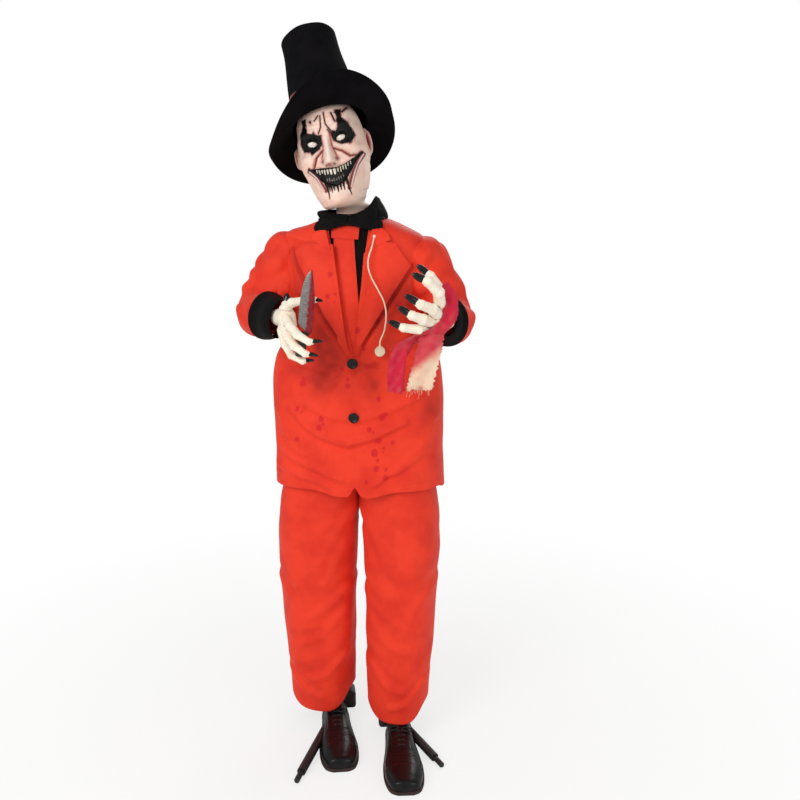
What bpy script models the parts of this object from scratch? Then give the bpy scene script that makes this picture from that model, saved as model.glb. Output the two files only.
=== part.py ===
"""Animated halloween clown, a life-size standing prop.

Metres, +Z up. The figure faces -Y and +X is its left side. The origin is on
the floor, in the middle of its footprint. Left and right in a name are the
figure's own.
"""
import math

import bmesh
import bpy
from mathutils import Matrix, Vector
from mathutils.bvhtree import BVHTree

# Clearances
FIT = 0.0003                    # between pieces that rest on or in each other
CLOTH_FIT = 0.0008              # between layers of cloth, and from cloth to frame
SLACK = 1.45                    # room that a folded cloth wall takes, over its thickness
SHOE_NOTCH = 0.001              # round a stand tube that passes through a shoe's side

# Stand: a hub behind each shoe, two splayed tubes in it and a leg tube
HEEL = {"right": Vector((-0.085, 0.008, 0.0)), "left": Vector((0.101, -0.057, 0.0))}
TOE_DIRECTION_DEG = {"right": 14.2, "left": 11.0}
LEG_OFFSET = {"right": -0.030, "left": -0.024}          # outwards from the heel's middle
OUTRIGGER_OFFSET = {"right": -0.022, "left": -0.006}
FRONT_TIP = {"right": Vector((-0.113, -0.326)), "left": Vector((0.229, -0.214))}
REAR_TIP = {"right": Vector((-0.120, 0.338)), "left": Vector((0.140, 0.338))}
HUB_LENGTH = 0.054
HUB_INNER = {"right": 0.060, "left": 0.052}
HUB_OUTER = {"right": 0.012, "left": 0.022}
HUB_HEIGHT = 0.050
HUB_COLLAR_RADIUS = 0.018
HUB_COLLAR_TOP_Z = 0.088
HUB_EDGE = 0.008
OUTRIGGER_RADIUS = 0.011
OUTRIGGER_HUB_Z = {"front": 0.035, "rear": 0.024}
OUTRIGGER_SOCKET_DEPTH = 0.018
TIP_RADIUS = 0.0075
TIP_LENGTH = 0.028
LEG_RADIUS = 0.0115
LEG_WALL = 0.0015
LEG_FOOT_Z = 0.052
LEG_TOP_X = 0.085

# Hip bar and spine
HIP_Z = 0.745
HIP_BAR_HEIGHT = 0.034
HIP_BAR_DEPTH = 0.030
HIP_BAR_END = 0.020
SPINE_RADIUS = 0.0125
SOCKET_DEPTH = 0.024

# Drive box in the chest
BOX_HALF_WIDTH = 0.075
BOX_HALF_DEPTH = 0.050
BOX_BOTTOM_Z = 1.045
BOX_HEIGHT = 0.180
BOX_WALL = 0.0025
DOOR_HALF_WIDTH = 0.045
DOOR_HEIGHT = 0.075
DOOR_RISE = 0.020               # from the box's bottom to the door
DOOR_GAP = 0.0006
DOOR_SWING_ROOM = 0.0007        # behind the door, for its hinge edge
LATCH = Vector((0.024, 0.003, 0.006))
LATCH_DROP = 0.010              # below the door's top edge
SWITCH_TRAVEL = 0.004
SWITCH_KNOB = Vector((0.003, 0.006, 0.008))
SWITCH_STEM = 0.0028
SWITCH_RISE = 0.108             # from the box's bottom

# Drive: a reversing motor turns the neck shaft through one pair of gears
GEAR_MODULE = 0.00175
NECK_TEETH = 36
PINION_TEETH = 12
GEAR_THICKNESS = 0.010
GEAR_BACKLASH = 0.0003
GEAR_RISE = 0.145               # from the box's bottom to the gears
NECK_SHAFT_RADIUS = 0.008
MOTOR_RADIUS = 0.018
MOTOR_HEIGHT = 0.100
MOTOR_SHAFT_RADIUS = 0.003
MOTOR_SHAFT_PROUD = 0.004       # above the pinion
BATTERY_PACK = Vector((0.072, 0.024, 0.075))
BATTERY_OFFSET = 0.015          # towards the right, clear of the motor
SPEAKER_RADIUS = 0.026
SPEAKER_DEPTH = 0.012
SPEAKER_X = -0.034
SPEAKER_RISE = 0.081            # from the box's bottom
BOARD = Vector((0.0016, 0.060, 0.065))
BOARD_SHIFT = 0.006             # towards the front of the box

# Shoulder bar, on top of the drive box
SHOULDER_BAR_WIDTH = 0.180
SHOULDER_BAR_DEPTH = 0.028
SHOULDER_BAR_HEIGHT = 0.020
SHOULDER_PIN_RADIUS = 0.010
SHOULDER_POST_X = 0.123
SHOULDER_POST_WIDTH = 0.020
SHOULDER_POST_DEPTH = 0.024

# Arms
ELBOW = {"right": Vector((-0.243, -0.018, 1.112)), "left": Vector((0.234, -0.012, 1.088))}
FOREARM_TOWARDS = {"right": Vector((-0.133, -0.223, 1.125)), "left": Vector((0.240, -0.211, 1.118))}
FOREARM_LENGTH = 0.205
ARM_TUBE_RADIUS = 0.008
ARM_HUB_RADIUS = 0.018
ARM_HUB_WIDTH = 0.016
ARM_END_ROOM = 0.002            # from the shoulder pin to the cloth beside it
ELBOW_EAR_RADIUS = 0.012
ELBOW_EAR_THICKNESS = 0.006
ELBOW_EAR_LENGTH = 0.026
ELBOW_PIN_RADIUS = 0.004
ELBOW_PIN_HEAD_RADIUS = 0.007
ELBOW_PIN_HEAD = 0.003

# Sleeves and cuffs
SLEEVE_HEAD = {"right": Vector((-0.200, 0.002, 1.234)), "left": Vector((0.198, 0.002, 1.226))}
SLEEVE_HEAD_RADIUS = 0.066
SLEEVE_ELBOW_RADIUS = 0.058
FOREARM_BALL_RADIUS = 0.052
FOREARM_SLEEVE_RADIUS = 0.050
FOREARM_SLEEVE_LENGTH = 0.128
CREASE_ANGLE_DEG = 33.0
ELBOW_BACK_ANGLE_DEG = {"upper": 172.0, "fore": 204.0}
CLOTH = 0.004                   # thickness of the suit cloth and its lining
CUFF_LENGTH = 0.068
CUFF_START_RADIUS = 0.050
CUFF_END_RADIUS = 0.043
CUFF_WALL = 0.003

# Jacket: rows of height, half width, front depth and back depth
ARMHOLE_X = 0.170
ARMHOLE_RADIUS = 0.050
JACKET_HEM_Z = 0.668
JACKET_HEM = (0.219, 0.132, 0.118)
JACKET_WAIST_Z = 1.000
JACKET_WAIST = (0.205, 0.124, 0.108)
JACKET_CHEST_Z = 1.075
JACKET_CHEST = (ARMHOLE_X, 0.120, 0.106)
JACKET_SHOULDER_Z = 1.292
JACKET_SHOULDER = (ARMHOLE_X, 0.096, 0.086)
JACKET_SLOPE_Z = 1.318
JACKET_SLOPE = (0.132, 0.088, 0.083)
JACKET_NECK_Z = 1.339
JACKET_NECK = (0.080, 0.079, 0.079)
JACKET_COLUMNS = 24
JACKET_SQUARENESS = 2.6
JACKET_FOLDS = 6
JACKET_FOLD_DEPTH = 0.005
OPENING_BOTTOM = (0.012, 1.028)
OPENING_TOP_HALF = 0.052
LAPEL_THICKNESS = 0.002
LAPEL_OUTLINE = {
    "right": ((0.002, 1.030), (-0.102, 1.232), (-0.117, 1.262), (-0.092, 1.302), (-0.050, 1.302)),
    "left": ((0.020, 1.030), (0.151, 1.198), (0.103, 1.302), (0.050, 1.302)),
}
BUTTON_X = 0.012
BUTTON_Z = {"upper": 1.004, "lower": 0.871}
BUTTON_RADIUS = 0.013
BUTTON_THICKNESS = 0.004

# Shirt and tie
TIE_THICKNESS = 0.0025
SHIRT_THICKNESS = 0.0015
TIE_OUTLINE = ((-0.040, 1.314), (-0.036, 1.010), (0.046, 1.010), (0.028, 1.314))
SHIRT_OUTLINE = ((-0.066, 1.318), (-0.060, 1.000), (0.074, 1.000), (0.066, 1.318))
COLLAR_RADIUS = 0.070
COLLAR_BOTTOM_Z = 1.324
COLLAR_TOP_Z = {"front": 1.356, "back": 1.366, "right": 1.356, "left": 1.378}
COLLAR_FALL_RADIUS = {"side": 0.088, "front": 0.117}
COLLAR_TIP_Z = 1.303
COLLAR_TIP_ANGLE_DEG = 34.0
COLLAR_GAP_DEG = 9.0
COLLAR_THICKNESS = 0.0025
COLLAR_COLUMNS = 26
COLLAR_SEAT = 0.0082            # from the jacket up to the middle of the fall

# Trousers
CROTCH_Z = 0.635
WAISTBAND_Z = 0.775
WAIST = (0.158, 0.095, 0.085)
TROUSER_COLUMNS = 18
TROUSER_ROWS = 6
TROUSER_SQUARENESS = 2.5
TROUSER_FOLDS = 6
TROUSER_FOLD_DEPTH = 0.006
LEG_TOP = {"right": (-0.1015, 0.1035), "left": (0.1015, 0.0995)}
LEG_KNEE = {"right": (-0.114, 0.095), "left": (0.105, 0.088)}
LEG_HEM = {"right": (-0.109, 0.083), "left": (0.100, 0.078)}
LEG_TOP_DEPTH = (0.108, 0.100)
LEG_KNEE_DEPTH = (0.098, 0.092)
LEG_HEM_DEPTH = (0.092, 0.092)
KNEE_Z = 0.300
HEM_Z = {"right": 0.055, "left": 0.054}
HEM_Y = {"right": 0.000, "left": -0.036}
HEM_SIDE_RISE = 0.050

# Shoes: distance from the heel, half width and height of the upper
SHOE_SECTIONS = (
    (0.0000, 0.020, 0.042), (0.0080, 0.028, 0.049), (0.0300, 0.033, 0.052),
    (0.0700, 0.035, 0.051), (0.1100, 0.038, 0.049), (0.1500, 0.043, 0.046),
    (0.1900, 0.047, 0.043), (0.2300, 0.046, 0.040), (0.2600, 0.040, 0.036),
    (0.2800, 0.029, 0.031), (0.2870, 0.016, 0.025),
)
SHOE_ARC_POINTS = 9
SHOE_WALL = 0.0025
SOLE_THICKNESS = 0.009
SOLE_MARGIN = 0.003

# Head, in its own tilted frame that starts inside the collar
HEAD_PIVOT_Z = 1.290
HEAD_TILT_DEG = -12.5
HEAD_YAW_DEG = 4.0
NECK_SKIRT_RADIUS = 0.044
NECK_SKIRT_BOTTOM_Z = 1.338
MASK_WALL = 0.003
MASK_COLUMNS = 26
MASK_INNER_COLUMNS = 14
MASK_SQUARENESS = 2.2
# Rows of height, half width, front depth and back depth
MASK_ROWS = (
    (0.084, 0.046, 0.108, 0.050), (0.098, 0.059, 0.124, 0.066), (0.128, 0.072, 0.122, 0.080),
    (0.158, 0.080, 0.117, 0.088), (0.190, 0.083, 0.113, 0.091), (0.222, 0.082, 0.106, 0.092),
    (0.252, 0.080, 0.107, 0.090), (0.282, 0.074, 0.100, 0.084), (0.308, 0.062, 0.084, 0.072),
    (0.326, 0.043, 0.058, 0.052), (0.335, 0.018, 0.026, 0.024),
)
NOSE_TOP = Vector((0.0, -0.104, 0.236))
NOSE_TIP = Vector((0.0, -0.131, 0.184))
NOSE_TOP_RADIUS = 0.009
NOSE_TIP_RADIUS = 0.014
EAR_CENTRE = Vector((0.086, 0.006, 0.214))
EAR_RADII = Vector((0.010, 0.020, 0.033))
EYE_CENTRE = Vector((0.034, -0.0905, 0.233))
EYE_RADIUS = 0.0125
EYE_ROOM = 0.001                # round the back of an eye, in the skull
SKULL_SHRINK = 0.0047           # from the mask's outer surface to the skull
SKULL_BOTTOM = 0.110
SKULL_WALL = 0.003
FLANGE_THICKNESS = 0.006
FLANGE_FIT = 0.0012

# Hat, in a frame of its own that leans back on the head
HAT_SEAT = Vector((0.004, 0.004, 0.2715))
HAT_LEAN_BACK_DEG = 20.0
HAT_ROLL_DEG = -3.0
HAT_COLUMNS = 24
HAT_THICKNESS = 0.0025
CROWN_BASE = (0.088, 0.108)
CROWN_MIDDLE = (0.078, 0.094)
CROWN_MIDDLE_Z = 0.105
CROWN_TOP = (0.060, 0.073)
CROWN_HEIGHT = 0.222
CROWN_ROUNDING = 0.016
# Brim lengths and slopes at the front, the sides and the back
BRIM_FRONT = (0.083, 27.0)
BRIM_SIDE = {"right": (0.078, -30.0), "left": (0.082, -12.0)}
BRIM_BACK = (0.100, -48.0)
BRIM_ROWS = 3
BAND_START_Z = 0.007
BAND_HEIGHT = 0.022
BAND_THICKNESS = 0.0012

# Right hand, as chains of joints with a radius at each one
RIGHT_PALM = (
    (-0.145, -0.200, 1.124, 0.020), (-0.120, -0.232, 1.130, 0.021), (-0.112, -0.244, 1.112, 0.018),
)
RIGHT_FINGERS = {
    "index": (
        (-0.126, -0.228, 1.146, 0.010), (-0.100, -0.256, 1.164, 0.0085), (-0.070, -0.270, 1.171, 0.0072),
        (-0.044, -0.276, 1.173, 0.0055), (-0.026, -0.280, 1.170, 0.0026),
    ),
    "middle": (
        (-0.122, -0.238, 1.132, 0.010), (-0.100, -0.276, 1.114, 0.009), (-0.078, -0.308, 1.100, 0.008),
        (-0.050, -0.318, 1.086, 0.0065), (-0.022, -0.312, 1.086, 0.0026),
    ),
    "ring": (
        (-0.126, -0.236, 1.112, 0.010), (-0.110, -0.270, 1.094, 0.009), (-0.088, -0.300, 1.074, 0.008),
        (-0.062, -0.308, 1.058, 0.0065), (-0.036, -0.300, 1.052, 0.0026),
    ),
    "little": (
        (-0.134, -0.226, 1.098, 0.009), (-0.122, -0.250, 1.070, 0.008), (-0.102, -0.272, 1.048, 0.0072),
        (-0.076, -0.278, 1.036, 0.006), (-0.052, -0.270, 1.036, 0.0026),
    ),
    "thumb": (
        (-0.134, -0.214, 1.134, 0.011), (-0.126, -0.206, 1.152, 0.009), (-0.124, -0.204, 1.178, 0.003),
    ),
}
# Left hand, open, with the palm towards the viewer
LEFT_PALM = ((0.240, -0.203, 1.118, 0.020), (0.228, -0.226, 1.128, 0.023), (0.222, -0.240, 1.124, 0.021))
LEFT_FINGERS = {
    "thumb": (
        (0.232, -0.216, 1.150, 0.011), (0.230, -0.238, 1.190, 0.009), (0.210, -0.252, 1.222, 0.0072),
        (0.182, -0.257, 1.245, 0.0028),
    ),
    "index": (
        (0.230, -0.242, 1.150, 0.011), (0.229, -0.272, 1.188, 0.0095), (0.208, -0.292, 1.213, 0.0082),
        (0.177, -0.300, 1.230, 0.0028),
    ),
    "middle": (
        (0.226, -0.244, 1.134, 0.011), (0.217, -0.278, 1.152, 0.0092), (0.194, -0.300, 1.165, 0.0078),
        (0.162, -0.310, 1.186, 0.0028),
    ),
    "ring": (
        (0.220, -0.240, 1.118, 0.011), (0.196, -0.278, 1.130, 0.009), (0.174, -0.296, 1.141, 0.0075),
        (0.147, -0.305, 1.160, 0.0028),
    ),
    "little": (
        (0.214, -0.230, 1.104, 0.010), (0.185, -0.265, 1.106, 0.0085), (0.154, -0.285, 1.113, 0.007),
        (0.124, -0.295, 1.128, 0.0028),
    ),
}
FINGER_SEGMENTS = 6
HAND_SEGMENTS = 8
WRIST_RADIUS = 0.019
WRIST_SOCKET_DEPTH = 0.020

# Knife in the right hand
KNIFE_TIP = Vector((-0.045, -0.301, 1.242))
KNIFE_HEEL = Vector((-0.063, -0.299, 1.108))
KNIFE_POMMEL = Vector((-0.0785, -0.285, 1.052))
BLADE_WIDTH = 0.033
BLADE_THICKNESS = 0.0024
HANDLE_RADII = (0.0115, 0.0075)
HANDLE_SHIFT = 0.004            # from the blade's heel towards the pommel

# Gauze: one strip looped over the left wrist, both ends hanging
GAUZE_WIDTH = 0.034
GAUZE_THICKNESS = 0.0016
GAUZE_ROUTE = (
    # centre of the strip, then the direction across it
    ((0.127, -0.252, 0.958), (1.0, 0.1, 0.0)), ((0.132, -0.258, 1.010), (1.0, 0.1, 0.0)),
    ((0.146, -0.262, 1.058), (1.0, 0.2, 0.1)), ((0.176, -0.252, 1.078), (0.6, 0.9, 0.0)),
    ((0.206, -0.240, 1.082), (0.1, 1.0, 0.0)), ((0.2343, -0.236, 1.0892), (-0.1, 1.0, 0.1)),
    ((0.2590, -0.232, 1.1093), (-0.1, 1.0, 0.0)), ((0.264, -0.228, 1.140), (-0.1, 1.0, 0.0)),
    ((0.256, -0.228, 1.170), (-0.1, 1.0, 0.0)), ((0.2405, -0.2245, 1.1935), (-0.1, 1.0, 0.0)),
)
GAUZE_TAIL_ROUTE = (
    ((0.212, -0.240, 1.094), (0.9, 0.3, 0.0)), ((0.213, -0.256, 1.072), (0.9, 0.3, 0.0)),
    ((0.211, -0.264, 1.040), (1.0, 0.1, 0.0)),
    ((0.204, -0.260, 1.000), (1.0, 0.0, 0.0)), ((0.192, -0.256, 0.958), (1.0, 0.1, 0.0)),
)

# Pull-cord button that starts the show
CORD_RADIUS = 0.00175
CORD_POINTS = 36
CORD_ROUTE = (
    (0.0637, -0.1016, 1.2974), (0.0600, -0.1130, 1.2770), (0.0530, -0.1215, 1.2525),
    (0.0530, -0.1250, 1.2290), (0.0610, -0.1270, 1.2060), (0.0760, -0.1280, 1.1780),
    (0.0895, -0.1290, 1.1500), (0.0940, -0.1300, 1.1200), (0.0895, -0.1310, 1.0850),
    (0.0800, -0.1320, 1.0620), (0.0785, -0.1320, 1.0560), (0.0785, -0.1320, 1.0500),
)
CORD_GLAND_RADIUS = 0.004
PUSH_RADIUS = 0.012
PUSH_DEPTH = 0.008
PUSH_BOSS_RADIUS = 0.0032
PUSH_BOSS_LENGTH = 0.003
PUSH_CAP_RADIUS = 0.0086
PUSH_CAP_PROUD = 0.0016
PUSH_TRAVEL = 0.0012
PUSH_RECESS = 0.0035

SIDES = {"right": -1.0, "left": 1.0}
BOX_TOP_Z = BOX_BOTTOM_Z + BOX_HEIGHT
SHOULDER_Z = BOX_TOP_Z + FIT + SHOULDER_BAR_HEIGHT / 2
ARM_HUB_OUTER_X = ARMHOLE_X - CLOTH - ARM_END_ROOM
GEAR_Z = BOX_BOTTOM_Z + GEAR_RISE
PINION_X = GEAR_MODULE * (NECK_TEETH + PINION_TEETH) / 2


# Scene and materials

def clear_scene():
    for old in list(bpy.data.objects):
        bpy.data.objects.remove(old, do_unlink=True)


def linear(channel):
    return channel / 12.92 if channel <= 0.04045 else ((channel + 0.055) / 1.055) ** 2.4


def new_material(name, colour, roughness, metallic=0.0):
    material = bpy.data.materials.new(name)
    material.use_nodes = True
    rgb = [linear(int(colour[i:i + 2], 16) / 255) for i in (1, 3, 5)]
    shader = material.node_tree.nodes["Principled BSDF"]
    shader.inputs["Base Color"].default_value = (*rgb, 1.0)
    shader.inputs["Roughness"].default_value = roughness
    shader.inputs["Metallic"].default_value = metallic
    material.diffuse_color = (*rgb, 1.0)
    return material


# Mesh helpers

def piece(name, bm, material, smooth_deg=40.0):
    """Turn a bmesh into an object with one material."""
    bmesh.ops.recalc_face_normals(bm, faces=bm.faces[:])
    mesh = bpy.data.meshes.new(name)
    bm.to_mesh(mesh)
    bm.free()
    mesh.materials.append(material)
    if smooth_deg:
        mesh.shade_smooth()
        mesh.set_sharp_from_angle(angle=math.radians(smooth_deg))
    obj = bpy.data.objects.new(name, mesh)
    bpy.context.scene.collection.objects.link(obj)
    return obj


def bake(obj):
    """Apply the object's modifiers to its mesh."""
    depsgraph = bpy.context.evaluated_depsgraph_get()
    depsgraph.update()
    mesh = bpy.data.meshes.new_from_object(obj.evaluated_get(depsgraph))
    obj.modifiers.clear()
    obj.data = mesh
    mesh.name = obj.name
    return obj


def boolean(obj, tool_bm, operation):
    """Join a shape to an object, or cut it away."""
    tool = piece("tool", tool_bm, obj.data.materials[0], 0.0)
    modifier = obj.modifiers.new(operation.lower(), "BOOLEAN")
    modifier.operation = operation
    modifier.object = tool
    bake(obj)
    bpy.data.objects.remove(tool, do_unlink=True)
    return obj


def join(obj, *tools):
    for tool in tools:
        boolean(obj, tool, "UNION")
    return obj


def cut(obj, *tools):
    for tool in tools:
        boolean(obj, tool, "DIFFERENCE")
    return obj


def thicken(obj, thickness, side):
    """Give an open surface a wall, outwards (side 1) or inwards (side -1)."""
    modifier = obj.modifiers.new("wall", "SOLIDIFY")
    modifier.thickness = thickness
    modifier.offset = side
    modifier.use_even_offset = True
    return bake(obj)


def soften(obj, width, segments=2):
    modifier = obj.modifiers.new("edges", "BEVEL")
    modifier.width = width
    modifier.segments = segments
    modifier.limit_method = "ANGLE"
    modifier.angle_limit = math.radians(50)
    return bake(obj)


def along(start, end):
    """Matrix at the middle of a line, with Z along it."""
    turn = (end - start).to_track_quat("Z", "Y")
    return Matrix.Translation((start + end) / 2) @ turn.to_matrix().to_4x4()


def rod(start, end, radius, end_radius=None, segments=16):
    bm = bmesh.new()
    bmesh.ops.create_cone(bm, cap_ends=True, segments=segments, radius1=radius,
                          radius2=radius if end_radius is None else end_radius,
                          depth=(end - start).length, matrix=along(start, end))
    return bm


def box(low, high, matrix=Matrix.Identity(4)):
    low = Vector(low)
    high = Vector(high)
    bm = bmesh.new()
    bmesh.ops.create_cube(bm, size=1.0)
    for vert in bm.verts:
        vert.co = (low + high) / 2 + Vector(vert.co[i] * (high[i] - low[i]) for i in range(3))
    bmesh.ops.transform(bm, matrix=matrix, verts=bm.verts[:])
    return bm


def ball(centre, radius, segments=16, rings=10, radii=None):
    scale = Matrix.Diagonal((*(radii or (radius, radius, radius)), 1.0))
    bm = bmesh.new()
    bmesh.ops.create_uvsphere(bm, u_segments=segments, v_segments=rings, radius=1.0,
                              matrix=Matrix.Translation(centre) @ scale)
    return bm


def capsule(start, start_radius, end, end_radius, segments=12):
    """Two balls and the skin stretched round them."""
    bm = bmesh.new()
    turn = (end - start).to_track_quat("Z", "Y").to_matrix().to_4x4()
    for centre, radius in ((start, start_radius), (end, end_radius)):
        bmesh.ops.create_uvsphere(bm, u_segments=segments, v_segments=segments // 2, radius=radius,
                                  matrix=Matrix.Translation(centre) @ turn)
    hull = bmesh.ops.convex_hull(bm, input=bm.verts[:])
    inside = [g for g in hull["geom_interior"] if isinstance(g, bmesh.types.BMVert)]
    bmesh.ops.delete(bm, geom=inside, context="VERTS")
    skin = set(g for g in hull["geom"] if isinstance(g, bmesh.types.BMFace))
    loose = [f for f in bm.faces if f not in skin]
    bmesh.ops.delete(bm, geom=loose, context="FACES")
    bmesh.ops.dissolve_limit(bm, angle_limit=math.radians(1.0), verts=bm.verts[:], edges=bm.edges[:])
    return bm


def turned(profile, start, end, segments=24):
    """Turn a profile of (radius, distance) points round the line from start."""
    turn = (end - start).to_track_quat("Z", "Y").to_matrix().to_4x4()
    matrix = Matrix.Translation(start) @ turn
    bm = bmesh.new()
    verts = [bm.verts.new((radius, 0.0, distance)) for radius, distance in profile]
    edges = [bm.edges.new((a, b)) for a, b in zip(verts, verts[1:] + verts[:1])]
    bmesh.ops.spin(bm, geom=verts + edges, axis=(0, 0, 1), cent=(0, 0, 0), steps=segments,
                   angle=math.tau, use_merge=True)
    bmesh.ops.transform(bm, matrix=matrix, verts=bm.verts[:])
    return bm


def loft(rings, cap_start=False, cap_end=False, closed=True):
    """Skin a list of rings of points."""
    bm = bmesh.new()
    rows = [[bm.verts.new(point) for point in ring] for ring in rings]
    count = len(rows[0])
    for low, high in zip(rows, rows[1:]):
        for i in range(count if closed else count - 1):
            j = (i + 1) % count
            bm.faces.new((low[i], low[j], high[j], high[i]))
    if cap_start:
        bm.faces.new(list(reversed(rows[0])))
    if cap_end:
        bm.faces.new(rows[-1])
    return bm


def signed_power(value, power):
    return math.copysign(abs(value) ** power, value)


def oval(half_width, front, back, squareness, columns):
    """Points of a rounded outline, with the front towards -Y."""
    points = []
    for i in range(columns):
        angle = math.tau * i / columns
        x = half_width * signed_power(math.cos(angle), 2 / squareness)
        y = signed_power(math.sin(angle), 2 / squareness)
        points.append(Vector((x, y * (back if y > 0 else front))))
    return points


def blend(a, b, t):
    return tuple(p + (q - p) * t for p, q in zip(a, b))


def joint_empty(name, location, axis, members):
    """An empty on a joint's axis, with Z along it, that carries the moving pieces."""
    frame = Matrix.Translation(location) @ Vector(axis).to_track_quat("Z", "Y").to_matrix().to_4x4()
    empty = bpy.data.objects.new(name, None)
    empty.empty_display_size = 0.05
    bpy.context.scene.collection.objects.link(empty)
    empty.matrix_basis = frame
    for member in members:
        member.parent = empty
        member.matrix_parent_inverse = frame.inverted()
    return empty


# Stand

def toe_direction(side):
    turn = math.radians(TOE_DIRECTION_DEG[side])
    return Vector((math.sin(turn), -math.cos(turn), 0.0))


def outward(side):
    forward = toe_direction(side)
    return Vector((-forward.y, forward.x, 0.0)) * SIDES[side]


def hub_centre(side):
    """On the floor behind the heel, in line with the middle of the shoe."""
    return HEEL[side] - toe_direction(side) * (HUB_LENGTH / 2 + FIT)


def leg_foot(side):
    return hub_centre(side) + outward(side) * LEG_OFFSET[side]


def foot_frame(side):
    """X across the shoe to the outside or inside, -Y towards the toe."""
    forward = toe_direction(side)
    across = Vector((-forward.y, forward.x, 0.0))
    rotation = Matrix((across, -forward, Vector((0, 0, 1)))).transposed()
    return rotation.to_4x4()


def leg_ends(side):
    foot = leg_foot(side) + Vector((0, 0, LEG_FOOT_Z))
    top = Vector((SIDES[side] * LEG_TOP_X, 0.0, HIP_Z - HIP_BAR_HEIGHT / 2 + SOCKET_DEPTH))
    return foot, top


def outrigger_ends(side, tip):
    """Start in the hub, where the tube narrows, and the tip on the floor."""
    front = tip is FRONT_TIP[side]
    forward = toe_direction(side)
    face = hub_centre(side) + forward * (HUB_LENGTH / 2 if front else -HUB_LENGTH / 2)
    start = face + outward(side) * (OUTRIGGER_OFFSET[side] if front else LEG_OFFSET[side])
    start.z = OUTRIGGER_HUB_Z["front" if front else "rear"]
    end = Vector((tip.x, tip.y, TIP_RADIUS))
    run = (end - start).normalized()
    return start - run * OUTRIGGER_SOCKET_DEPTH, end - run * TIP_LENGTH, end


def make_outrigger(name, side, tip, steel):
    start, shoulder, end = outrigger_ends(side, tip)
    shoulder.z = OUTRIGGER_RADIUS + FIT
    obj = piece(name, rod(start, shoulder, OUTRIGGER_RADIUS), steel)
    return join(obj, capsule(shoulder, TIP_RADIUS, end, TIP_RADIUS, 10))


def make_foot_hub(side, plastic):
    frame = Matrix.Translation(hub_centre(side)) @ foot_frame(side)
    low_x, high_x = sorted((-SIDES[side] * HUB_INNER[side], SIDES[side] * HUB_OUTER[side]))
    body = box((low_x, -HUB_LENGTH / 2, 0.0), (high_x, HUB_LENGTH / 2, HUB_HEIGHT), frame)
    obj = soften(piece(side + "_foot_hub", body, plastic), HUB_EDGE)
    foot, top = leg_ends(side)
    run = (top - foot).normalized()
    collar_top = foot + run * ((HUB_COLLAR_TOP_Z - LEG_FOOT_Z) / run.z)
    join(obj, rod(foot - run * (LEG_FOOT_Z - HUB_HEIGHT / 2), collar_top, HUB_COLLAR_RADIUS, segments=20))
    cut(obj, rod(foot - run * FIT, top, LEG_RADIUS + FIT))
    for tip in (FRONT_TIP[side], REAR_TIP[side]):
        start, shoulder, _ = outrigger_ends(side, tip)
        shoulder.z = OUTRIGGER_RADIUS + FIT
        run = (shoulder - start).normalized()
        cut(obj, rod(start - run * FIT, shoulder, OUTRIGGER_RADIUS + FIT))
    return obj


def make_leg_tube(side, steel):
    foot, top = leg_ends(side)
    length = (top - foot).length
    inner = LEG_RADIUS - LEG_WALL
    profile = ((inner, 0.0), (LEG_RADIUS, 0.0), (LEG_RADIUS, length), (inner, length))
    return piece(side + "_leg_tube", turned(profile, foot, top, 16), steel)


def waist_reach(side, z):
    """Half width of the trousers on one side, between the crotch and the waistband."""
    share = (z - CROTCH_Z) / (WAISTBAND_Z - CROTCH_Z)
    centre, half_width = LEG_TOP[side]
    return (abs(centre) + half_width) * (1 - share) + WAIST[0] * share


def make_hip_bar(plastic):
    reach = {side: waist_reach(side, HIP_Z + HIP_BAR_END / 2) - CLOTH * 1.1 - CLOTH_FIT for side in SIDES}
    depth = HIP_BAR_DEPTH / 2
    height = HIP_BAR_HEIGHT / 2
    middle = LEG_TOP_X + 2 * LEG_RADIUS
    end = HIP_BAR_END / 2
    obj = piece("hip_bar", box((-middle, -depth, HIP_Z - height), (middle, depth, HIP_Z + height)), plastic)
    join(obj, box((-reach["right"], -end, HIP_Z - end), (reach["left"], end, HIP_Z + end)))
    for side in SIDES:
        foot, top = leg_ends(side)
        cut(obj, rod(foot, top + (top - foot).normalized() * FIT, LEG_RADIUS + FIT))
    floor = HIP_Z + height - SOCKET_DEPTH
    cut(obj, rod(Vector((0, 0, floor)), Vector((0, 0, HIP_Z + 2 * height)), SPINE_RADIUS + FIT))
    return obj


def make_spine(steel):
    start = Vector((0, 0, HIP_Z + HIP_BAR_HEIGHT / 2 - SOCKET_DEPTH + FIT))
    end = Vector((0, 0, BOX_BOTTOM_Z - FIT))
    inner = SPINE_RADIUS - LEG_WALL
    length = (end - start).length
    profile = ((inner, 0.0), (SPINE_RADIUS, 0.0), (SPINE_RADIUS, length), (inner, length))
    return piece("spine_tube", turned(profile, start, end, 16), steel)


# Drive box

def switch_place():
    """Middle of the switch on the box's left wall."""
    return Vector((BOX_HALF_WIDTH, BOX_HALF_DEPTH / 2, BOX_BOTTOM_Z + SWITCH_RISE))


def door_box():
    low = Vector((-DOOR_HALF_WIDTH, BOX_HALF_DEPTH - BOX_WALL, BOX_BOTTOM_Z + DOOR_RISE))
    high = Vector((DOOR_HALF_WIDTH, BOX_HALF_DEPTH, BOX_BOTTOM_Z + DOOR_RISE + DOOR_HEIGHT))
    return low, high


def door_axis():
    low, high = door_box()
    return Vector((0.0, (low.y + high.y) / 2, low.z + BOX_WALL / 2))


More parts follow.
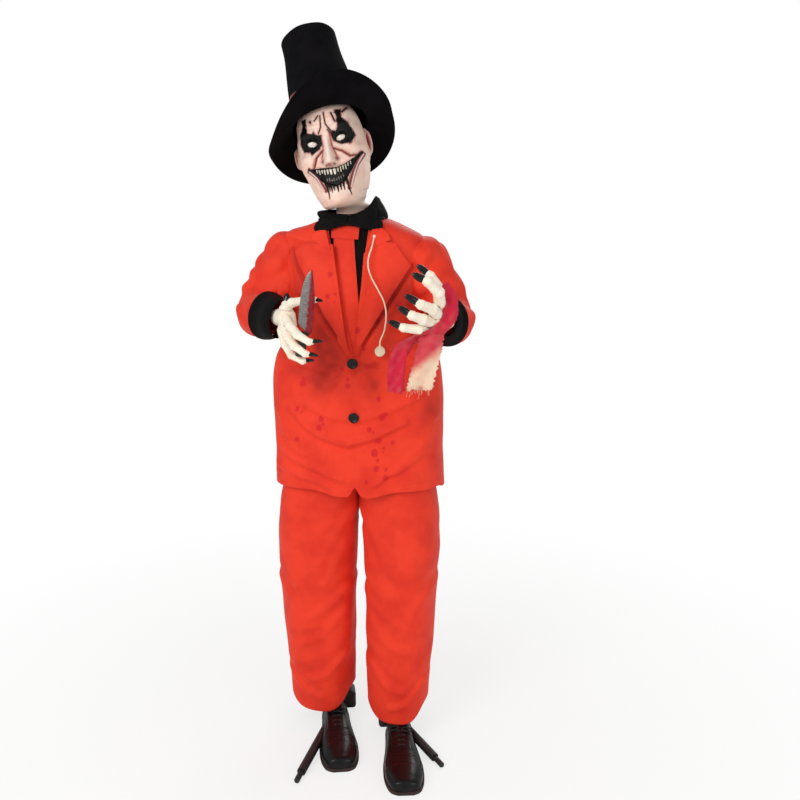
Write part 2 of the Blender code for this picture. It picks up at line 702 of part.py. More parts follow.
def make_box_half(name, facing, plastic):
    """One half of the drive box; facing is -1 for the front half."""
    inner_y = facing * FIT / 2
    outer_y = facing * BOX_HALF_DEPTH
    low_y, high_y = sorted((inner_y, outer_y))
    block = box((-BOX_HALF_WIDTH, low_y, BOX_BOTTOM_Z), (BOX_HALF_WIDTH, high_y, BOX_TOP_Z))
    obj = piece(name, block, plastic)
    wall = BOX_WALL
    low_y, high_y = sorted((-facing * wall, outer_y - facing * wall))
    cut(obj, box((-BOX_HALF_WIDTH + wall, low_y, BOX_BOTTOM_Z + wall),
                 (BOX_HALF_WIDTH - wall, high_y, BOX_TOP_Z - wall)))
    bore_start = Vector((0, 0, BOX_TOP_Z - 2 * wall))
    return cut(obj, rod(bore_start, Vector((0, 0, BOX_TOP_Z + wall)), NECK_SHAFT_RADIUS + FIT))


def make_box_front(plastic):
    obj = make_box_half("box_front", -1.0, plastic)
    centre = speaker_centre()
    for k in range(3):
        lift = Vector((0, 0, (k - 1) * SPEAKER_RADIUS * 0.5))
        half = Vector((SPEAKER_RADIUS * 0.7, 3 * BOX_WALL, SPEAKER_RADIUS * 0.08))
        spot = Vector((centre.x, -BOX_HALF_DEPTH, centre.z)) + lift
        cut(obj, box(spot - half, spot + half))
    return obj


def make_box_back(plastic):
    obj = make_box_half("box_back", 1.0, plastic)
    low, high = door_box()
    gap = Vector((DOOR_GAP, BOX_WALL, DOOR_GAP))
    cut(obj, box(low - gap, high + gap))
    place = switch_place()
    half = Vector((2 * BOX_WALL, SWITCH_STEM / 2 + FIT, (SWITCH_STEM + SWITCH_TRAVEL) / 2 + FIT))
    cut(obj, box(place - half, place + half))
    return obj


def make_door(plastic):
    low, high = door_box()
    obj = piece("battery_door", box(low, high), plastic)
    latch = Vector((0.0, high.y, high.z - LATCH_DROP))
    half = LATCH / 2
    return join(obj, box(latch - half, latch + half))


def make_switch(plastic):
    place = switch_place()
    start = place - Vector((0, 0, SWITCH_TRAVEL / 2))
    knob_half = SWITCH_KNOB / 2
    knob = start + Vector((knob_half.x + FIT, 0, 0))
    obj = piece("power_switch", box(knob - knob_half, knob + knob_half), plastic)
    stem = Vector((BOX_WALL, SWITCH_STEM / 2, SWITCH_STEM / 2))
    return join(obj, box(start - stem, start + stem))


# Drive

def gear_outline(teeth, centre_angle):
    """Trapezoid teeth on the pitch circle, one tooth centred at centre_angle."""
    pitch = GEAR_MODULE * teeth / 2
    tip = pitch + GEAR_MODULE * 0.9
    root = pitch - GEAR_MODULE * 1.15
    half_pitch = math.pi / teeth / 2 - GEAR_BACKLASH / pitch
    points = []
    for k in range(teeth):
        middle = centre_angle + math.tau * k / teeth
        points.append((root, middle - half_pitch * 1.55))
        points.append((tip, middle - half_pitch * 0.50))
        points.append((tip, middle + half_pitch * 0.50))
        points.append((root, middle + half_pitch * 1.55))
    return points


def gear(teeth, centre_angle, centre, thickness):
    outline = gear_outline(teeth, centre_angle)
    rings = []
    for z in (0.0, thickness):
        rings.append([centre + Vector((r * math.cos(a), r * math.sin(a), z)) for r, a in outline])
    return loft(rings, cap_start=True, cap_end=True)


def make_motor(metal):
    x = PINION_X
    bottom = BOX_BOTTOM_Z + BOX_WALL + FIT
    can = rod(Vector((x, 0, bottom)), Vector((x, 0, bottom + MOTOR_HEIGHT)), MOTOR_RADIUS, segments=24)
    obj = piece("motor", can, metal)
    shaft_top = GEAR_Z + GEAR_THICKNESS + MOTOR_SHAFT_PROUD
    return join(obj, rod(Vector((x, 0, bottom)), Vector((x, 0, shaft_top)), MOTOR_SHAFT_RADIUS))


def make_pinion(plastic):
    centre = Vector((PINION_X, 0, GEAR_Z))
    obj = piece("pinion", gear(PINION_TEETH, math.pi, centre, GEAR_THICKNESS), plastic, 25.0)
    up = Vector((0, 0, GEAR_THICKNESS))
    return cut(obj, rod(centre - up, centre + 2 * up, MOTOR_SHAFT_RADIUS + FIT))


def make_neck_shaft(head, plastic):
    """Shaft with its gear moulded on, a bent neck and the plate that carries the skull."""
    bottom = Vector((0, 0, BOX_BOTTOM_Z + BOX_WALL + FIT))
    bend = Vector((0, 0, HEAD_PIVOT_Z))
    start_gear = gear(NECK_TEETH, math.pi / NECK_TEETH, Vector((0, 0, GEAR_Z)), GEAR_THICKNESS)
    obj = piece("neck_shaft", start_gear, plastic, 25.0)
    join(obj, rod(bottom, bend, NECK_SHAFT_RADIUS))
    plate = head @ Vector((0, 0, SKULL_BOTTOM))
    join(obj, capsule(bend, NECK_SHAFT_RADIUS, plate, NECK_SHAFT_RADIUS * 1.3))
    low, high = SKULL_BOTTOM, SKULL_BOTTOM + FLANGE_THICKNESS
    shrink = SKULL_SHRINK + SKULL_WALL + FLANGE_FIT
    rings = [[head @ point for point in mask_ring(w, shrink, MASK_INNER_COLUMNS)] for w in (low, high)]
    return join(obj, loft(rings, cap_start=True, cap_end=True))


def make_battery_pack(plastic):
    wall = BOX_WALL + FIT
    front_y = BOX_HALF_DEPTH - wall - DOOR_SWING_ROOM - BATTERY_PACK.y
    low = Vector((-BATTERY_PACK.x / 2 - BATTERY_OFFSET, front_y, BOX_BOTTOM_Z + wall))
    return piece("battery_pack", box(low, low + BATTERY_PACK), plastic)


def speaker_centre():
    return Vector((SPEAKER_X, 0.0, BOX_BOTTOM_Z + SPEAKER_RISE))


def make_speaker(metal):
    centre = speaker_centre()
    front = Vector((centre.x, -BOX_HALF_DEPTH + BOX_WALL + FIT, centre.z))
    back = front + Vector((0, SPEAKER_DEPTH, 0))
    obj = piece("speaker", rod(front, back, SPEAKER_RADIUS, SPEAKER_RADIUS * 0.6, 20), metal)
    depth = Vector((0, SPEAKER_DEPTH / 2, 0))
    magnet = rod(back - depth / 3, back + depth, SPEAKER_RADIUS * 0.45, segments=20)
    return join(obj, magnet)


def make_board(plastic):
    wall = BOX_WALL + FIT
    low = Vector((-BOX_HALF_WIDTH + wall, -BOARD.y / 2 - BOARD_SHIFT, BOX_BOTTOM_Z + wall))
    return piece("circuit_board", box(low, low + BOARD), plastic)


# Shoulders and arms

def jacket_rise(x):
    """Height of the jacket's shoulder above x, half way from front to back."""
    rows = (
        (JACKET_SHOULDER[0], JACKET_SHOULDER_Z),
        (JACKET_SLOPE[0], JACKET_SLOPE_Z),
        (JACKET_NECK[0], JACKET_NECK_Z),
    )
    for (wide, low), (narrow, high) in zip(rows, rows[1:]):
        if narrow <= x <= wide:
            return low + (high - low) * (wide - x) / (wide - narrow)
    return JACKET_SHOULDER_Z


def make_shoulder_bar(plastic):
    half = Vector((SHOULDER_BAR_WIDTH / 2, SHOULDER_BAR_DEPTH / 2, SHOULDER_BAR_HEIGHT / 2))
    centre = Vector((0, 0, SHOULDER_Z))
    obj = piece("shoulder_bar", box(centre - half, centre + half), plastic)
    end = ARM_HUB_OUTER_X
    join(obj, rod(centre - Vector((end, 0, 0)), centre + Vector((end, 0, 0)), SHOULDER_PIN_RADIUS))
    for sign in SIDES.values():
        bm = bmesh.new()
        for step in (-1, 1):
            x = SHOULDER_POST_X + step * SHOULDER_POST_WIDTH / 2
            top = jacket_rise(x) - CLOTH * SLACK - CLOTH_FIT
            for y in (-SHOULDER_POST_DEPTH / 2, SHOULDER_POST_DEPTH / 2):
                bm.verts.new((sign * x, y, SHOULDER_Z))
                bm.verts.new((sign * x, y, top))
        bmesh.ops.convex_hull(bm, input=bm.verts[:])
        join(obj, bm)
    bore_start = Vector((0, 0, BOX_TOP_Z - BOX_WALL))
    bore_end = Vector((0, 0, SHOULDER_Z + 2 * half.z))
    return cut(obj, rod(bore_start, bore_end, NECK_SHAFT_RADIUS + FIT))


def shoulder(side):
    return Vector((SIDES[side] * (ARM_HUB_OUTER_X - ARM_HUB_WIDTH / 2), 0.0, SHOULDER_Z))


def upper_direction(side):
    return (ELBOW[side] - shoulder(side)).normalized()


def forearm_direction(side):
    return (FOREARM_TOWARDS[side] - ELBOW[side]).normalized()


def elbow_axis(side):
    """Hinge axis; a positive turn folds the arm."""
    return upper_direction(side).cross(forearm_direction(side)).normalized()


def elbow_plane(side, degrees, towards):
    """Direction at an angle from one limb towards the other, in the elbow's plane."""
    upper = -upper_direction(side)
    fore = forearm_direction(side)
    start, other = (fore, upper) if towards == "upper" else (upper, fore)
    across = (other - start * other.dot(start)).normalized()
    angle = math.radians(degrees)
    return start * math.cos(angle) + across * math.sin(angle)


def ear(side, direction, layer):
    """Flat eye and lug at the elbow, on one side of the middle plane."""
    axis = elbow_axis(side)
    elbow = ELBOW[side]
    near = elbow + axis * layer * FIT / 2
    far = elbow + axis * layer * (FIT / 2 + ELBOW_EAR_THICKNESS)
    eye = rod(near, far, ELBOW_EAR_RADIUS, segments=20)
    across = axis.cross(direction)
    frame = Matrix((direction, across, axis)).transposed().to_4x4()
    low_z, high_z = sorted((layer * FIT / 2, layer * (FIT / 2 + ELBOW_EAR_THICKNESS)))
    lug = box((0.0, -ARM_TUBE_RADIUS, low_z), (ELBOW_EAR_LENGTH, ARM_TUBE_RADIUS, high_z),
              Matrix.Translation(elbow) @ frame)
    return eye, lug


def make_upper_arm(side, steel):
    start = shoulder(side)
    elbow = ELBOW[side]
    back = -upper_direction(side)
    tube = rod(start, elbow + back * (ELBOW_EAR_LENGTH * 0.8), ARM_TUBE_RADIUS)
    obj = piece(side + "_upper_arm", tube, steel)
    half = Vector((ARM_HUB_WIDTH / 2, 0, 0))
    join(obj, rod(start - half, start + half, ARM_HUB_RADIUS, segments=20))
    join(obj, *ear(side, back, 1.0))
    axis = elbow_axis(side)
    reach = FIT / 2 + ELBOW_EAR_THICKNESS
    head = reach + FIT
    root = elbow + axis * (FIT / 2 + 0.001)
    join(obj, rod(root, elbow - axis * (head + 0.001), ELBOW_PIN_RADIUS, segments=12))
    join(obj, rod(elbow - axis * head, elbow - axis * (head + ELBOW_PIN_HEAD), ELBOW_PIN_HEAD_RADIUS))
    return cut(obj, rod(start - 2 * half, start + 2 * half, SHOULDER_PIN_RADIUS + FIT))


def make_forearm(side, steel):
    elbow = ELBOW[side]
    forward = forearm_direction(side)
    end = elbow + forward * FOREARM_LENGTH
    tube = rod(elbow + forward * (ELBOW_EAR_LENGTH * 0.8), end, ARM_TUBE_RADIUS)
    obj = piece(side + "_forearm", tube, steel)
    join(obj, *ear(side, forward, -1.0))
    axis = elbow_axis(side)
    return cut(obj, rod(elbow + axis * 0.02, elbow - axis * 0.02, ELBOW_PIN_RADIUS + FIT, segments=12))


def make_upper_sleeve(side, cloth):
    """Cloth round the upper arm, flat against the jacket's side and hollowed for the elbow."""
    head = SLEEVE_HEAD[side]
    elbow = ELBOW[side]
    sign = SIDES[side]
    sleeve = capsule(head, SLEEVE_HEAD_RADIUS, elbow, SLEEVE_ELBOW_RADIUS, 14)
    obj = piece(side + "_upper_sleeve", sleeve, cloth)
    wide = 4 * SLEEVE_HEAD_RADIUS
    inner, outer = sorted((sign * (ARMHOLE_X - wide), sign * (ARMHOLE_X + FIT)))
    cut(obj, box((inner, -wide, SHOULDER_Z - wide), (outer, wide, SHOULDER_Z + wide)))
    cut(obj, ball(elbow, FOREARM_BALL_RADIUS + 6 * FIT, segments=18, rings=10))
    cut(obj, crease_wedge(side, "fore"))
    bore_start = shoulder(side)
    cut(obj, rod(bore_start, elbow, ARM_TUBE_RADIUS + FIT))
    return obj


def crease_wedge(side, towards):
    """Everything past the crease line of one sleeve, as a wide wedge from the elbow's axis."""
    first = CREASE_ANGLE_DEG
    last = ELBOW_BACK_ANGLE_DEG[towards]
    axis = elbow_axis(side)
    elbow = ELBOW[side]
    far = 6 * SLEEVE_HEAD_RADIUS
    steps = 4
    rings = []
    for layer in (-1, 1):
        shift = axis * layer * 2 * SLEEVE_HEAD_RADIUS
        turns = [first + (last - first) * k / steps for k in range(steps + 1)]
        arc = [elbow + elbow_plane(side, turn, towards) * far for turn in turns]
        rings.append([point + shift for point in [elbow] + arc])
    return loft(rings, cap_start=True, cap_end=True)


def make_forearm_sleeve(side, cloth):
    elbow = ELBOW[side]
    end = elbow + forearm_direction(side) * FOREARM_SLEEVE_LENGTH
    far = elbow + forearm_direction(side) * (FOREARM_SLEEVE_LENGTH * 1.6)
    obj = piece(side + "_forearm_sleeve",
                capsule(elbow, FOREARM_BALL_RADIUS, far, FOREARM_SLEEVE_RADIUS, 16), cloth)
    cut(obj, capsule(elbow, FOREARM_BALL_RADIUS - CLOTH, far, FOREARM_SLEEVE_RADIUS - CLOTH, 16))
    cut(obj, rod(end, far + forearm_direction(side) * 0.1, 3 * FOREARM_SLEEVE_RADIUS))
    cut(obj, crease_wedge(side, "upper"))
    return obj


def make_cuff(side, cloth):
    """Shirt cuff, stiffened by a disc round the forearm tube."""
    forward = forearm_direction(side)
    start = ELBOW[side] + forward * (FOREARM_SLEEVE_LENGTH + FIT)
    bore = ARM_TUBE_RADIUS + 1.5 * FIT
    web = CUFF_WALL
    profile = (
        (bore, 0.0), (CUFF_START_RADIUS, 0.0), (CUFF_END_RADIUS, CUFF_LENGTH),
        (CUFF_END_RADIUS - CUFF_WALL, CUFF_LENGTH), (CUFF_START_RADIUS - CUFF_WALL, web), (bore, web),
    )
    return piece(side + "_cuff", turned(profile, start, start + forward, 20), cloth)


# Hands and what they hold

def finger(points, segments=FINGER_SEGMENTS):
    """Tapering limb through joints of (x, y, z, radius), with a rounded start and a pointed end."""
    spots = [Vector(p[:3]) for p in points]
    radii = [p[3] for p in points]
    across = Vector((0.3, 0.2, 1.0))
    rings = []
    for i, spot in enumerate(spots):
        run = (spots[min(i + 1, len(spots) - 1)] - spots[max(i - 1, 0)]).normalized()
        across = (across - run * across.dot(run)).normalized()
        side = run.cross(across)
        turns = [math.tau * k / segments for k in range(segments)]
        rings.append([spot + (across * math.cos(t) + side * math.sin(t)) * radii[i] for t in turns])
    return loft(rings, cap_start=True, cap_end=True)


def make_hand(side, palm, fingers, vinyl):
    forward = forearm_direction(side)
    end = ELBOW[side] + forward * FOREARM_LENGTH
    first = Vector(palm[0][:3])
    wrist = end - forward * WRIST_SOCKET_DEPTH * 0.6
    obj = piece(side + "_hand", capsule(wrist, WRIST_RADIUS, first, palm[0][3], HAND_SEGMENTS), vinyl)
    for a, b in zip(palm, palm[1:]):
        join(obj, capsule(Vector(a[:3]), a[3], Vector(b[:3]), b[3], HAND_SEGMENTS))
    for points in fingers.values():
        root = (*palm[1][:3], points[0][3] * 1.15)
        join(obj, finger((root,) + points))
    cut(obj, rod(end - forward * 0.08, end + forward * FIT, ARM_TUBE_RADIUS + FIT))
    return obj


def knife_frame():
    """Z along the blade, X across it, at its heel."""
    rise = (KNIFE_TIP - KNIFE_HEEL).normalized()
    across = Vector((1, 0, 0))
    across = (across - rise * across.dot(rise)).normalized()
    return Matrix.Translation(KNIFE_HEEL) @ Matrix((across, rise.cross(across), rise)).transposed().to_4x4()


def blade_shape(margin=0.0):
    """Blade with a straight back edge towards +X and a curved edge towards -X."""
    length = (KNIFE_TIP - KNIFE_HEEL).length
    half = BLADE_WIDTH / 2
    outline = [(half, -0.012)]
    outline += [(half * 0.95, length * 0.55), (half * 0.25, length)]
    for k in range(1, 6):
        t = k / 6
        outline.append((half * 0.25 - half * 1.25 * math.sin(t * math.pi / 2), length * (1 - 0.75 * t * t)))
    outline += [(-half, 0.018), (-half * 0.2, -0.004)]
    thick = BLADE_THICKNESS / 2 + margin
    frame = knife_frame()
    rings = [[frame @ Vector((x * (1 + margin / half), y, z)) for x, z in outline] for y in (-thick, thick)]
    return loft(rings, cap_start=True, cap_end=True)


def handle_shape(margin=0.0):
    run = (KNIFE_POMMEL - KNIFE_HEEL).normalized()
    turn = along(KNIFE_HEEL, KNIFE_POMMEL)
    length = (KNIFE_POMMEL - KNIFE_HEEL).length + 2 * margin
    bm = bmesh.new()
    bmesh.ops.create_cone(bm, cap_ends=True, segments=14, radius1=1.0, radius2=1.1, depth=length)
    scale = Matrix.Diagonal((HANDLE_RADII[0] + margin, HANDLE_RADII[1] + margin, 1.0, 1.0))
    bmesh.ops.transform(bm, matrix=turn @ scale, verts=bm.verts[:])
    bmesh.ops.translate(bm, vec=run * HANDLE_SHIFT, verts=bm.verts[:])
    return bm


def make_knife(silver, black):
    handle = piece("knife_handle", handle_shape(), black)
    blade = piece("knife_blade", blade_shape(), silver)
    cut(blade, handle_shape(FIT))
    return blade, handle


def ribbon(route):
    """Open strip through the route's stations."""
    left = []
    right = []
    for centre, across in route:
        half = Vector(across).normalized() * GAUZE_WIDTH / 2
        left.append(Vector(centre) - half)
        right.append(Vector(centre) + half)
    return loft([left, right], closed=False)


def make_gauze(cloth):
    obj = thicken(piece("gauze", ribbon(GAUZE_ROUTE), cloth), GAUZE_THICKNESS, 0.0)
    tail = thicken(piece("tail", ribbon(GAUZE_TAIL_ROUTE), cloth), GAUZE_THICKNESS, 0.0)
    tail_bm = bmesh.new()
    tail_bm.from_mesh(tail.data)
    bpy.data.objects.remove(tail, do_unlink=True)
    return join(obj, tail_bm)


# Jacket, lapels, shirt and tie

def jacket_rows():
    keys = (
        (JACKET_HEM_Z, JACKET_HEM, 4), (JACKET_WAIST_Z, JACKET_WAIST, 1),
        (JACKET_CHEST_Z, JACKET_CHEST, 3), (JACKET_SHOULDER_Z, JACKET_SHOULDER, 1),
        (JACKET_SLOPE_Z, JACKET_SLOPE, 1), (JACKET_NECK_Z, JACKET_NECK, 1),
    )
    rows = []
    for (z, size, steps), (next_z, next_size, _) in zip(keys, keys[1:]):
        for k in range(steps):
            rows.append((z + (next_z - z) * k / steps, blend(size, next_size, k / steps)))
    rows.append((JACKET_NECK_Z, JACKET_NECK))
    return rows


def jacket_surface():
    """Outer face of the jacket, open at the hem and the neck."""
    rings = []
    for z, (half_width, front, back) in jacket_rows():
        sag = max(0.0, (JACKET_WAIST_Z - z) / (JACKET_WAIST_Z - JACKET_HEM_Z))
        ring = []
        for i, point in enumerate(oval(half_width, front, back, JACKET_SQUARENESS, JACKET_COLUMNS)):
            wave = math.cos(JACKET_FOLDS * math.tau * i / JACKET_COLUMNS)
            scale = 1.0 - JACKET_FOLD_DEPTH * sag * (1 - wave) / 2 / point.length
            ring.append(Vector((point.x * scale, point.y * scale, z)))
        rings.append(ring)
    bm = loft(rings)
    bmesh.ops.recalc_face_normals(bm, faces=bm.faces[:])
    bm.normal_update()
    if sum(face.normal.dot(face.calc_center_median().xy.to_3d()) for face in bm.faces) < 0:
        bmesh.ops.reverse_faces(bm, faces=bm.faces[:])
    return bm


def slice_front(bm, start, end, discard):
    """Cut front faces along the line start to end in X and Z; drop the side that discard names."""
    direction = Vector((end[0] - start[0], 0.0, end[1] - start[1])).normalized()
    normal = Vector((direction.z, 0.0, -direction.x))
    geometry = bm.verts[:] + bm.edges[:] + bm.faces[:]
    if discard is None:
        front = [f for f in bm.faces if f.calc_center_median().y < 0]
        edges = list({e for f in front for e in f.edges})
        verts = list({v for f in front for v in f.verts})
        geometry = verts + edges + front
    bmesh.ops.bisect_plane(bm, geom=geometry, dist=1e-6, plane_co=(start[0], 0.0, start[1]), plane_no=normal,
                           clear_outer=discard == "outer", clear_inner=discard == "inner")


def patch(outline, offset):
    """Part of the jacket's front inside a convex outline, moved outwards by offset."""
    bm = jacket_surface()
    back = [f for f in bm.faces if f.calc_center_median().y > 0]
    bmesh.ops.delete(bm, geom=back, context="FACES")
    area = sum(a[0] * b[1] - b[0] * a[1] for a, b in zip(outline, outline[1:] + outline[:1]))
    for start, end in zip(outline, outline[1:] + outline[:1]):
        slice_front(bm, start, end, "outer" if area > 0 else "inner")
    bm.normal_update()
    for vert, normal in [(v, v.normal.copy()) for v in bm.verts]:
        vert.co += normal * offset
    return bm


def opening_lines():
    left = ((OPENING_BOTTOM[0], OPENING_BOTTOM[1]), (OPENING_TOP_HALF, JACKET_NECK_Z))
    right = ((OPENING_BOTTOM[0], OPENING_BOTTOM[1]), (-OPENING_TOP_HALF, JACKET_NECK_Z))
    return left, right


def inside_opening(point):
    rise = point.z - OPENING_BOTTOM[1]
    if point.y > 0 or rise < 0:
        return False
    share = rise / (JACKET_NECK_Z - OPENING_BOTTOM[1])
    low = OPENING_BOTTOM[0] + (-OPENING_TOP_HALF - OPENING_BOTTOM[0]) * share
    high = OPENING_BOTTOM[0] + (OPENING_TOP_HALF - OPENING_BOTTOM[0]) * share
    return low < point.x < high


def make_jacket(cloth):
    bm = jacket_surface()
    for start, end in opening_lines():
        slice_front(bm, start, end, None)
    gone = [f for f in bm.faces if inside_opening(f.calc_center_median())]
    bmesh.ops.delete(bm, geom=gone, context="FACES")
    obj = thicken(open_piece("jacket", bm, cloth), CLOTH, -1.0)
    for sign in SIDES.values():
        centre = Vector((sign * ARMHOLE_X, 0, SHOULDER_Z))
        reach = Vector((8 * CLOTH, 0, 0))
        cut(obj, rod(centre - reach, centre + reach, ARMHOLE_RADIUS, segments=20))
    return obj


def open_piece(name, bm, material):
    """An object from an open surface, whose faces keep their side."""
    mesh = bpy.data.meshes.new(name)
    bm.to_mesh(mesh)
    bm.free()
    mesh.materials.append(material)
    mesh.shade_smooth()
    mesh.set_sharp_from_angle(angle=math.radians(40))
    obj = bpy.data.objects.new(name, mesh)
    bpy.context.scene.collection.objects.link(obj)
    return obj


def make_lapel(side, cloth):
    surface = patch(LAPEL_OUTLINE[side], CLOTH_FIT)
    return thicken(open_piece(side + "_lapel", surface, cloth), LAPEL_THICKNESS, 1.0)


def make_tie(cloth):
    surface = patch(TIE_OUTLINE, -CLOTH - CLOTH_FIT)
    return thicken(open_piece("tie", surface, cloth), TIE_THICKNESS, -1.0)


def make_shirt_front(cloth):
    surface = patch(SHIRT_OUTLINE, -CLOTH - TIE_THICKNESS - 2 * CLOTH_FIT)
    return thicken(open_piece("shirt_front", surface, cloth), SHIRT_THICKNESS, -1.0)


def make_button(name, z, tree, plastic):
    hit, normal, _, _ = tree.ray_cast(Vector((BUTTON_X, -1.0, z)), Vector((0, 1, 0)))
    if normal.y > 0:
        normal = -normal
    back = hit + normal * (FIT + 0.0004)
    front = back + normal * BUTTON_THICKNESS
    return soften(piece(name, rod(back, front, BUTTON_RADIUS, segments=20), plastic), 0.0008, 1)


def collar_point(angle, share, tree):
    """Point on the folded collar: share 0 is the band's bottom, 1 its top edge, 2 the fall's edge."""
    round_back = Vector((math.sin(angle), -math.cos(angle), 0.0))
    end = COLLAR_TOP_Z["front" if math.cos(angle) > 0 else "back"]
    flank = COLLAR_TOP_Z["left" if math.sin(angle) > 0 else "right"]
    top = end * math.cos(angle) ** 2 + flank * math.sin(angle) ** 2
    if share <= 1:
        z = COLLAR_BOTTOM_Z + (top - COLLAR_BOTTOM_Z) * share
        return round_back * COLLAR_RADIUS + Vector((0, 0, z))
    tip = math.radians(COLLAR_TIP_ANGLE_DEG)
    nearness = math.exp(-((abs(angle) - tip) / math.radians(26)) ** 2)
    side_radius = COLLAR_FALL_RADIUS["side"]
    radius = side_radius + (COLLAR_FALL_RADIUS["front"] - side_radius) * nearness
    low_z = JACKET_NECK_Z + (COLLAR_TIP_Z - JACKET_NECK_Z) * nearness
    t = share - 1
    inner = COLLAR_RADIUS + 2.2 * COLLAR_THICKNESS
    point = round_back * (inner + (radius - inner) * t ** 0.6) + Vector((0, 0, top + (low_z - top) * t))
    hit, _, _, _ = tree.ray_cast(Vector((point.x, point.y, 2.0)), Vector((0, 0, -1)))
    if hit:
        point.z = max(point.z, hit.z + COLLAR_SEAT)
    return point


def make_collar(tree, cloth):
    steps = COLLAR_COLUMNS
    gap = math.radians(COLLAR_GAP_DEG)
    shares = (0.0, 1.0, 1.001, 1.2, 1.5, 2.0)
    rings = []
    for share in shares:
        ring = []
        for k in range(steps + 1):
            angle = gap + (math.tau - 2 * gap) * k / steps
            angle = angle if angle <= math.pi else angle - math.tau
            ring.append(collar_point(angle, share, tree))
        rings.append(ring)
    bm = loft(rings, closed=False)
    return thicken(open_piece("shirt_collar", bm, cloth), COLLAR_THICKNESS, 0.0)


# Trousers

def leg_rings(side, inset, drop, reach):
    """Rings of one trouser leg, from below the hem to above the waist."""
    rings = []
    stations = [(HEM_Z[side], LEG_HEM[side], LEG_HEM_DEPTH)]
    if drop:
        stations.insert(0, (HEM_Z[side] - drop, LEG_HEM[side], LEG_HEM_DEPTH))
    knee_steps = TROUSER_ROWS // 2
    for k in range(1, knee_steps + 1):
        t = k / knee_steps
        stations.append((HEM_Z[side] + (KNEE_Z - HEM_Z[side]) * t, blend(LEG_HEM[side], LEG_KNEE[side], t),
                         blend(LEG_HEM_DEPTH, LEG_KNEE_DEPTH, t)))
    for k in range(1, knee_steps + 1):
        t = k / knee_steps
        stations.append((KNEE_Z + (CROTCH_Z - KNEE_Z) * t, blend(LEG_KNEE[side], LEG_TOP[side], t),
                         blend(LEG_KNEE_DEPTH, LEG_TOP_DEPTH, t)))
    sign = SIDES[side]
    waist_centre = sign * WAIST[0] * 0.42
    stations.append((WAISTBAND_Z + reach, (waist_centre, WAIST[0] - abs(waist_centre)), WAIST[1:]))
    for z, (centre, half_width), (front, back) in stations:
        share = max(0.0, min(1.0, (CROTCH_Z - z) / (CROTCH_Z - HEM_Z[side])))
        shift_y = HEM_Y[side] * share
        ring = []
        shape = oval(half_width - inset, front - inset, back - inset, TROUSER_SQUARENESS, TROUSER_COLUMNS)
        for i, point in enumerate(shape):
            wave = math.cos(TROUSER_FOLDS * math.tau * i / TROUSER_COLUMNS)
            bulge = min(1.0, 4 * share * (1.15 - share))
            scale = 1.0 - TROUSER_FOLD_DEPTH * bulge * (1 - wave) / 2 / point.length
            rise = 0.0
            if z < HEM_Z[side] + FIT:
                rise = HEM_SIDE_RISE * (point.x / half_width) ** 4
            ring.append(Vector((centre + point.x * scale, shift_y + point.y * scale, z + rise)))
        rings.append(ring)
    return rings


def make_trousers(cloth):
    obj = piece("trousers", loft(leg_rings("right", 0.0, 0.0, 0.0), True, True), cloth)
    join(obj, loft(leg_rings("left", 0.0, 0.0, 0.0), True, True))
    for side in SIDES:
        cut(obj, loft(leg_rings(side, CLOTH, HEM_SIDE_RISE + CLOTH, CLOTH), True, True))
    return obj


# Shoes

def shoe_ring(distance, half_width, height, base, wider=0.0):
    """Half-round section of the upper, open at the bottom."""
    points = []
    for k in range(SHOE_ARC_POINTS):
        angle = math.pi * k / (SHOE_ARC_POINTS - 1)
        x = (half_width + wider) * signed_power(math.cos(angle), 0.75)
        z = base + (height - base) * math.sin(angle) ** 0.8
        points.append(Vector((x, -distance, z)))
    return points


def make_shoe(side, patent, rubber):
    frame = Matrix.Translation(HEEL[side]) @ foot_frame(side)
    base = SOLE_THICKNESS + 2.5 * FIT
    rings = [[frame @ point for point in shoe_ring(*section, base)] for section in SHOE_SECTIONS]
    bm = loft(rings, closed=False)
    bm.verts.ensure_lookup_table()
    count = SHOE_ARC_POINTS
    bm.faces.new([bm.verts[i] for i in reversed(range(count))])
    last = (len(rings) - 1) * count
    bm.faces.new([bm.verts[last + i] for i in range(count)])
    bmesh.ops.recalc_face_normals(bm, faces=bm.faces[:])
    bm.normal_update()
    top = max(bm.faces, key=lambda f: f.calc_center_median().z)
    if top.normal.z < 0:
        bmesh.ops.reverse_faces(bm, faces=bm.faces[:])
    upper = thicken(open_piece(side + "_shoe_upper", bm, patent), SHOE_WALL, -1.0)
    start, shoulder, _ = outrigger_ends(side, FRONT_TIP[side])
    shoulder.z = OUTRIGGER_RADIUS + FIT
    cut(upper, rod(start, shoulder, OUTRIGGER_RADIUS + SHOE_NOTCH))
    outline = []
    for distance, half_width, _ in SHOE_SECTIONS:
        outline.append((half_width + SOLE_MARGIN, distance))
    outline[0] = (outline[0][0] - SOLE_MARGIN, outline[0][1])
    outline += [(-x, y) for x, y in reversed(outline)]
    rings = [[frame @ Vector((x, -y, z)) for x, y in outline] for z in (0.0, SOLE_THICKNESS)]
    sole = piece(side + "_shoe_sole", loft(rings, True, True), rubber)
    return upper, sole


# Head

def mask_ring(w, inset, columns=MASK_COLUMNS):
    """Ring of the head at a height in the head's frame."""
    rows = MASK_ROWS
    for low, high in zip(rows, rows[1:]):
        if low[0] <= w <= high[0]:
            t = (w - low[0]) / (high[0] - low[0])
            _, half_width, front, back = blend(low, high, t)
            break
    shape = oval(half_width - inset, front - inset, back - inset, MASK_SQUARENESS, columns)
    return [Vector((point.x, point.y, w)) for point in shape]


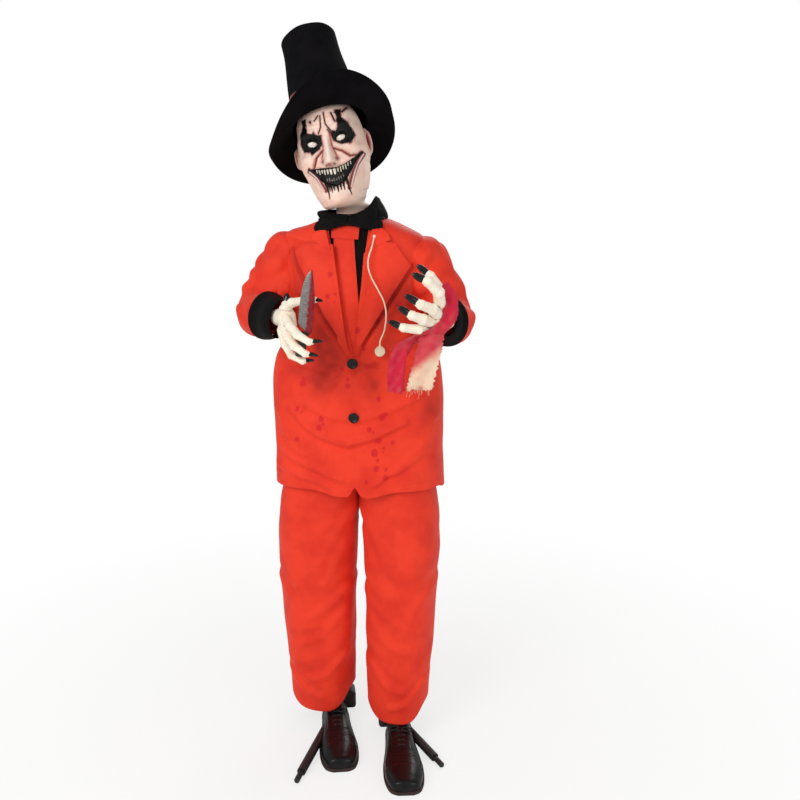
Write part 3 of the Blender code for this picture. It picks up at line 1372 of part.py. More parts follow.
def mask_loft(head, inset, bottom_z, top_drop):
    """Closed form of the mask from the neck to the top of the head."""
    rings = []
    columns = MASK_INNER_COLUMNS if inset else MASK_COLUMNS
    for z in (bottom_z, HEAD_PIVOT_Z + MASK_ROWS[0][0] - 0.008):
        radius = NECK_SKIRT_RADIUS - inset
        rings.append([Vector((p.x, p.y, z)) for p in oval(radius, radius, radius, 2.0, columns)])
    for row in MASK_ROWS[1:-1] if inset else MASK_ROWS:
        w = row[0]
        ring = mask_ring(w, inset, columns)
        drop = top_drop * (w / MASK_ROWS[-1][0]) ** 6
        lift = inset if w < 0.12 else 0.0
        rings.append([head @ (point + Vector((0, 0, lift - drop))) for point in ring])
    return loft(rings, cap_start=True, cap_end=True)


def head_frame():
    tilt = Matrix.Rotation(math.radians(HEAD_TILT_DEG), 4, "Y")
    yaw = Matrix.Rotation(math.radians(HEAD_YAW_DEG), 4, "Z")
    return Matrix.Translation((0, 0, HEAD_PIVOT_Z)) @ tilt @ yaw


def placed(bm, matrix):
    bmesh.ops.transform(bm, matrix=matrix, verts=bm.verts[:])
    return bm


def make_mask(head, vinyl):
    obj = piece("mask", mask_loft(head, 0.0, NECK_SKIRT_BOTTOM_Z, 0.0), vinyl)
    join(obj, placed(capsule(NOSE_TOP, NOSE_TOP_RADIUS, NOSE_TIP, NOSE_TIP_RADIUS, 10), head))
    for sign in SIDES.values():
        centre = Vector((sign * EAR_CENTRE.x, EAR_CENTRE.y, EAR_CENTRE.z))
        join(obj, placed(ball(centre, 1.0, 12, 6, EAR_RADII), head))
    cut(obj, mask_loft(head, MASK_WALL, NECK_SKIRT_BOTTOM_Z - 0.01, MASK_WALL))
    for sign in SIDES.values():
        centre = Vector((sign * EYE_CENTRE.x, EYE_CENTRE.y, EYE_CENTRE.z))
        cut(obj, placed(ball(centre, EYE_RADIUS + FIT, 12, 8), head))
    return obj


def make_eye(side, head, plastic):
    centre = Vector((SIDES[side] * EYE_CENTRE.x, EYE_CENTRE.y, EYE_CENTRE.z))
    return piece(side + "_eye", placed(ball(centre, EYE_RADIUS, 12, 8), head), plastic)


def make_skull(head, plastic):
    """Hollow former inside the mask, open at the bottom."""
    heights = [SKULL_BOTTOM] + [row[0] for row in MASK_ROWS[2:]]
    rings = []
    for w in heights[:-1]:
        drop = SKULL_SHRINK * (w / heights[-1]) ** 6
        ring = mask_ring(w, SKULL_SHRINK, MASK_INNER_COLUMNS)
        rings.append([head @ (point - Vector((0, 0, drop))) for point in ring])
    bm = loft(rings, cap_end=True)
    bmesh.ops.recalc_face_normals(bm, faces=bm.faces[:])
    bm.normal_update()
    top = max(bm.faces, key=lambda f: f.calc_center_median().z)
    if top.normal.z < 0:
        bmesh.ops.reverse_faces(bm, faces=bm.faces[:])
    obj = thicken(open_piece("skull", bm, plastic), SKULL_WALL, -1.0)
    for sign in SIDES.values():
        centre = Vector((sign * EYE_CENTRE.x, EYE_CENTRE.y, EYE_CENTRE.z))
        cut(obj, placed(ball(centre, EYE_RADIUS + EYE_ROOM, 12, 8), head))
    return obj


# Hat

def hat_frame(head):
    lean = Matrix.Rotation(math.radians(-HAT_LEAN_BACK_DEG), 4, "X")
    roll = Matrix.Rotation(math.radians(HAT_ROLL_DEG), 4, "Y")
    return head @ Matrix.Translation(HAT_SEAT) @ roll @ lean


def crown_size(z):
    if z <= CROWN_MIDDLE_Z:
        return blend(CROWN_BASE, CROWN_MIDDLE, z / CROWN_MIDDLE_Z)
    return blend(CROWN_MIDDLE, CROWN_TOP, (z - CROWN_MIDDLE_Z) / (CROWN_HEIGHT - CROWN_MIDDLE_Z))


def crown_ring(z, grow=0.0):
    half_width, half_depth = crown_size(z)
    shape = oval(half_width + grow, half_depth + grow, half_depth + grow, 2.0, HAT_COLUMNS)
    return [Vector((p.x, p.y, z)) for p in shape]


def brim_point(base, share):
    """Point on the brim outwards from a point of the crown's base."""
    angle = math.atan2(base.y, base.x)
    front = max(0.0, -math.sin(angle)) ** 1.6
    back = max(0.0, math.sin(angle)) ** 1.3
    side = 1.0 - front - back
    side_length, side_slope = BRIM_SIDE["left" if base.x > 0 else "right"]
    length = BRIM_FRONT[0] * front + side_length * side + BRIM_BACK[0] * back
    slope = BRIM_FRONT[1] * front + side_slope * side + BRIM_BACK[1] * back
    slope = math.radians(slope * (0.7 + 0.3 * share))
    out = Vector((base.x, base.y, 0.0)).normalized()
    reach = length * share
    return base + out * reach * math.cos(slope) + Vector((0, 0, reach * math.sin(slope)))


def hat_rings():
    base = crown_ring(0.0)
    rings = [[brim_point(point, k / BRIM_ROWS) for point in base] for k in range(BRIM_ROWS, 0, -1)]
    rings += [base, crown_ring(CROWN_MIDDLE_Z)]
    shoulder_z = CROWN_HEIGHT - CROWN_ROUNDING
    rings.append(crown_ring(shoulder_z))
    for k in (1, 2):
        turn = math.pi / 2 * k / 2.3
        ring = crown_ring(shoulder_z, -CROWN_ROUNDING * (1 - math.cos(turn)))
        lift = Vector((0, 0, CROWN_ROUNDING * math.sin(turn)))
        rings.append([point + lift for point in ring])
    return rings


def make_hat(frame, felt):
    rings = [[frame @ point for point in ring] for ring in hat_rings()]
    bm = loft(rings, cap_end=True)
    bmesh.ops.recalc_face_normals(bm, faces=bm.faces[:])
    bm.normal_update()
    top = max(bm.faces, key=lambda f: f.calc_center_median().z)
    if top.normal.z < 0:
        bmesh.ops.reverse_faces(bm, faces=bm.faces[:])
    return thicken(open_piece("hat", bm, felt), HAT_THICKNESS, -1.0)


def make_hat_band(frame, ribbon_cloth):
    inner = FIT
    outer = FIT + BAND_THICKNESS
    low, high = BAND_START_Z, BAND_START_Z + BAND_HEIGHT
    corners = ((low, inner), (low, outer), (high, outer), (high, inner))
    rings = [[frame @ point for point in crown_ring(z, grow)] for z, grow in corners]
    bm = loft(rings + rings[:1])
    bmesh.ops.remove_doubles(bm, verts=bm.verts[:], dist=1e-6)
    return piece("hat_band", bm, ribbon_cloth)


# Pull-cord button

def smooth_route(points, count):
    """Evenly spaced points on a smooth curve through the given points."""
    route = [Vector(p) for p in points]
    route = [route[0] * 2 - route[1]] + route + [route[-1] * 2 - route[-2]]
    fine = []
    for a, b, c, d in zip(route, route[1:], route[2:], route[3:]):
        for k in range(24):
            t = k / 24
            fine.append(0.5 * (2 * b + (c - a) * t + (2 * a - 5 * b + 4 * c - d) * t * t
                               + (3 * b - a - 3 * c + d) * t ** 3))
    fine.append(route[-2])
    lengths = [0.0]
    for a, b in zip(fine, fine[1:]):
        lengths.append(lengths[-1] + (b - a).length)
    even = []
    j = 0
    for k in range(count):
        goal = lengths[-1] * k / (count - 1)
        while j < len(fine) - 2 and lengths[j + 1] < goal:
            j += 1
        span = lengths[j + 1] - lengths[j]
        even.append(fine[j].lerp(fine[j + 1], (goal - lengths[j]) / span))
    return even, lengths[-1]


def make_cord(material):
    points, length = smooth_route(CORD_ROUTE, CORD_POINTS)
    print("cord length", round(length, 4))
    curve = bpy.data.curves.new("cord", "CURVE")
    curve.dimensions = "3D"
    curve.bevel_depth = CORD_RADIUS
    curve.bevel_resolution = 2
    curve.use_fill_caps = True
    spline = curve.splines.new("POLY")
    spline.points.add(len(points) - 1)
    for target, point in zip(spline.points, points):
        target.co = (*point, 1.0)
    curve.materials.append(material)
    obj = bpy.data.objects.new("cord", curve)
    bpy.context.scene.collection.objects.link(obj)
    return obj


def make_gland(plastic):
    """Small ball on the collar that the cord hangs from, flat where the cord meets it."""
    start = Vector(CORD_ROUTE[0])
    run = (Vector(CORD_ROUTE[1]) - start).normalized()
    centre = start - run * (CORD_GLAND_RADIUS * 0.9 + FIT)
    obj = piece("cord_gland", ball(centre, CORD_GLAND_RADIUS, 10, 6), plastic)
    face = start - run * FIT
    return cut(obj, rod(face, face + run * 0.01, 0.01))


def push_centre():
    end = Vector(CORD_ROUTE[-1])
    return end - Vector((0, 0, FIT + PUSH_BOSS_LENGTH + PUSH_RADIUS))


def make_push_button(cream):
    centre = push_centre()
    back = centre + Vector((0, PUSH_DEPTH / 2, 0))
    front = centre - Vector((0, PUSH_DEPTH / 2, 0))
    housing = piece("button_housing", rod(back, front, PUSH_RADIUS, segments=28), cream)
    boss_top = centre + Vector((0, 0, PUSH_RADIUS + PUSH_BOSS_LENGTH))
    join(housing, rod(centre, boss_top, PUSH_BOSS_RADIUS, segments=12))
    floor = front + Vector((0, PUSH_RECESS, 0))
    cut(housing, rod(floor, front - Vector((0, 0.01, 0)), PUSH_CAP_RADIUS + FIT, segments=28))
    cap_back = floor - Vector((0, PUSH_TRAVEL + FIT, 0))
    cap_front = front - Vector((0, PUSH_CAP_PROUD, 0))
    cap = piece("button_cap", rod(cap_back, cap_front, PUSH_CAP_RADIUS, segments=28), cream)
    return housing, cap


def main():
    clear_scene()
    black_steel = new_material("black_steel", "#16140f", 0.55)
    bright_steel = new_material("bright_steel", "#9a9a98", 0.35, 1.0)
    black_plastic = new_material("black_plastic", "#1b1a19", 0.5)
    grey_plastic = new_material("grey_plastic", "#4a4a48", 0.5)
    gear_plastic = new_material("gear_plastic", "#e8e4d8", 0.4)
    board_green = new_material("board_green", "#1f5a34", 0.5)
    suit_cloth = new_material("suit_cloth", "#ee3f2d", 0.75)
    shirt_cloth = new_material("shirt_cloth", "#141214", 0.8)
    patent = new_material("patent_vinyl", "#0c0b0c", 0.12)
    sole_rubber = new_material("sole_rubber", "#2a1b14", 0.5)
    mask_vinyl = new_material("mask_vinyl", "#e9bfae", 0.5)
    hand_vinyl = new_material("hand_vinyl", "#f0e4d0", 0.5)
    eye_plastic = new_material("eye_plastic", "#efe3cf", 0.3)
    former = new_material("former_plastic", "#b9b4a8", 0.6)
    felt = new_material("hat_felt", "#121113", 0.9)
    band_cloth = new_material("band_cloth", "#8c2430", 0.7)
    blade_silver = new_material("blade_silver", "#8f8a86", 0.4)
    gauze_cloth = new_material("gauze_cloth", "#e2405c", 0.85)
    cord_cream = new_material("cord_cream", "#ead9bd", 0.6)
    button_black = new_material("button_black", "#0e0d0e", 0.3)

    for side in SIDES:
        make_foot_hub(side, black_plastic)
        make_outrigger(side + "_front_outrigger", side, FRONT_TIP[side], black_steel)
        make_outrigger(side + "_rear_outrigger", side, REAR_TIP[side], black_steel)
        make_leg_tube(side, black_steel)
        make_shoe(side, patent, sole_rubber)
    make_hip_bar(black_plastic)
    make_spine(black_steel)

    make_box_front(grey_plastic)
    make_box_back(grey_plastic)
    door = make_door(grey_plastic)
    switch = make_switch(black_plastic)
    make_motor(bright_steel)
    pinion = make_pinion(gear_plastic)
    make_battery_pack(black_plastic)
    make_speaker(black_steel)
    make_board(board_green)
    make_shoulder_bar(black_plastic)

    make_jacket(suit_cloth)
    make_lapel("right", suit_cloth)
    make_lapel("left", suit_cloth)
    make_tie(suit_cloth)
    make_shirt_front(shirt_cloth)
    surface = jacket_surface()
    tree = BVHTree.FromBMesh(surface)
    surface.free()
    make_button("upper_button", BUTTON_Z["upper"], tree, button_black)
    make_button("lower_button", BUTTON_Z["lower"], tree, button_black)
    make_collar(tree, shirt_cloth)
    make_trousers(suit_cloth)

    head = head_frame()
    hat = hat_frame(head)
    head_pieces = [
        make_neck_shaft(head, gear_plastic), make_skull(head, former), make_mask(head, mask_vinyl),
        make_eye("right", head, eye_plastic), make_eye("left", head, eye_plastic),
        make_hat(hat, felt), make_hat_band(hat, band_cloth),
    ]
    joint_empty("head_turn_axis", Vector((0, 0, HEAD_PIVOT_Z)), (0, 0, 1), head_pieces)
    joint_empty("pinion_axis", Vector((PINION_X, 0, GEAR_Z)), (0, 0, 1), [pinion])
    joint_empty("door_axis", door_axis(), (1, 0, 0), [door])
    joint_empty("switch_axis", switch_place(), (0, 0, 1), [switch])

    blade, handle = make_knife(blade_silver, black_plastic)
    right_hand = make_hand("right", RIGHT_PALM, RIGHT_FINGERS, hand_vinyl)
    cut(right_hand, handle_shape(FIT), blade_shape(FIT))
    left_hand = make_hand("left", LEFT_PALM, LEFT_FINGERS, hand_vinyl)
    held = {"right": [right_hand, blade, handle], "left": [left_hand, make_gauze(gauze_cloth)]}
    for side in SIDES:
        upper = [make_upper_arm(side, black_steel), make_upper_sleeve(side, suit_cloth)]
        lower = [make_forearm(side, black_steel), make_forearm_sleeve(side, suit_cloth)]
        lower.append(make_cuff(side, shirt_cloth))
        shoulder_empty = joint_empty(side + "_shoulder_axis", shoulder(side), (1, 0, 0), upper)
        elbow_empty = joint_empty(side + "_elbow_axis", ELBOW[side], elbow_axis(side), lower)
        wrist = ELBOW[side] + forearm_direction(side) * FOREARM_LENGTH
        wrist_empty = joint_empty(side + "_wrist_axis", wrist, forearm_direction(side), held[side])
        elbow_empty.parent = shoulder_empty
        elbow_empty.matrix_parent_inverse = shoulder_empty.matrix_basis.inverted()
        wrist_empty.parent = elbow_empty
        wrist_empty.matrix_parent_inverse = elbow_empty.matrix_basis.inverted()

    make_cord(cord_cream)
    make_gland(cord_cream)
    _, cap = make_push_button(cord_cream)
    joint_empty("button_axis", push_centre(), (0, 1, 0), [cap])


main()
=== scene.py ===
# %% [markdown]
# # A life-size clown prop
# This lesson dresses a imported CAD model: a standing figure with a soft mask, a
# felt hat, a polyester suit, moulded hands and patent shoes on a tube stand.
# Places and sizes follow the CAD model and the photograph it was made after.

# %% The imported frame
import math

import bmesh
import bpy
import numpy as np
from mathutils import Matrix, Vector
from mathutils.bvhtree import BVHTree


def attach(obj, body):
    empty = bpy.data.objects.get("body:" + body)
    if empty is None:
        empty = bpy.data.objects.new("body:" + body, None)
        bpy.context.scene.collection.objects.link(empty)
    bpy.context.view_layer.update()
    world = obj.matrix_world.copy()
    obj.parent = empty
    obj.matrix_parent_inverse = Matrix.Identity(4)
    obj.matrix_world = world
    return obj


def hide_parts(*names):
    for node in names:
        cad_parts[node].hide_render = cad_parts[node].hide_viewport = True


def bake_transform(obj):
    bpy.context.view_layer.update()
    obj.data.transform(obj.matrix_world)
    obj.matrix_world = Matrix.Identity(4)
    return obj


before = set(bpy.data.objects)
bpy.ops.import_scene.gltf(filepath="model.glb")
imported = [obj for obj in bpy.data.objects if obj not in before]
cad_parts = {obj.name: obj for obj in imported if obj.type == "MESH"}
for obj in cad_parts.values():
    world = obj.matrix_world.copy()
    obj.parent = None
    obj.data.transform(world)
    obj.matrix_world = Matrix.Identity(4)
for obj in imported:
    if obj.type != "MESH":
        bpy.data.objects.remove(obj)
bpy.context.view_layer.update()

MM = 0.001

# %% [markdown]
# ## The camera
# The photograph was taken from a little above the chest, 2.3 m away and ten
# degrees to the figure's left. A camera is a place, three directions and a
# lens, so it is built from those numbers instead of from a target.

# %% Camera
CAMERA_DISTANCE = 2.3
CAMERA_HEIGHT = 1.4
CAMERA_SIDE_DEG = 10.0
CAMERA_PITCH_DEG = 12.6
CAMERA_ROLL_DEG = 1.2
FOCAL_PIXELS = 925.0
PICTURE_PIXELS = 800.0
AXIS_PIXEL_X = 358.0


def add_camera():
    """A camera at the photograph's place, tipped down and a little rolled, with a sideways shift."""
    side, pitch, roll = (math.radians(a) for a in (CAMERA_SIDE_DEG, CAMERA_PITCH_DEG, CAMERA_ROLL_DEG))
    ahead = Vector((-math.sin(side) * math.cos(pitch), math.cos(side) * math.cos(pitch), -math.sin(pitch)))
    right = Vector((math.cos(side), math.sin(side), 0.0))
    up = right.cross(ahead)
    right, up = right * math.cos(roll) - up * math.sin(roll), right * math.sin(roll) + up * math.cos(roll)
    turn = Matrix((right, up, -ahead)).transposed().to_4x4()
    place = Vector((CAMERA_DISTANCE * math.sin(side), -CAMERA_DISTANCE * math.cos(side), CAMERA_HEIGHT))
    data = bpy.data.cameras.new("camera")
    data.sensor_width = 36.0
    data.lens = FOCAL_PIXELS / PICTURE_PIXELS * data.sensor_width
    data.shift_x = (PICTURE_PIXELS / 2 - AXIS_PIXEL_X) / PICTURE_PIXELS
    camera = bpy.data.objects.new("camera", data)
    camera.matrix_world = Matrix.Translation(place) @ turn
    bpy.context.scene.collection.objects.link(camera)
    bpy.context.scene.camera = camera
    return camera


camera = add_camera()
print("lens %.1f mm" % camera.data.lens)

# %% [markdown]
# ## The try-me cord
# A thin round cord hangs from the collar and carries a push button. A curve
# with a bevel is the natural way to make it: its own line is the centreline.
# The route repeats the CAD route and is evened out into short steps.

# %% Cord


def metres(table):
    """A nested table of millimetres, turned to metres."""
    if isinstance(table, dict):
        return {key: metres(row) for key, row in table.items()}
    return tuple(metres(row) for row in table) if isinstance(table, tuple) else table / 1000


CORD_ROUTE = metres((
    (63.7, -101.6, 1297.4), (60, -113, 1277), (53, -121.5, 1252.5), (53, -125, 1229), (61, -127, 1206),
    (76, -128, 1178), (89.5, -129, 1150), (94, -130, 1120), (89.5, -131, 1085), (80, -132, 1062),
    (78.5, -132, 1056), (78.5, -132, 1050),
))
CORD_DIAMETER = 0.0035
CORD_POINTS = 36


def lengths(arrows):
    return np.linalg.norm(arrows, axis=1)


def reach_along(points):
    """How far along a line each of its points is."""
    return np.concatenate(([0], np.cumsum(lengths(np.diff(points, axis=0)))))


def between(a, b, c, d, t):
    """A place from b (t = 0) to c (t = 1) on a smooth curve through four points."""
    return 0.5 * (2 * b + (c - a) * t + (2 * a - 5 * b + 4 * c - d) * t ** 2 + (3 * b - a - 3 * c + d) * t ** 3)


def smooth_line(points, count):
    """Evenly spaced points on a smooth curve through the given ones."""
    p = np.array(points, float)
    p = np.vstack((2 * p[0] - p[1], p, 2 * p[-1] - p[-2]))
    t = np.linspace(0, 1, 24, endpoint=False)[:, None]
    fine = np.vstack([between(*four, t) for four in zip(p, p[1:], p[2:], p[3:])] + [p[-2:-1]])
    reach = reach_along(fine)
    at = np.linspace(0, reach[-1], count)
    return np.stack([np.interp(at, reach, fine[:, k]) for k in range(3)], axis=1), reach[-1]


def round_cord(name, points, diameter):
    """A curve of one open spline with a round section."""
    curve = bpy.data.curves.new(name, "CURVE")
    curve.dimensions = "3D"
    curve.bevel_depth = diameter / 2
    curve.bevel_resolution = 4
    curve.use_fill_caps = True
    spline = curve.splines.new("POLY")
    spline.points.add(len(points) - 1)
    for spot, point in zip(spline.points, points):
        spot.co = (*point, 1.0)
    obj = bpy.data.objects.new(name, curve)
    bpy.context.scene.collection.objects.link(obj)
    return obj


cord_line, cord_length = smooth_line(CORD_ROUTE, CORD_POINTS)
try_me_cord = round_cord("try_me_cord", cord_line, CORD_DIAMETER)
print("cord length %.4f m" % cord_length)

# %% [markdown]
# ## Colours and nodes
# Colours are written the way a paint chart or a picture editor gives them, and
# one function turns them into the linear values that a shader mixes. One small
# function adds a node, sets it and links it, and every finish below uses it.

# %% Colour and node helpers


def linear(hex_colour):
    """Linear RGBA of an sRGB hex colour."""
    channels = [int(hex_colour[i:i + 2], 16) / 255 for i in (1, 3, 5)]
    return (*(c / 12.92 if c <= 0.04045 else ((c + 0.055) / 1.055) ** 2.4 for c in channels), 1.0)


def node(tree, kind, inputs=None, **settings):
    """Add a node; an input is a constant or another node's output."""
    made = tree.nodes.new("ShaderNode" + kind)
    for name, value in settings.items():
        setattr(made, name, value)
    for name, value in (inputs or {}).items():
        if isinstance(value, bpy.types.NodeSocket):
            tree.links.new(value, made.inputs[name])
        else:
            made.inputs[name].default_value = value
    return made


def new_finish(name, **shader):
    """A new material: its tree, its Principled shader with the constants, and the place on the object."""
    material = bpy.data.materials.new(name)
    material.use_nodes = True
    tree = material.node_tree
    principled = tree.nodes["Principled BSDF"]
    for key, value in shader.items():
        principled.inputs[key.replace("_", " ")].default_value = value
    return material, tree, principled, node(tree, "TexCoord").outputs["Object"]


def noise(tree, place, scale, detail, **more):
    """Cloudy pattern between 0 and 1; its clouds are about 1 / scale metres wide."""
    return node(tree, "TexNoise", {"Vector": place, "Scale": scale, "Detail": detail, **more}).outputs["Fac"]


def relief(tree, height, strength, depth, under=None):
    """A normal with small bumps, over another normal if one is given."""
    inputs = {"Height": height, "Strength": strength, "Distance": depth * MM}
    if under:
        inputs["Normal"] = under
    return node(tree, "Bump", inputs).outputs["Normal"]


def wired(material, tree, shader, colour, normal):
    """The material with its last colour and normal joined to the shader."""
    tree.links.new(colour, shader.inputs["Base Color"])
    tree.links.new(normal, shader.inputs["Normal"])
    return material


def two_tone(tree, factor, low, high):
    """Colour that goes from one paint to another with a factor."""
    mix = node(tree, "Mix", {"Factor": factor}, data_type="RGBA")
    for name, colour in (("A", low), ("B", high)):
        socket = [s for s in mix.inputs if s.name == name and s.type == "RGBA"][0]
        if isinstance(colour, bpy.types.NodeSocket):
            tree.links.new(colour, socket)
        else:
            socket.default_value = linear(colour)
    return [s for s in mix.outputs if s.type == "RGBA"][0]


def ramp(tree, value, low, high):
    """0 below low, 1 above high, smooth between."""
    made = node(tree, "MapRange", {"Value": value, "From Min": low, "From Max": high},
                interpolation_type="SMOOTHSTEP")
    return made.outputs["Result"]


def painted(tree, attribute):
    """A value painted on the mesh."""
    return node(tree, "Attribute", attribute_name=attribute).outputs["Fac"]


def stained(tree, base, *layers):
    """Paints laid over a colour, each where its attribute says."""
    for attribute, colour in layers:
        base = two_tone(tree, painted(tree, attribute), base, colour)
    return base


print("pure red in linear light:", linear("#ff0000"))

# %% [markdown]
# ## Cloth finishes
# The suit and the tie are a cheap satin-faced polyester, the shirt is a dull
# black poplin. Such threads cross every 0.4 mm; they are drawn 1.2 and 1.0 mm
# apart so that a render can hold them. Dye is never even, so a slow noise
# shades the cloth, and painted attributes lay theatre blood over it, with some
# painted shade along the lapel edges and round the sleeve hems.

# %% Woven cloth
# A wave texture of scale 0.314 / p repeats every p metres
WAVE_SCALE = 0.314


def woven(name, colour, shade, thread=1.2 * MM, sheen=0.06, roughness=0.66, shine=0.25, stains=()):
    """Plain-weave cloth with uneven dye, small creases and painted stains."""
    material, tree, shader, place = new_finish(name, Roughness=roughness, Sheen_Weight=sheen,
                                               Sheen_Roughness=0.4, Specular_IOR_Level=shine)
    base = two_tone(tree, ramp(tree, noise(tree, place, 14.0, 3.0), 0.35, 0.7), colour, shade)
    base = stained(tree, base, *stains)
    threads = [node(tree, "TexWave", {"Vector": place, "Scale": WAVE_SCALE / thread, "Distortion": 0.4},
                    bands_direction=direction).outputs["Fac"] for direction in ("X", "Z")]
    weave = node(tree, "Math", dict(enumerate(threads)), operation="MULTIPLY").outputs[0]
    crease = noise(tree, place, 38.0, 5.0, Roughness=0.6)
    return wired(material, tree, shader, base, relief(tree, crease, 0.5, 1.5, relief(tree, weave, 0.12, 0.3)))


# satin-faced: a lit thread edge and a soft sheen make the red glow
# the dark red layer is blood, and also painted shade along the lapel edges and round the sleeve hems
suit_cloth = woven("orange_red_polyester", "#f03c22", "#e0301b", stains=(("blood_and_shade", "#8f120e"), ("drops", "#cf0f22")))
# dull and dense, so that the shirt reads as a dark gap in the red
shirt_cloth = woven("black_poplin", "#0f0d0d", "#080707", thread=1.0 * MM, sheen=0.0, roughness=0.8, shine=0.12)
print("cloth finishes:", suit_cloth.name, shirt_cloth.name)

# %% [markdown]
# ## Felt, ribbon and gauze
# Hat felt is pressed fibre: no threads, only a matt, slightly cloudy surface
# with a soft sheen at grazing angles. The ribbon is a ribbed grosgrain, and the
# gauze is an open weave that has been soaked in stage blood.

# %% Felt, ribbon, gauze


def felted(name, colour, shade):
    """Pressed fibre: matt, cloudy and slightly hairy."""
    material, tree, shader, place = new_finish(name, Roughness=0.95, Specular_IOR_Level=0.08)
    base = two_tone(tree, ramp(tree, noise(tree, place, 22.0, 4.0), 0.3, 0.75), colour, shade)
    hair = noise(tree, place, 900.0, 3.0)
    return wired(material, tree, shader, base, relief(tree, hair, 0.45, 0.4))


def ribbed(name, colour, shade, rib=1.5 * MM):
    """Grosgrain ribbon: fine cross ribs on a soft shine."""
    material, tree, shader, place = new_finish(name, Roughness=0.5, Sheen_Weight=0.2)
    wave = node(tree, "TexWave", {"Vector": place, "Scale": WAVE_SCALE / rib, "Distortion": 0.6},
                bands_direction="DIAGONAL").outputs["Fac"]
    return wired(material, tree, shader, two_tone(tree, wave, shade, colour), relief(tree, wave, 0.4, 0.3))


def gauzy(name, colour, shade, stain):
    """Open cotton weave, soaked in red along the painted attribute."""
    material, tree, shader, place = new_finish(name, Roughness=0.9, Sheen_Weight=0.12, Alpha=0.88)
    base = two_tone(tree, ramp(tree, noise(tree, place, 55.0, 4.0), 0.3, 0.8), colour, shade)
    base = stained(tree, base, ("blood_and_shade", stain))
    # the openings of the weave, drawn 2 mm apart so that they show
    holes = node(tree, "TexVoronoi", {"Vector": place, "Scale": 520.0}).outputs["Distance"]
    return wired(material, tree, shader, base, relief(tree, holes, 0.7, 0.6))


# felt drinks the light, and only its hairs catch a little of it
hat_felt = felted("black_wool_felt", "#100e11", "#080709")
# the ribs give the ribbon a soft gleam across its length
hat_ribbon = ribbed("crimson_grosgrain", "#98232e", "#6d141d")
# thin and pitted, cream where it is dry and crimson where it is wet
gauze_cloth = gauzy("stained_gauze", "#f7dcc0", "#f2b79a", "#d6123a")
print("soft finishes:", hat_felt.name, hat_ribbon.name, gauze_cloth.name)

# %% [markdown]
# ## Moulded and painted skins
# The mask and the hands are soft vinyl cast in a mould and airbrushed: a pale
# satin skin, a thin wash that is mostly painted shade in the hollows, and black
# and red paint laid over it. The paint's place comes from attributes on the mesh.

# %% Airbrushed vinyl


def airbrushed(name, skin, mottled, wash_and_shade):
    """Cast vinyl with a wash of painted shade in its hollows and ink and blood on top."""
    material, tree, shader, place = new_finish(name, Roughness=0.5, Subsurface_Weight=0.08,
                                               Subsurface_Scale=0.004, Specular_IOR_Level=0.25)
    base = two_tone(tree, ramp(tree, noise(tree, place, 60.0, 4.0), 0.45, 0.8), skin, mottled)
    # the wash darkens the skin: painted shade in the hollows, and some darker spots on the face
    soft = node(tree, "Math", {0: painted(tree, "wash_and_shade"), 1: 1.0}, operation="MINIMUM").outputs[0]
    base = two_tone(tree, soft, base, wash_and_shade)
    base = stained(tree, base, ("blood_and_shade", "#8a1420"), ("pale", "#f8e6dc"), ("ink", "#060405"))
    pores = noise(tree, place, 420.0, 3.0)
    return wired(material, tree, shader, base, relief(tree, pores, 0.22, 0.4))


# soft vinyl lets a little light in, which warms the pink skin; its reddish wash is partly painted shade
mask_vinyl = airbrushed("airbrushed_mask_vinyl", "#fbdccb", "#f6cbb8", "#c4705f")
# the same vinyl in bone white, with brown painted shade in the hollows between the knuckles
hand_vinyl = airbrushed("airbrushed_hand_vinyl", "#fbf2df", "#f3dfc6", "#a06a4a")
print("painted skins:", mask_vinyl.name, hand_vinyl.name)

# %% [markdown]
# ## Hard finishes
# The rest is injection-moulded plastic, painted tube, patent vinyl and bare
# metal. Each is the same idea: a base colour with a faint variation, and a
# roughness that small scuffs break up.

# %% Plastics and metals


def moulded(name, colour, shade, roughness=0.45, grain=260.0, strength=0.15, **shader_values):
    """Injection-moulded or painted surface with a fine grain and uneven gloss."""
    material, tree, shader, place = new_finish(name, **shader_values)
    cloud = noise(tree, place, 30.0, 5.0)
    base = two_tone(tree, ramp(tree, cloud, 0.4, 0.72), colour, shade)
    gloss = node(tree, "MapRange", {"Value": cloud, "To Min": max(0.02, roughness - 0.08),
                                    "To Max": roughness + 0.1})
    tree.links.new(gloss.outputs["Result"], shader.inputs["Roughness"])
    return wired(material, tree, shader, base, relief(tree, noise(tree, place, grain, 2.0), strength, 0.3))


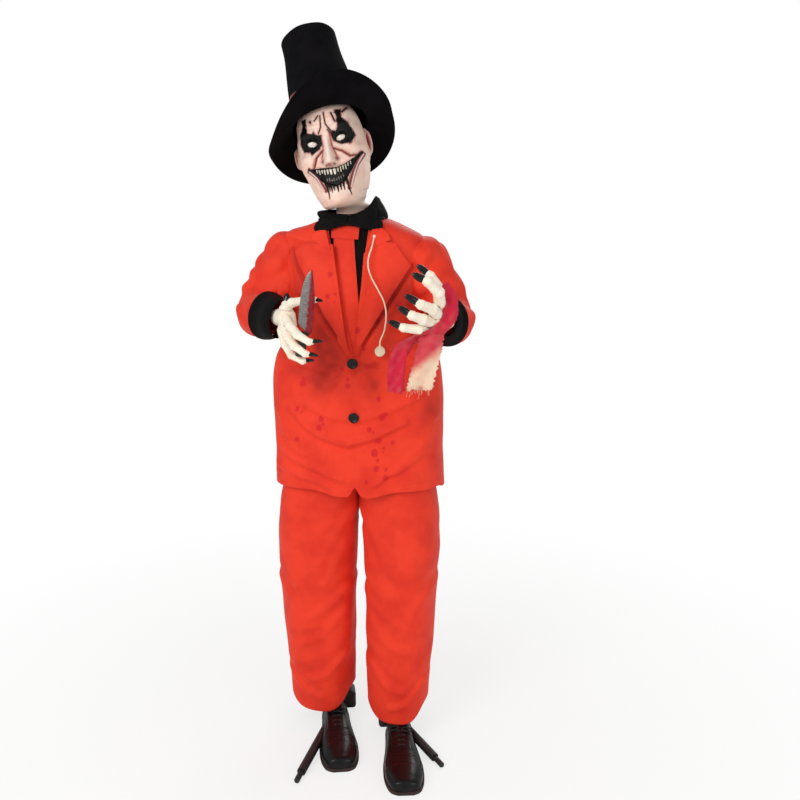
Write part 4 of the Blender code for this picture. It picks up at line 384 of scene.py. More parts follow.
HARD_FINISHES = {name: moulded(name, *look, **values) for name, look, values in (
    # satin black with the faint orange peel of baked powder
    ("powder_coated_tube", ("#1b1a18", "#121110", 0.5, 380.0, 0.3), {}),
    # bright and cool, a little blurred by the plating
    ("zinc_plated_steel", ("#b9b9b6", "#8f908e", 0.3, 300.0, 0.12), dict(Metallic=1.0)),
    # plain mouldings: dull, even and dark
    ("black_abs", ("#1e1d1c", "#161515", 0.42), {}),
    ("grey_abs", ("#4c4c4a", "#424240", 0.5), {}),
    # waxy white gears
    ("acetal", ("#ebe5d6", "#ddd5c2", 0.35), {}),
    # glossy green lacquer
    ("green_solder_mask", ("#1f6238", "#17482a", 0.3), {}),
    # chalky grey, never meant to be seen
    ("grey_styrene", ("#bcb7ab", "#a9a498", 0.6), {}),
    # a clear coat over black: sharp lights on a deep ground
    ("patent_vinyl", ("#0b0b0d", "#070708", 0.34, 90.0, 0.06),
     dict(Specular_IOR_Level=0.2, Coat_Weight=0.16, Coat_Roughness=0.14)),
    # dull brown, scuffed rough
    ("sole_rubber", ("#3a2219", "#241610", 0.7, 420.0, 0.4), {}),
    # wet-looking off-white
    ("eye_enamel", ("#f1e8d8", "#dfcfbb", 0.15, 200.0, 0.05), dict(Coat_Weight=0.6)),
    # yellowed and shiny above; the lower teeth are a grey, duller copy
    ("tooth_enamel", ("#f2ead8", "#c9b595", 0.25, 200.0, 0.1), dict(Coat_Weight=0.4)),
    ("grey_lower_tooth", ("#968d84", "#5d554e", 0.4), {}),
    # black lacquer with a red cast and one bright light
    ("nail_lacquer", ("#0c0a0b", "#160b0d", 0.22, 120.0, 0.05), dict(Specular_IOR_Level=0.25, Coat_Weight=0.4)),
    # softer shine than the shoes
    ("black_horn_button", ("#131112", "#080707", 0.35), dict(Specular_IOR_Level=0.3)),
    # warm cream, satin on the button and duller on the cord
    ("cream_abs", ("#efe0c4", "#e3d0ae", 0.4), {}),
    ("cream_pvc", ("#efe2c8", "#e2d1b0", 0.45, 500.0, 0.1), {}),
    # waxed cotton: a rough thread on the shiny shoe
    ("shoe_lace", ("#151314", "#0c0b0c", 0.6, 700.0, 0.5), {}),
)}
NODE_FINISHES = {
    "powder_coated_tube": ("right_front_outrigger", "right_rear_outrigger", "left_front_outrigger",
                           "left_rear_outrigger", "right_leg_tube", "left_leg_tube", "spine_tube",
                           "right_upper_arm", "left_upper_arm", "right_forearm", "left_forearm"),
    "zinc_plated_steel": ("motor", "speaker"),
    "black_abs": ("right_foot_hub", "left_foot_hub", "hip_bar", "shoulder_bar", "box_front", "box_back",
                  "battery_door", "power_switch"),
    "grey_abs": ("battery_pack",),
    "acetal": ("pinion", "neck_shaft"),
    "green_solder_mask": ("circuit_board",),
    "grey_styrene": ("skull",),
    "cream_abs": ("button_housing", "button_cap"),
    "cream_pvc": ("cord_gland",),
}
for finish_name, names in NODE_FINISHES.items():
    for name in names:
        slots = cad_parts[name].data.materials
        slots.clear()
        slots.append(HARD_FINISHES[finish_name])
print("hard finishes:", len(HARD_FINISHES))

# %% [markdown]
# The cord takes its cream sheath, rides on the root and stands for the CAD
# cord.

# %% Cord sheathed
try_me_cord.data.materials.append(HARD_FINISHES["cream_pvc"])
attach(try_me_cord, "root")
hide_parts("cord")

# %% [markdown]
# ## Ways to make a skin
# Most pieces here are either a sheet bent round something, made from a grid
# whose points are sent to their places, or a lump made from overlapping round
# limbs that one voxel remesh melts together. Both get a helper.

# %% Mesh helpers


def bent_grid(columns, rows, place, closed=True):
    """A grid whose points go where place(u, v) says; closed joins its two sides."""
    bm = bmesh.new()
    bmesh.ops.create_grid(bm, x_segments=columns, y_segments=rows, size=0.5)
    flat = np.array([v.co[:2] for v in bm.verts])
    flat = (flat - flat.min(0)) / (flat.max(0) - flat.min(0))
    for vert, point in zip(bm.verts, place(flat[:, 0], flat[:, 1])):
        vert.co = point
    if closed:
        bmesh.ops.remove_doubles(bm, verts=bm.verts[:], dist=1e-6)
    return bm


def places(bm):
    return np.array([v.co for v in bm.verts])


def points_of(obj):
    return np.array([v.co for v in obj.data.vertices])


def move_to(bm, points):
    for vert, point in zip(bm.verts, points):
        vert.co = point


def normals(bm):
    bm.normal_update()
    return np.array([v.normal for v in bm.verts])


def face_out(bm, centre=None):
    """Turn all faces away from the middle."""
    bm.normal_update()
    middle = Vector(places(bm).mean(0)) if centre is None else Vector(centre)
    if sum(f.normal.dot(f.calc_center_median() - middle) * f.calc_area() for f in bm.faces) < 0:
        bmesh.ops.reverse_faces(bm, faces=bm.faces[:])


def smoothed(bm, factor, passes=1):
    """Even out a skin in all directions."""
    for _ in range(passes):
        bmesh.ops.smooth_vert(bm, verts=bm.verts[:], factor=factor, use_axis_x=True, use_axis_y=True,
                              use_axis_z=True)


def capped(bm):
    """Close the open ends of a tube and turn its faces out."""
    bmesh.ops.holes_fill(bm, edges=[e for e in bm.edges if e.is_boundary], sides=0)
    bmesh.ops.recalc_face_normals(bm, faces=bm.faces[:])
    return bm


def merged(parts):
    """One bmesh of many; the parts are used up."""
    whole = bmesh.new()
    for bm in parts:
        mesh = bpy.data.meshes.new("part")
        bm.to_mesh(mesh)
        bm.free()
        whole.from_mesh(mesh)
        bpy.data.meshes.remove(mesh)
    return whole


def into_mesh(name, bm, material, smooth=True):
    """A mesh object at the origin."""
    mesh = bpy.data.meshes.new(name)
    bm.to_mesh(mesh)
    bm.free()
    mesh.materials.append(material)
    if smooth:
        mesh.shade_smooth()
    obj = bpy.data.objects.new(name, mesh)
    bpy.context.scene.collection.objects.link(obj)
    return obj


def paint(obj, name, values):
    """Write a painted value to each point."""
    layer = obj.data.attributes.new(name, "FLOAT", "POINT")
    layer.data.foreach_set("value", np.clip(np.asarray(values, np.float32), 0.0, 1.0))


def tilted(degrees, axis):
    return Matrix.Rotation(math.radians(degrees), 4, axis)


def worn_by(obj, body, slot, *stands_for):
    """The piece rides on a body and stands for CAD nodes, which it hides; slot is not used."""
    if body:
        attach(obj, body)
    if stands_for:
        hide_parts(*stands_for)
    print("%-20s %6d faces" % (obj.name, len(obj.data.polygons)))
    return obj


def walled(obj, thickness, offset=-1.0, bevel=0.0):
    """A live wall, and soft edges where asked."""
    wall = obj.modifiers.new("wall", "SOLIDIFY")
    wall.thickness = thickness
    wall.offset = offset
    if bevel:
        edge = obj.modifiers.new("edge", "BEVEL")
        edge.width = bevel
        edge.segments = 2
        edge.limit_method = "ANGLE"
        edge.angle_limit = math.radians(60)


def limb(bm, points, segments=20):
    """Balls at the joints and cones between them; points are (x, y, z, radius)."""
    spots = [(Vector(p[:3]), p[3]) for p in points]
    for centre, radius in spots:
        bmesh.ops.create_uvsphere(bm, u_segments=segments, v_segments=segments // 2, radius=radius,
                                  matrix=Matrix.Translation(centre))
    for (a, ra), (b, rb) in zip(spots, spots[1:]):
        turn = (b - a).to_track_quat("Z", "Y").to_matrix().to_4x4()
        bmesh.ops.create_cone(bm, cap_ends=True, segments=segments, radius1=ra, radius2=rb,
                              depth=(b - a).length, matrix=Matrix.Translation((a + b) / 2) @ turn)


def melted(bm, voxel, passes):
    """One skin round all the shapes, from a voxel remesh and a few smoothing passes."""
    obj = into_mesh("melting", bm, suit_cloth)
    remesh = obj.modifiers.new("remesh", "REMESH")
    remesh.mode = "VOXEL"
    remesh.voxel_size = voxel
    depsgraph = bpy.context.evaluated_depsgraph_get()
    mesh = bpy.data.meshes.new_from_object(obj.evaluated_get(depsgraph))
    made = bmesh.new()
    made.from_mesh(mesh)
    bpy.data.objects.remove(obj, do_unlink=True)
    smoothed(made, 0.5, passes)
    return made


print("mesh helpers ready")

# %% [markdown]
# Shapes and stains are drawn with soft brushes. A stroke is a soft line, a
# patch is a drawn outline, and a ripple is a repeatable uneven pattern, made
# of a few waves in seeded directions.

# %% Brushes


def unit(value):
    """Held between 0 and 1."""
    return np.clip(value, 0, 1)


def bell(value):
    """1 at zero, soft down to 0 on both sides."""
    return np.exp(-value ** 2)


def ease(value, low, high):
    """0 at low, 1 at high, smooth between; low may be the larger."""
    t = unit((value - low) / (high - low))
    return t * t * (3 - 2 * t)


def dot(x, z, centre, radius, stretch=1.0):
    """Soft round dab."""
    return np.exp(-(((x - centre[0]) / radius) ** 2 + ((z - centre[1]) / radius / stretch) ** 2))


def line_distance(x, z, line):
    """Distance to an open line, and how far along it the nearest point is."""
    best = np.full(x.shape, 1e9)
    along = np.zeros(x.shape)
    count = len(line) - 1
    for k, (a, b) in enumerate(zip(line, line[1:])):
        dx, dz = b[0] - a[0], b[1] - a[1]
        t = unit(((x - a[0]) * dx + (z - a[1]) * dz) / (dx * dx + dz * dz + 1e-12))
        away = np.hypot(x - a[0] - t * dx, z - a[1] - t * dz)
        along = np.where(away < best, (k + t) / count, along)
        best = np.minimum(best, away)
    return best, along


def stroke(x, z, line, width, taper=0.0):
    """Soft line; taper thins it towards its end."""
    away, along = line_distance(x, z, line)
    return bell(away / (width * (1 - taper * along)))


def outline_distance(x, z, outline):
    """Signed distance to a closed outline, negative inside."""
    closed = list(outline) + [outline[0]]
    away, _ = line_distance(x, z, closed)
    inside = np.zeros(x.shape, bool)
    for (ax, az), (bx, bz) in zip(closed, closed[1:]):
        crosses = (az > z) != (bz > z)
        at = ax + (z - az) / (bz - az + 1e-12) * (bx - ax)
        inside ^= crosses & (x < at)
    return np.where(inside, -away, away)


def ripple(x, z, size, seed, waves=9):
    """Uneven pattern between about -1 and 1, with features of one size."""
    rng = np.random.default_rng(seed)
    total = np.zeros(np.shape(x))
    for _ in range(waves):
        turn = rng.uniform(0, math.pi)
        pitch = math.tau / size * rng.uniform(0.5, 1.4)
        total += np.sin((x * math.cos(turn) + z * math.sin(turn)) * pitch + rng.uniform(0, math.tau))
    return total / waves * 1.8


def rows_at(table, at):
    """Smooth values between the rows of a table whose first column is a position."""
    table = np.array(table, float)
    s, y = table[:, 0], table[:, 1:]
    secant = np.diff(y, axis=0) / np.diff(s)[:, None]
    slope = np.zeros_like(y)
    slope[1:-1] = np.where(secant[:-1] * secant[1:] > 0, (secant[:-1] + secant[1:]) / 2, 0)
    slope[0], slope[-1] = secant[0], secant[-1]
    k = np.clip(np.searchsorted(s, at, side="right") - 1, 0, len(s) - 2)
    h = (s[k + 1] - s[k])[:, None]
    t = unit((at - s[k])[:, None] / h)
    return ((2 * t ** 3 - 3 * t ** 2 + 1) * y[k] + (t ** 3 - 2 * t ** 2 + t) * h * slope[k]
            + (3 * t ** 2 - 2 * t ** 3) * y[k + 1] + (t ** 3 - t ** 2) * h * slope[k + 1])


def oval_point(angle, half_width, front, back, squareness):
    """Rounded outline, by its true angle; the front is towards -Y."""
    c, s = np.cos(angle), np.sin(angle)
    depth = np.where(s > 0, back, front)
    reach = ((np.abs(c) / half_width) ** squareness + (np.abs(s) / depth) ** squareness) ** (-1 / squareness)
    return reach * c, reach * s


print("brushes ready")

# %% [markdown]
# ## The jacket
# The jacket hangs from the shoulders like a soft tube. A simulation would lose
# the photographed outline, so its form is drawn: a rounded outline at every
# height. The grid follows that outline, fold strokes push it in and out by a
# few millimetres, and the neck opening is cut out.

# %% Jacket form
# Height, half width, front and back depth
JACKET_ROWS = metres((
    (668, 219, 132, 118), (760, 215.5, 130, 115.5), (1000, 205, 124, 108), (1075, 170, 120, 106),
    (1292, 172, 96, 86), (1309, 157, 91, 84), (1322, 124, 87, 83), (1339, 80, 79, 79),
))
JACKET_SQUARENESS = 2.6
JACKET_BOTTOM, JACKET_TOP = JACKET_ROWS[0][0], JACKET_ROWS[-1][0]
FRONT_EDGE_X = 0.01
OPENING_BOTTOM = (0.012, 1.028)
OPENING_TOP_HALF = 0.052
# Fold strokes on the front and the back: line in x and z, width, height
FRONT_FOLDS = metres((
    (((-150, 885), (-110, 842), (-71, 820), (-7, 802), (66, 824), (134, 858)), 8, 7.5),
    (((-190, 790), (-150, 758), (-80, 732), (-25, 713)), 10, 6.5), (((200, 860), (186, 785), (113, 728)), 10, 7),
    (((-185, 870), (-165, 800), (-120, 770)), 10, 5), (((12, 862), (-50, 872), (-130, 905)), 9, 4.5),
    (((20, 866), (80, 880), (160, 915)), 9, 4.5), (((5, 998), (-60, 985), (-120, 1000)), 8, 5),
    (((5, 995), (-40, 950), (-60, 900)), 8, 4), (((20, 998), (80, 985), (150, 1005)), 8, 5),
    (((22, 992), (60, 940), (75, 895)), 8, 4), (((-150, 1100), (-100, 1050), (-55, 1020)), 9, 4),
    (((155, 1090), (110, 1040), (70, 1015)), 9, 4), (((160, 990), (175, 900), (170, 790)), 12, 4.5),
    (((-165, 990), (-178, 910), (-170, 820)), 12, 4.5), (((-70, 760), (-60, 720), (-55, 675)), 12, 4),
    (((80, 750), (75, 715), (80, 675)), 12, 4), (((100, 1260), (130, 1200), (140, 1120)), 10, 3),
    (((-146, 1278), (-132, 1225), (-128, 1170)), 7, 6), (((-160, 1250), (-147, 1190), (-128, 1130)), 8, 5.5),
    (((158, 1262), (150, 1200), (146, 1150)), 8, 5), (((-150, 1300), (-90, 1292), (-70, 1270)), 9, 3),
    (((60, 700), (110, 735), (175, 800)), 9, 4.5), (((-195, 735), (-130, 705), (-60, 690)), 9, 4.5),
))
BACK_FOLDS = metres((
    (((-120, 1220), (-90, 1080), (-100, 900)), 14, 4.5), (((115, 1230), (85, 1090), (110, 880)), 14, 4.5),
    (((-140, 960), (-50, 925), (50, 940)), 12, 3.5), (((150, 820), (50, 790), (-60, 800)), 12, 3.5),
    (((-160, 760), (-60, 730), (20, 740)), 12, 3), (((0, 1300), (0, 1000), (0, 690)), 4, -2.2),
))


def jacket_push(x, y, z):
    """Folds: how far the cloth stands out from its plain form."""
    low = unit((1.05 - z) / 0.38)
    push = 0.0022 * low * np.sin(9 * np.arctan2(y, x) + 2.0 * ripple(z, 0 * z, 0.5, 3)) - 0.0015 * low
    push += 0.0012 * ripple(x * 0.8, z, 0.11, 5)
    for folds, side in ((FRONT_FOLDS, y < 0), (BACK_FOLDS, y > 0)):
        facing = ease(np.abs(y), 0.0, 0.05) * side
        for line, width, height in folds:
            push += facing * height * (stroke(x, z, line, width) - 0.7 * stroke(x, z + 0.014, line, width * 1.1))
    return push * ease(z, 1.335, 1.3)


def jacket_place(u, v):
    """Points of the jacket's outside, round it with u and up it with v."""
    z = JACKET_BOTTOM + (JACKET_TOP - JACKET_BOTTOM) * v
    half_width, front, back = rows_at(JACKET_ROWS, z).T
    x, y = oval_point(-math.pi / 2 + math.tau * u, half_width, front, back, JACKET_SQUARENESS)
    push = jacket_push(x, y, z) / np.hypot(x, y)
    return np.stack((x * (1 + push), y * (1 + push), z), axis=1)


def jacket_front(x, z):
    """Y of the jacket's front at a place seen from the front, with its folds."""
    x, z = np.asarray(x, float), np.asarray(z, float)
    half_width, front, _ = rows_at(JACKET_ROWS, z.ravel()).T
    share = np.clip(np.abs(x.ravel()) / half_width, 0, 0.995)
    y = -front * (1 - share ** JACKET_SQUARENESS) ** (1 / JACKET_SQUARENESS)
    push = jacket_push(x.ravel(), y, z.ravel())
    return (y - push * np.abs(y) / np.hypot(x.ravel(), y)).reshape(x.shape)


def cut_front(bm, start, end, drop=None):
    """Cut the front along a line in x and z, and drop one side of it if asked."""
    run = Vector((end[0] - start[0], 0.0, end[1] - start[1])).normalized()
    across = Vector((run.z, 0.0, -run.x))
    geometry = bm.verts[:] + bm.edges[:] + bm.faces[:]
    if drop is None:
        front = [f for f in bm.faces if f.calc_center_median().y < 0]
        geometry = list({v for f in front for v in f.verts}) + list({e for f in front for e in f.edges}) + front
    bmesh.ops.bisect_plane(bm, geom=geometry, dist=1e-6, plane_co=(start[0], 0.0, start[1]), plane_no=across,
                           clear_outer=drop == "outer", clear_inner=drop == "inner")


def in_opening(point):
    share = (point.z - OPENING_BOTTOM[1]) / (JACKET_TOP - OPENING_BOTTOM[1])
    low = OPENING_BOTTOM[0] + (-OPENING_TOP_HALF - OPENING_BOTTOM[0]) * share
    high = OPENING_BOTTOM[0] + (OPENING_TOP_HALF - OPENING_BOTTOM[0]) * share
    return point.y < 0 <= share and low < point.x < high


print("jacket front at the waist: %.3f" % jacket_front(np.array([0.0]), np.array([1.0]))[0])

# %% [markdown]
# Theatre blood was sprayed behind the hands in soft clouds and flicked on as
# round drops. Both are painted on the points, so they follow the cloth.

# %% Stains
# Middle in x and z, and radius, in millimetres; stretch upwards; strength
BLOOD_CLOUDS = (
    (-62, 1060, 30, 2.2, 0.75), (-40, 1010, 30, 1.6, 0.65), (-72, 960, 30, 1.3, 0.7), (-85, 1140, 16, 1.6, 0.55),
    (-125, 985, 30, 0.6, 0.4), (-112, 1170, 22, 1.2, 0.5), (125, 1150, 35, 1.2, 0.7), (85, 1100, 28, 1, 0.55),
    (100, 1045, 30, 1.3, 0.45), (60, 950, 18, 2.2, 0.5), (52, 998, 20, 0.5, 0.6), (130, 960, 35, 0.9, 0.4),
    (195, 880, 22, 1.6, 0.5), (20, 985, 20, 0.5, 0.35),
)
# Middle in x and z, and radius
BLOOD_DROPS = metres((
    (-40, 1214, 7), (-47, 1163, 7.5), (-27, 1169, 4.5), (-30, 1149, 3.5), (24, 1083, 8), (38, 1037, 4),
    (-15, 990, 7), (48, 996, 7), (-2, 948, 8), (-2, 965, 5), (-116, 951, 8.5), (-112, 962, 6), (-132, 887, 7),
    (-120, 880, 4.5), (-71, 864, 8), (-76, 842, 8), (-66, 853, 5), (-135, 809, 7), (72, 917, 7), (80, 872, 10),
    (88, 880, 6), (49, 842, 7), (57, 836, 4), (70, 813, 8.5), (104, 808, 6.5), (83, 795, 3.5), (60, 783, 10),
    (82, 785, 2.5), (67, 764, 4.5), (64, 744, 8), (88, 741, 5), (87, 720, 8.5), (40, 710, 6.5),
))


def clouds_on_front(x, z):
    """Soft sprayed clouds behind the hands."""
    stain = np.zeros(x.shape)
    for cx, cz, radius, stretch, strength in BLOOD_CLOUDS:
        stain = 1 - (1 - stain) * (1 - strength * dot(x, z, (cx * MM, cz * MM), radius * MM, stretch))
    return stain * (0.85 + 0.25 * ripple(x, z, 0.03, 11))


def drops_on_front(x, z):
    """Round flicked drops with uneven edges."""
    stain = np.zeros(x.shape)
    for cx, cz, radius in BLOOD_DROPS:
        away = np.hypot(x - cx, (z - cz) / 1.1) + 0.0011 * ripple(x, z, 0.012, 17)
        stain = np.maximum(stain, 0.8 * ease(away, radius, radius * 0.72))
    return stain


def stain_front(obj, front=True, more=0.0):
    """Paint both kinds of stain on a piece that lies on the front; more is painted shade added to the dark red
    layer.
    """
    at = points_of(obj)
    facing = (at[:, 1] < 0) & front
    paint(obj, "blood_and_shade", (clouds_on_front(at[:, 0], at[:, 2]) + more) * facing)
    paint(obj, "drops", drops_on_front(at[:, 0], at[:, 2]) * facing)


HEM_DEPTH = 0.022
LAPEL_EDGES = metres((
    ((4, 1022), (-64, 1119), (-130, 1240), (-137, 1270)), ((20, 1024), (85, 1127), (150, 1230)),
))


def make_jacket():
    bm = bent_grid(300, 270, jacket_place)
    for top in (OPENING_TOP_HALF, -OPENING_TOP_HALF):
        cut_front(bm, OPENING_BOTTOM, (top, JACKET_TOP))
    gone = [f for f in bm.faces if in_opening(f.calc_center_median())]
    bmesh.ops.delete(bm, geom=gone, context="FACES")
    face_out(bm, (0, 0, 1.0))
    at = places(bm)
    x, y, z = at.T
    # a groove shows the edge of the left front, which lies over the right one
    from_edge = np.abs(x - FRONT_EDGE_X)
    at[:, 1] += 0.0016 * ease(from_edge, 0.0035, 0.0) * (z < 1.03) * (y < 0)
    # its right shoulder is carried higher than the left one
    at[:, 2] -= 0.006 * np.sign(x) * ease(np.abs(x), 0.1, 0.16) * ease(z, 1.22, 1.3)
    # the cloth dips along the free edge of each lapel
    for line in LAPEL_EDGES:
        at[:, 1] += 0.0075 * stroke(x, z, line, 0.007) * (y < 0)
    seam = ease(np.abs(z - JACKET_BOTTOM - HEM_DEPTH), 0.002, 0.0)
    at[:, :2] *= (1 - 0.006 * seam)[:, None]
    # rounded corners and a short gap where the two fronts part at the hem
    rise = 0.014 * ease(from_edge, 0.03, 0.11) + 0.024 * bell(from_edge / 0.011)
    at[:, 2] += rise * ease(z, 0.745, JACKET_BOTTOM) * ease(-y, 0.0, 0.06)
    move_to(bm, at)
    obj = into_mesh("suit_jacket", bm, suit_cloth)
    # painted shade: a dark red line along the free edge of each lapel, where the lapel shades the jacket
    stain_front(obj, more=sum(0.45 * stroke(x, z, line, 0.0045) for line in LAPEL_EDGES))
    walled(obj, 0.003)
    worn_by(obj, "root", "suit_cloth", "jacket")


make_jacket()

# %% [markdown]
# ## Lapels, tie and shirt
# Flat pieces of cloth that lie on the jacket are cut from a fine grid in the
# picture plane, like cloth on a cutting table, and then laid on the jacket's
# front. The lapel is raised a little where it rolls over the opening.

# %% Flat pieces on the front


def cut_cloth(outline, pitch=0.003):
    """A flat grid in x and z, cut to a convex outline."""
    points = np.array(outline)
    low, high = points.min(0), points.max(0)
    steps = np.maximum(2, np.ceil((high - low) / pitch)).astype(int)

    def place(u, v):
        return np.stack((low[0] + (high[0] - low[0]) * u, 0 * u, low[1] + (high[1] - low[1]) * v), axis=1)

    bm = bent_grid(int(steps[0]), int(steps[1]), place, closed=False)
    nxt = np.roll(points, -1, axis=0)
    area = float(np.sum(points[:, 0] * nxt[:, 1] - nxt[:, 0] * points[:, 1]))
    for start, end in zip(points, nxt):
        cut_front(bm, start, end, "outer" if area > 0 else "inner")
    return bm


def lay_on_front(bm, lift):
    """Lay a flat piece on the jacket's front, lift(x, z) above it."""
    at = places(bm)
    x, z = at[:, 0], at[:, 2]
    at[:, 1] = jacket_front(x, z) - lift(x, z)
    move_to(bm, at)
    bm.normal_update()
    if sum(f.normal.y * f.calc_area() for f in bm.faces) > 0:
        bmesh.ops.reverse_faces(bm, faces=bm.faces[:])
    return bm


SIGN = {"right": -1.0, "left": 1.0}
LAPEL_OUTLINES = metres({
    "right": (((2, 1030), (-58, 1122), (-118, 1240), (-129, 1268), (-98, 1286), (-34, 1284)),
              ((-38, 1270), (-86, 1292), (-84, 1306), (-72, 1316), (-50, 1316))),
    "left": (((20, 1030), (146, 1231), (112, 1283), (66, 1292), (41, 1262)),
             ((44, 1270), (102, 1292), (96, 1306), (80, 1318), (58, 1316))),
})
OPENING_EDGE = {side: (OPENING_BOTTOM, (SIGN[side] * OPENING_TOP_HALF, JACKET_TOP)) for side in SIGN}


def make_lapel(side):
    """Lapel and top collar of one side, the collar a little above the lapel."""
    parts = []
    for layer, outline in enumerate(LAPEL_OUTLINES[side]):
        bm = cut_cloth(outline)

        def lift(x, z, layer=layer):
            away, _ = line_distance(x, z, OPENING_EDGE[side])
            roll = 0.006 * bell(away / 0.014)
            wave = 0.001 * ripple(x, z, 0.05, 21 + layer)
            return 0.0042 + 0.0016 * layer + roll + wave + 0.004 * ease(away, 0.02, 0.08)
        lay_on_front(bm, lift)
        parts.append(bm)
    obj = into_mesh(side + "_suit_lapel", merged(parts), suit_cloth)
    stain_front(obj)
    walled(obj, 0.0024, offset=1.0, bevel=0.0006)
    worn_by(obj, "root", "suit_cloth", side + "_lapel")


for side in SIGN:
    make_lapel(side)

# %% Tie and shirt front
TIE_OUTLINE = metres(((-34, 1304), (-37, 1190), (-22, 1010), (34, 1010), (23.5, 1176), (14, 1304)))
KNOT_OUTLINE = metres(((-41, 1334), (-40, 1298), (25, 1294), (28, 1334)))
SHIRT_OUTLINE = metres(((-66, 1318), (-60, 1000), (74, 1000), (66, 1318)))


def make_tie():
    """Blade of the tie and its flat knot."""
    parts = []
    for outline, rise in ((TIE_OUTLINE, -0.0052), (KNOT_OUTLINE, -0.0022)):
        bm = cut_cloth(outline, 0.0025)
        middle = np.mean(np.array(outline), axis=0)
        half = np.ptp(np.array(outline)[:, 0]) / 2

        def lift(x, z, rise=rise, middle=middle, half=half):
            crown = 0.0022 * unit(1 - ((x - middle[0]) / half) ** 2)
            return rise + crown + 0.0005 * ripple(x, z, 0.03, 31)
        parts.append(lay_on_front(bm, lift))
    obj = into_mesh("neck_tie", merged(parts), suit_cloth)
    stain_front(obj, front=False)
    walled(obj, 0.0022, bevel=0.0006)
    worn_by(obj, "root", "suit_cloth", "tie")


def make_shirt_front():
    bm = lay_on_front(cut_cloth(SHIRT_OUTLINE, 0.004),
                      lambda x, z: -0.0085 + 0.0006 * ripple(x, z, 0.04, 33))
    obj = into_mesh("shirt_panel", bm, shirt_cloth)
    walled(obj, 0.0012)
    worn_by(obj, "root", "shirt_cloth", "shirt_front")


make_tie()
make_shirt_front()

# %% [markdown]
# ## Coat buttons
# A coat button is turned: a rounded rim round a dished face with four holes.
# A profile spun about its axis gives it at once.

# %% Buttons
BUTTON_PLACES = {"upper": (0.012, 1.004), "lower": (0.012, 0.871)}
BUTTON_PROFILE = metres((
    (0.1, 2.4), (7.8, 2.4), (9.2, 3.4), (11.2, 4.1), (12.6, 3.2), (13, 2), (12.4, 0.6), (10, 0), (0.1, 0),
))


def spun(profile, matrix, segments=40):
    """A profile of (radius, rise) points turned about Z."""
    bm = bmesh.new()
    verts = [bm.verts.new((radius, 0.0, rise)) for radius, rise in profile]
    edges = [bm.edges.new(pair) for pair in zip(verts, verts[1:])]
    bmesh.ops.spin(bm, geom=verts + edges, axis=(0, 0, 1), cent=(0, 0, 0), steps=segments, angle=math.tau,
                   use_merge=True)
    bmesh.ops.remove_doubles(bm, verts=bm.verts[:], dist=0.00015)
    bmesh.ops.recalc_face_normals(bm, faces=bm.faces[:])
    bmesh.ops.transform(bm, matrix=matrix, verts=bm.verts[:])
    return bm


def make_button(which):
    x, z = BUTTON_PLACES[which]
    ring = np.linspace(0, math.tau, 24)
    back = float(jacket_front(x + 0.011 * np.cos(ring), z + 0.011 * np.sin(ring)).min()) - 0.0004
    matrix = Matrix.Translation((x, back, z)) @ tilted(90, "X")
    bm = spun(BUTTON_PROFILE, matrix)
    # a knot of thread fills each of the four holes
    for k in range(4):
        turn = math.pi / 4 + math.pi / 2 * k
        spot = matrix @ Vector((0.003 * math.cos(turn), 0.003 * math.sin(turn), 0.0024))
        bmesh.ops.create_uvsphere(bm, u_segments=12, v_segments=6, radius=0.0011, matrix=Matrix.Translation(spot))
    obj = into_mesh(which + "_coat_button", bm, HARD_FINISHES["black_horn_button"])
    worn_by(obj, "root", "button_black", which + "_button")


for which in BUTTON_PLACES:
    make_button(which)

# %% [markdown]
# ## The shirt collar
# A collar is one strip that stands up round the neck, rolls over and falls
# again, with two points in front. The grid runs round the neck in one
# direction and over the roll in the other.

# %% Collar
COLLAR_RADIUS = 0.07
COLLAR_FOOT = 1.324
# Share of the strip that stands up, before the roll
COLLAR_STAND = 0.4
COLLAR_TOP = {"front": 1.351, "back": 1.362, "right": 1.36, "left": 1.392}


def collar_place(u, v):
    gap = math.radians(0.6)
    angle = gap + (math.tau - 2 * gap) * u
    angle = np.where(angle <= math.pi, angle, angle - math.tau)
    c, s = np.cos(angle), np.sin(angle)
    top = (np.where(c > 0, COLLAR_TOP["front"], COLLAR_TOP["back"]) * c ** 2
           + np.where(s > 0, COLLAR_TOP["left"], COLLAR_TOP["right"]) * s ** 2)
    # the wing hangs lowest at its outer corner and climbs to the centre
    turned = np.degrees(np.abs(angle))
    wing = ease(turned, 53, 41)
    low = 1.34 + (1.315 - 1.34) * wing * (0.55 + 0.45 * ease(turned, 3, 34))
    reach = 0.0825 + 0.016 * wing * ease(turned, 0, 30)
    fall = unit((v - COLLAR_STAND) / (1 - COLLAR_STAND))
    z = np.where(v <= COLLAR_STAND, COLLAR_FOOT + (top - COLLAR_FOOT) * v / COLLAR_STAND, top + (low - top) * fall)
    # it is pressed to the neck on the left, and pushed out by the jaw on the right
    lean = 0.011 * np.maximum(0, np.cos(angle + 1.745)) * ease(z, 1.338, 1.355)
    lean -= 0.015 * np.maximum(s, 0) ** 2 * ease(z, 1.345, 1.39)
    rolled = 0.0055 * ease(fall, 0, 0.12) + (reach - 0.0755) * fall ** 0.7
    radius = COLLAR_RADIUS + lean + np.where(v > COLLAR_STAND, rolled, 0)
    # the wings lie on the coat, never in it
    half_width, front, back = rows_at(JACKET_ROWS, np.minimum(z, JACKET_TOP)).T
    coat_x, coat_y = oval_point(np.arctan2(-c, s), half_width, front, back, JACKET_SQUARENESS)
    clear = np.hypot(coat_x, coat_y) + 0.0085 * ease(turned, 75, 55)
    radius = np.where((v > COLLAR_STAND) & (z < JACKET_TOP + 0.003), np.maximum(radius, clear), radius)
    crease = 0.001 * ripple(angle * 0.08, z, 0.03, 35) * ease(v, COLLAR_STAND, 0.6)
    return np.stack((s * (radius + crease), -c * (radius + crease), z), axis=1)


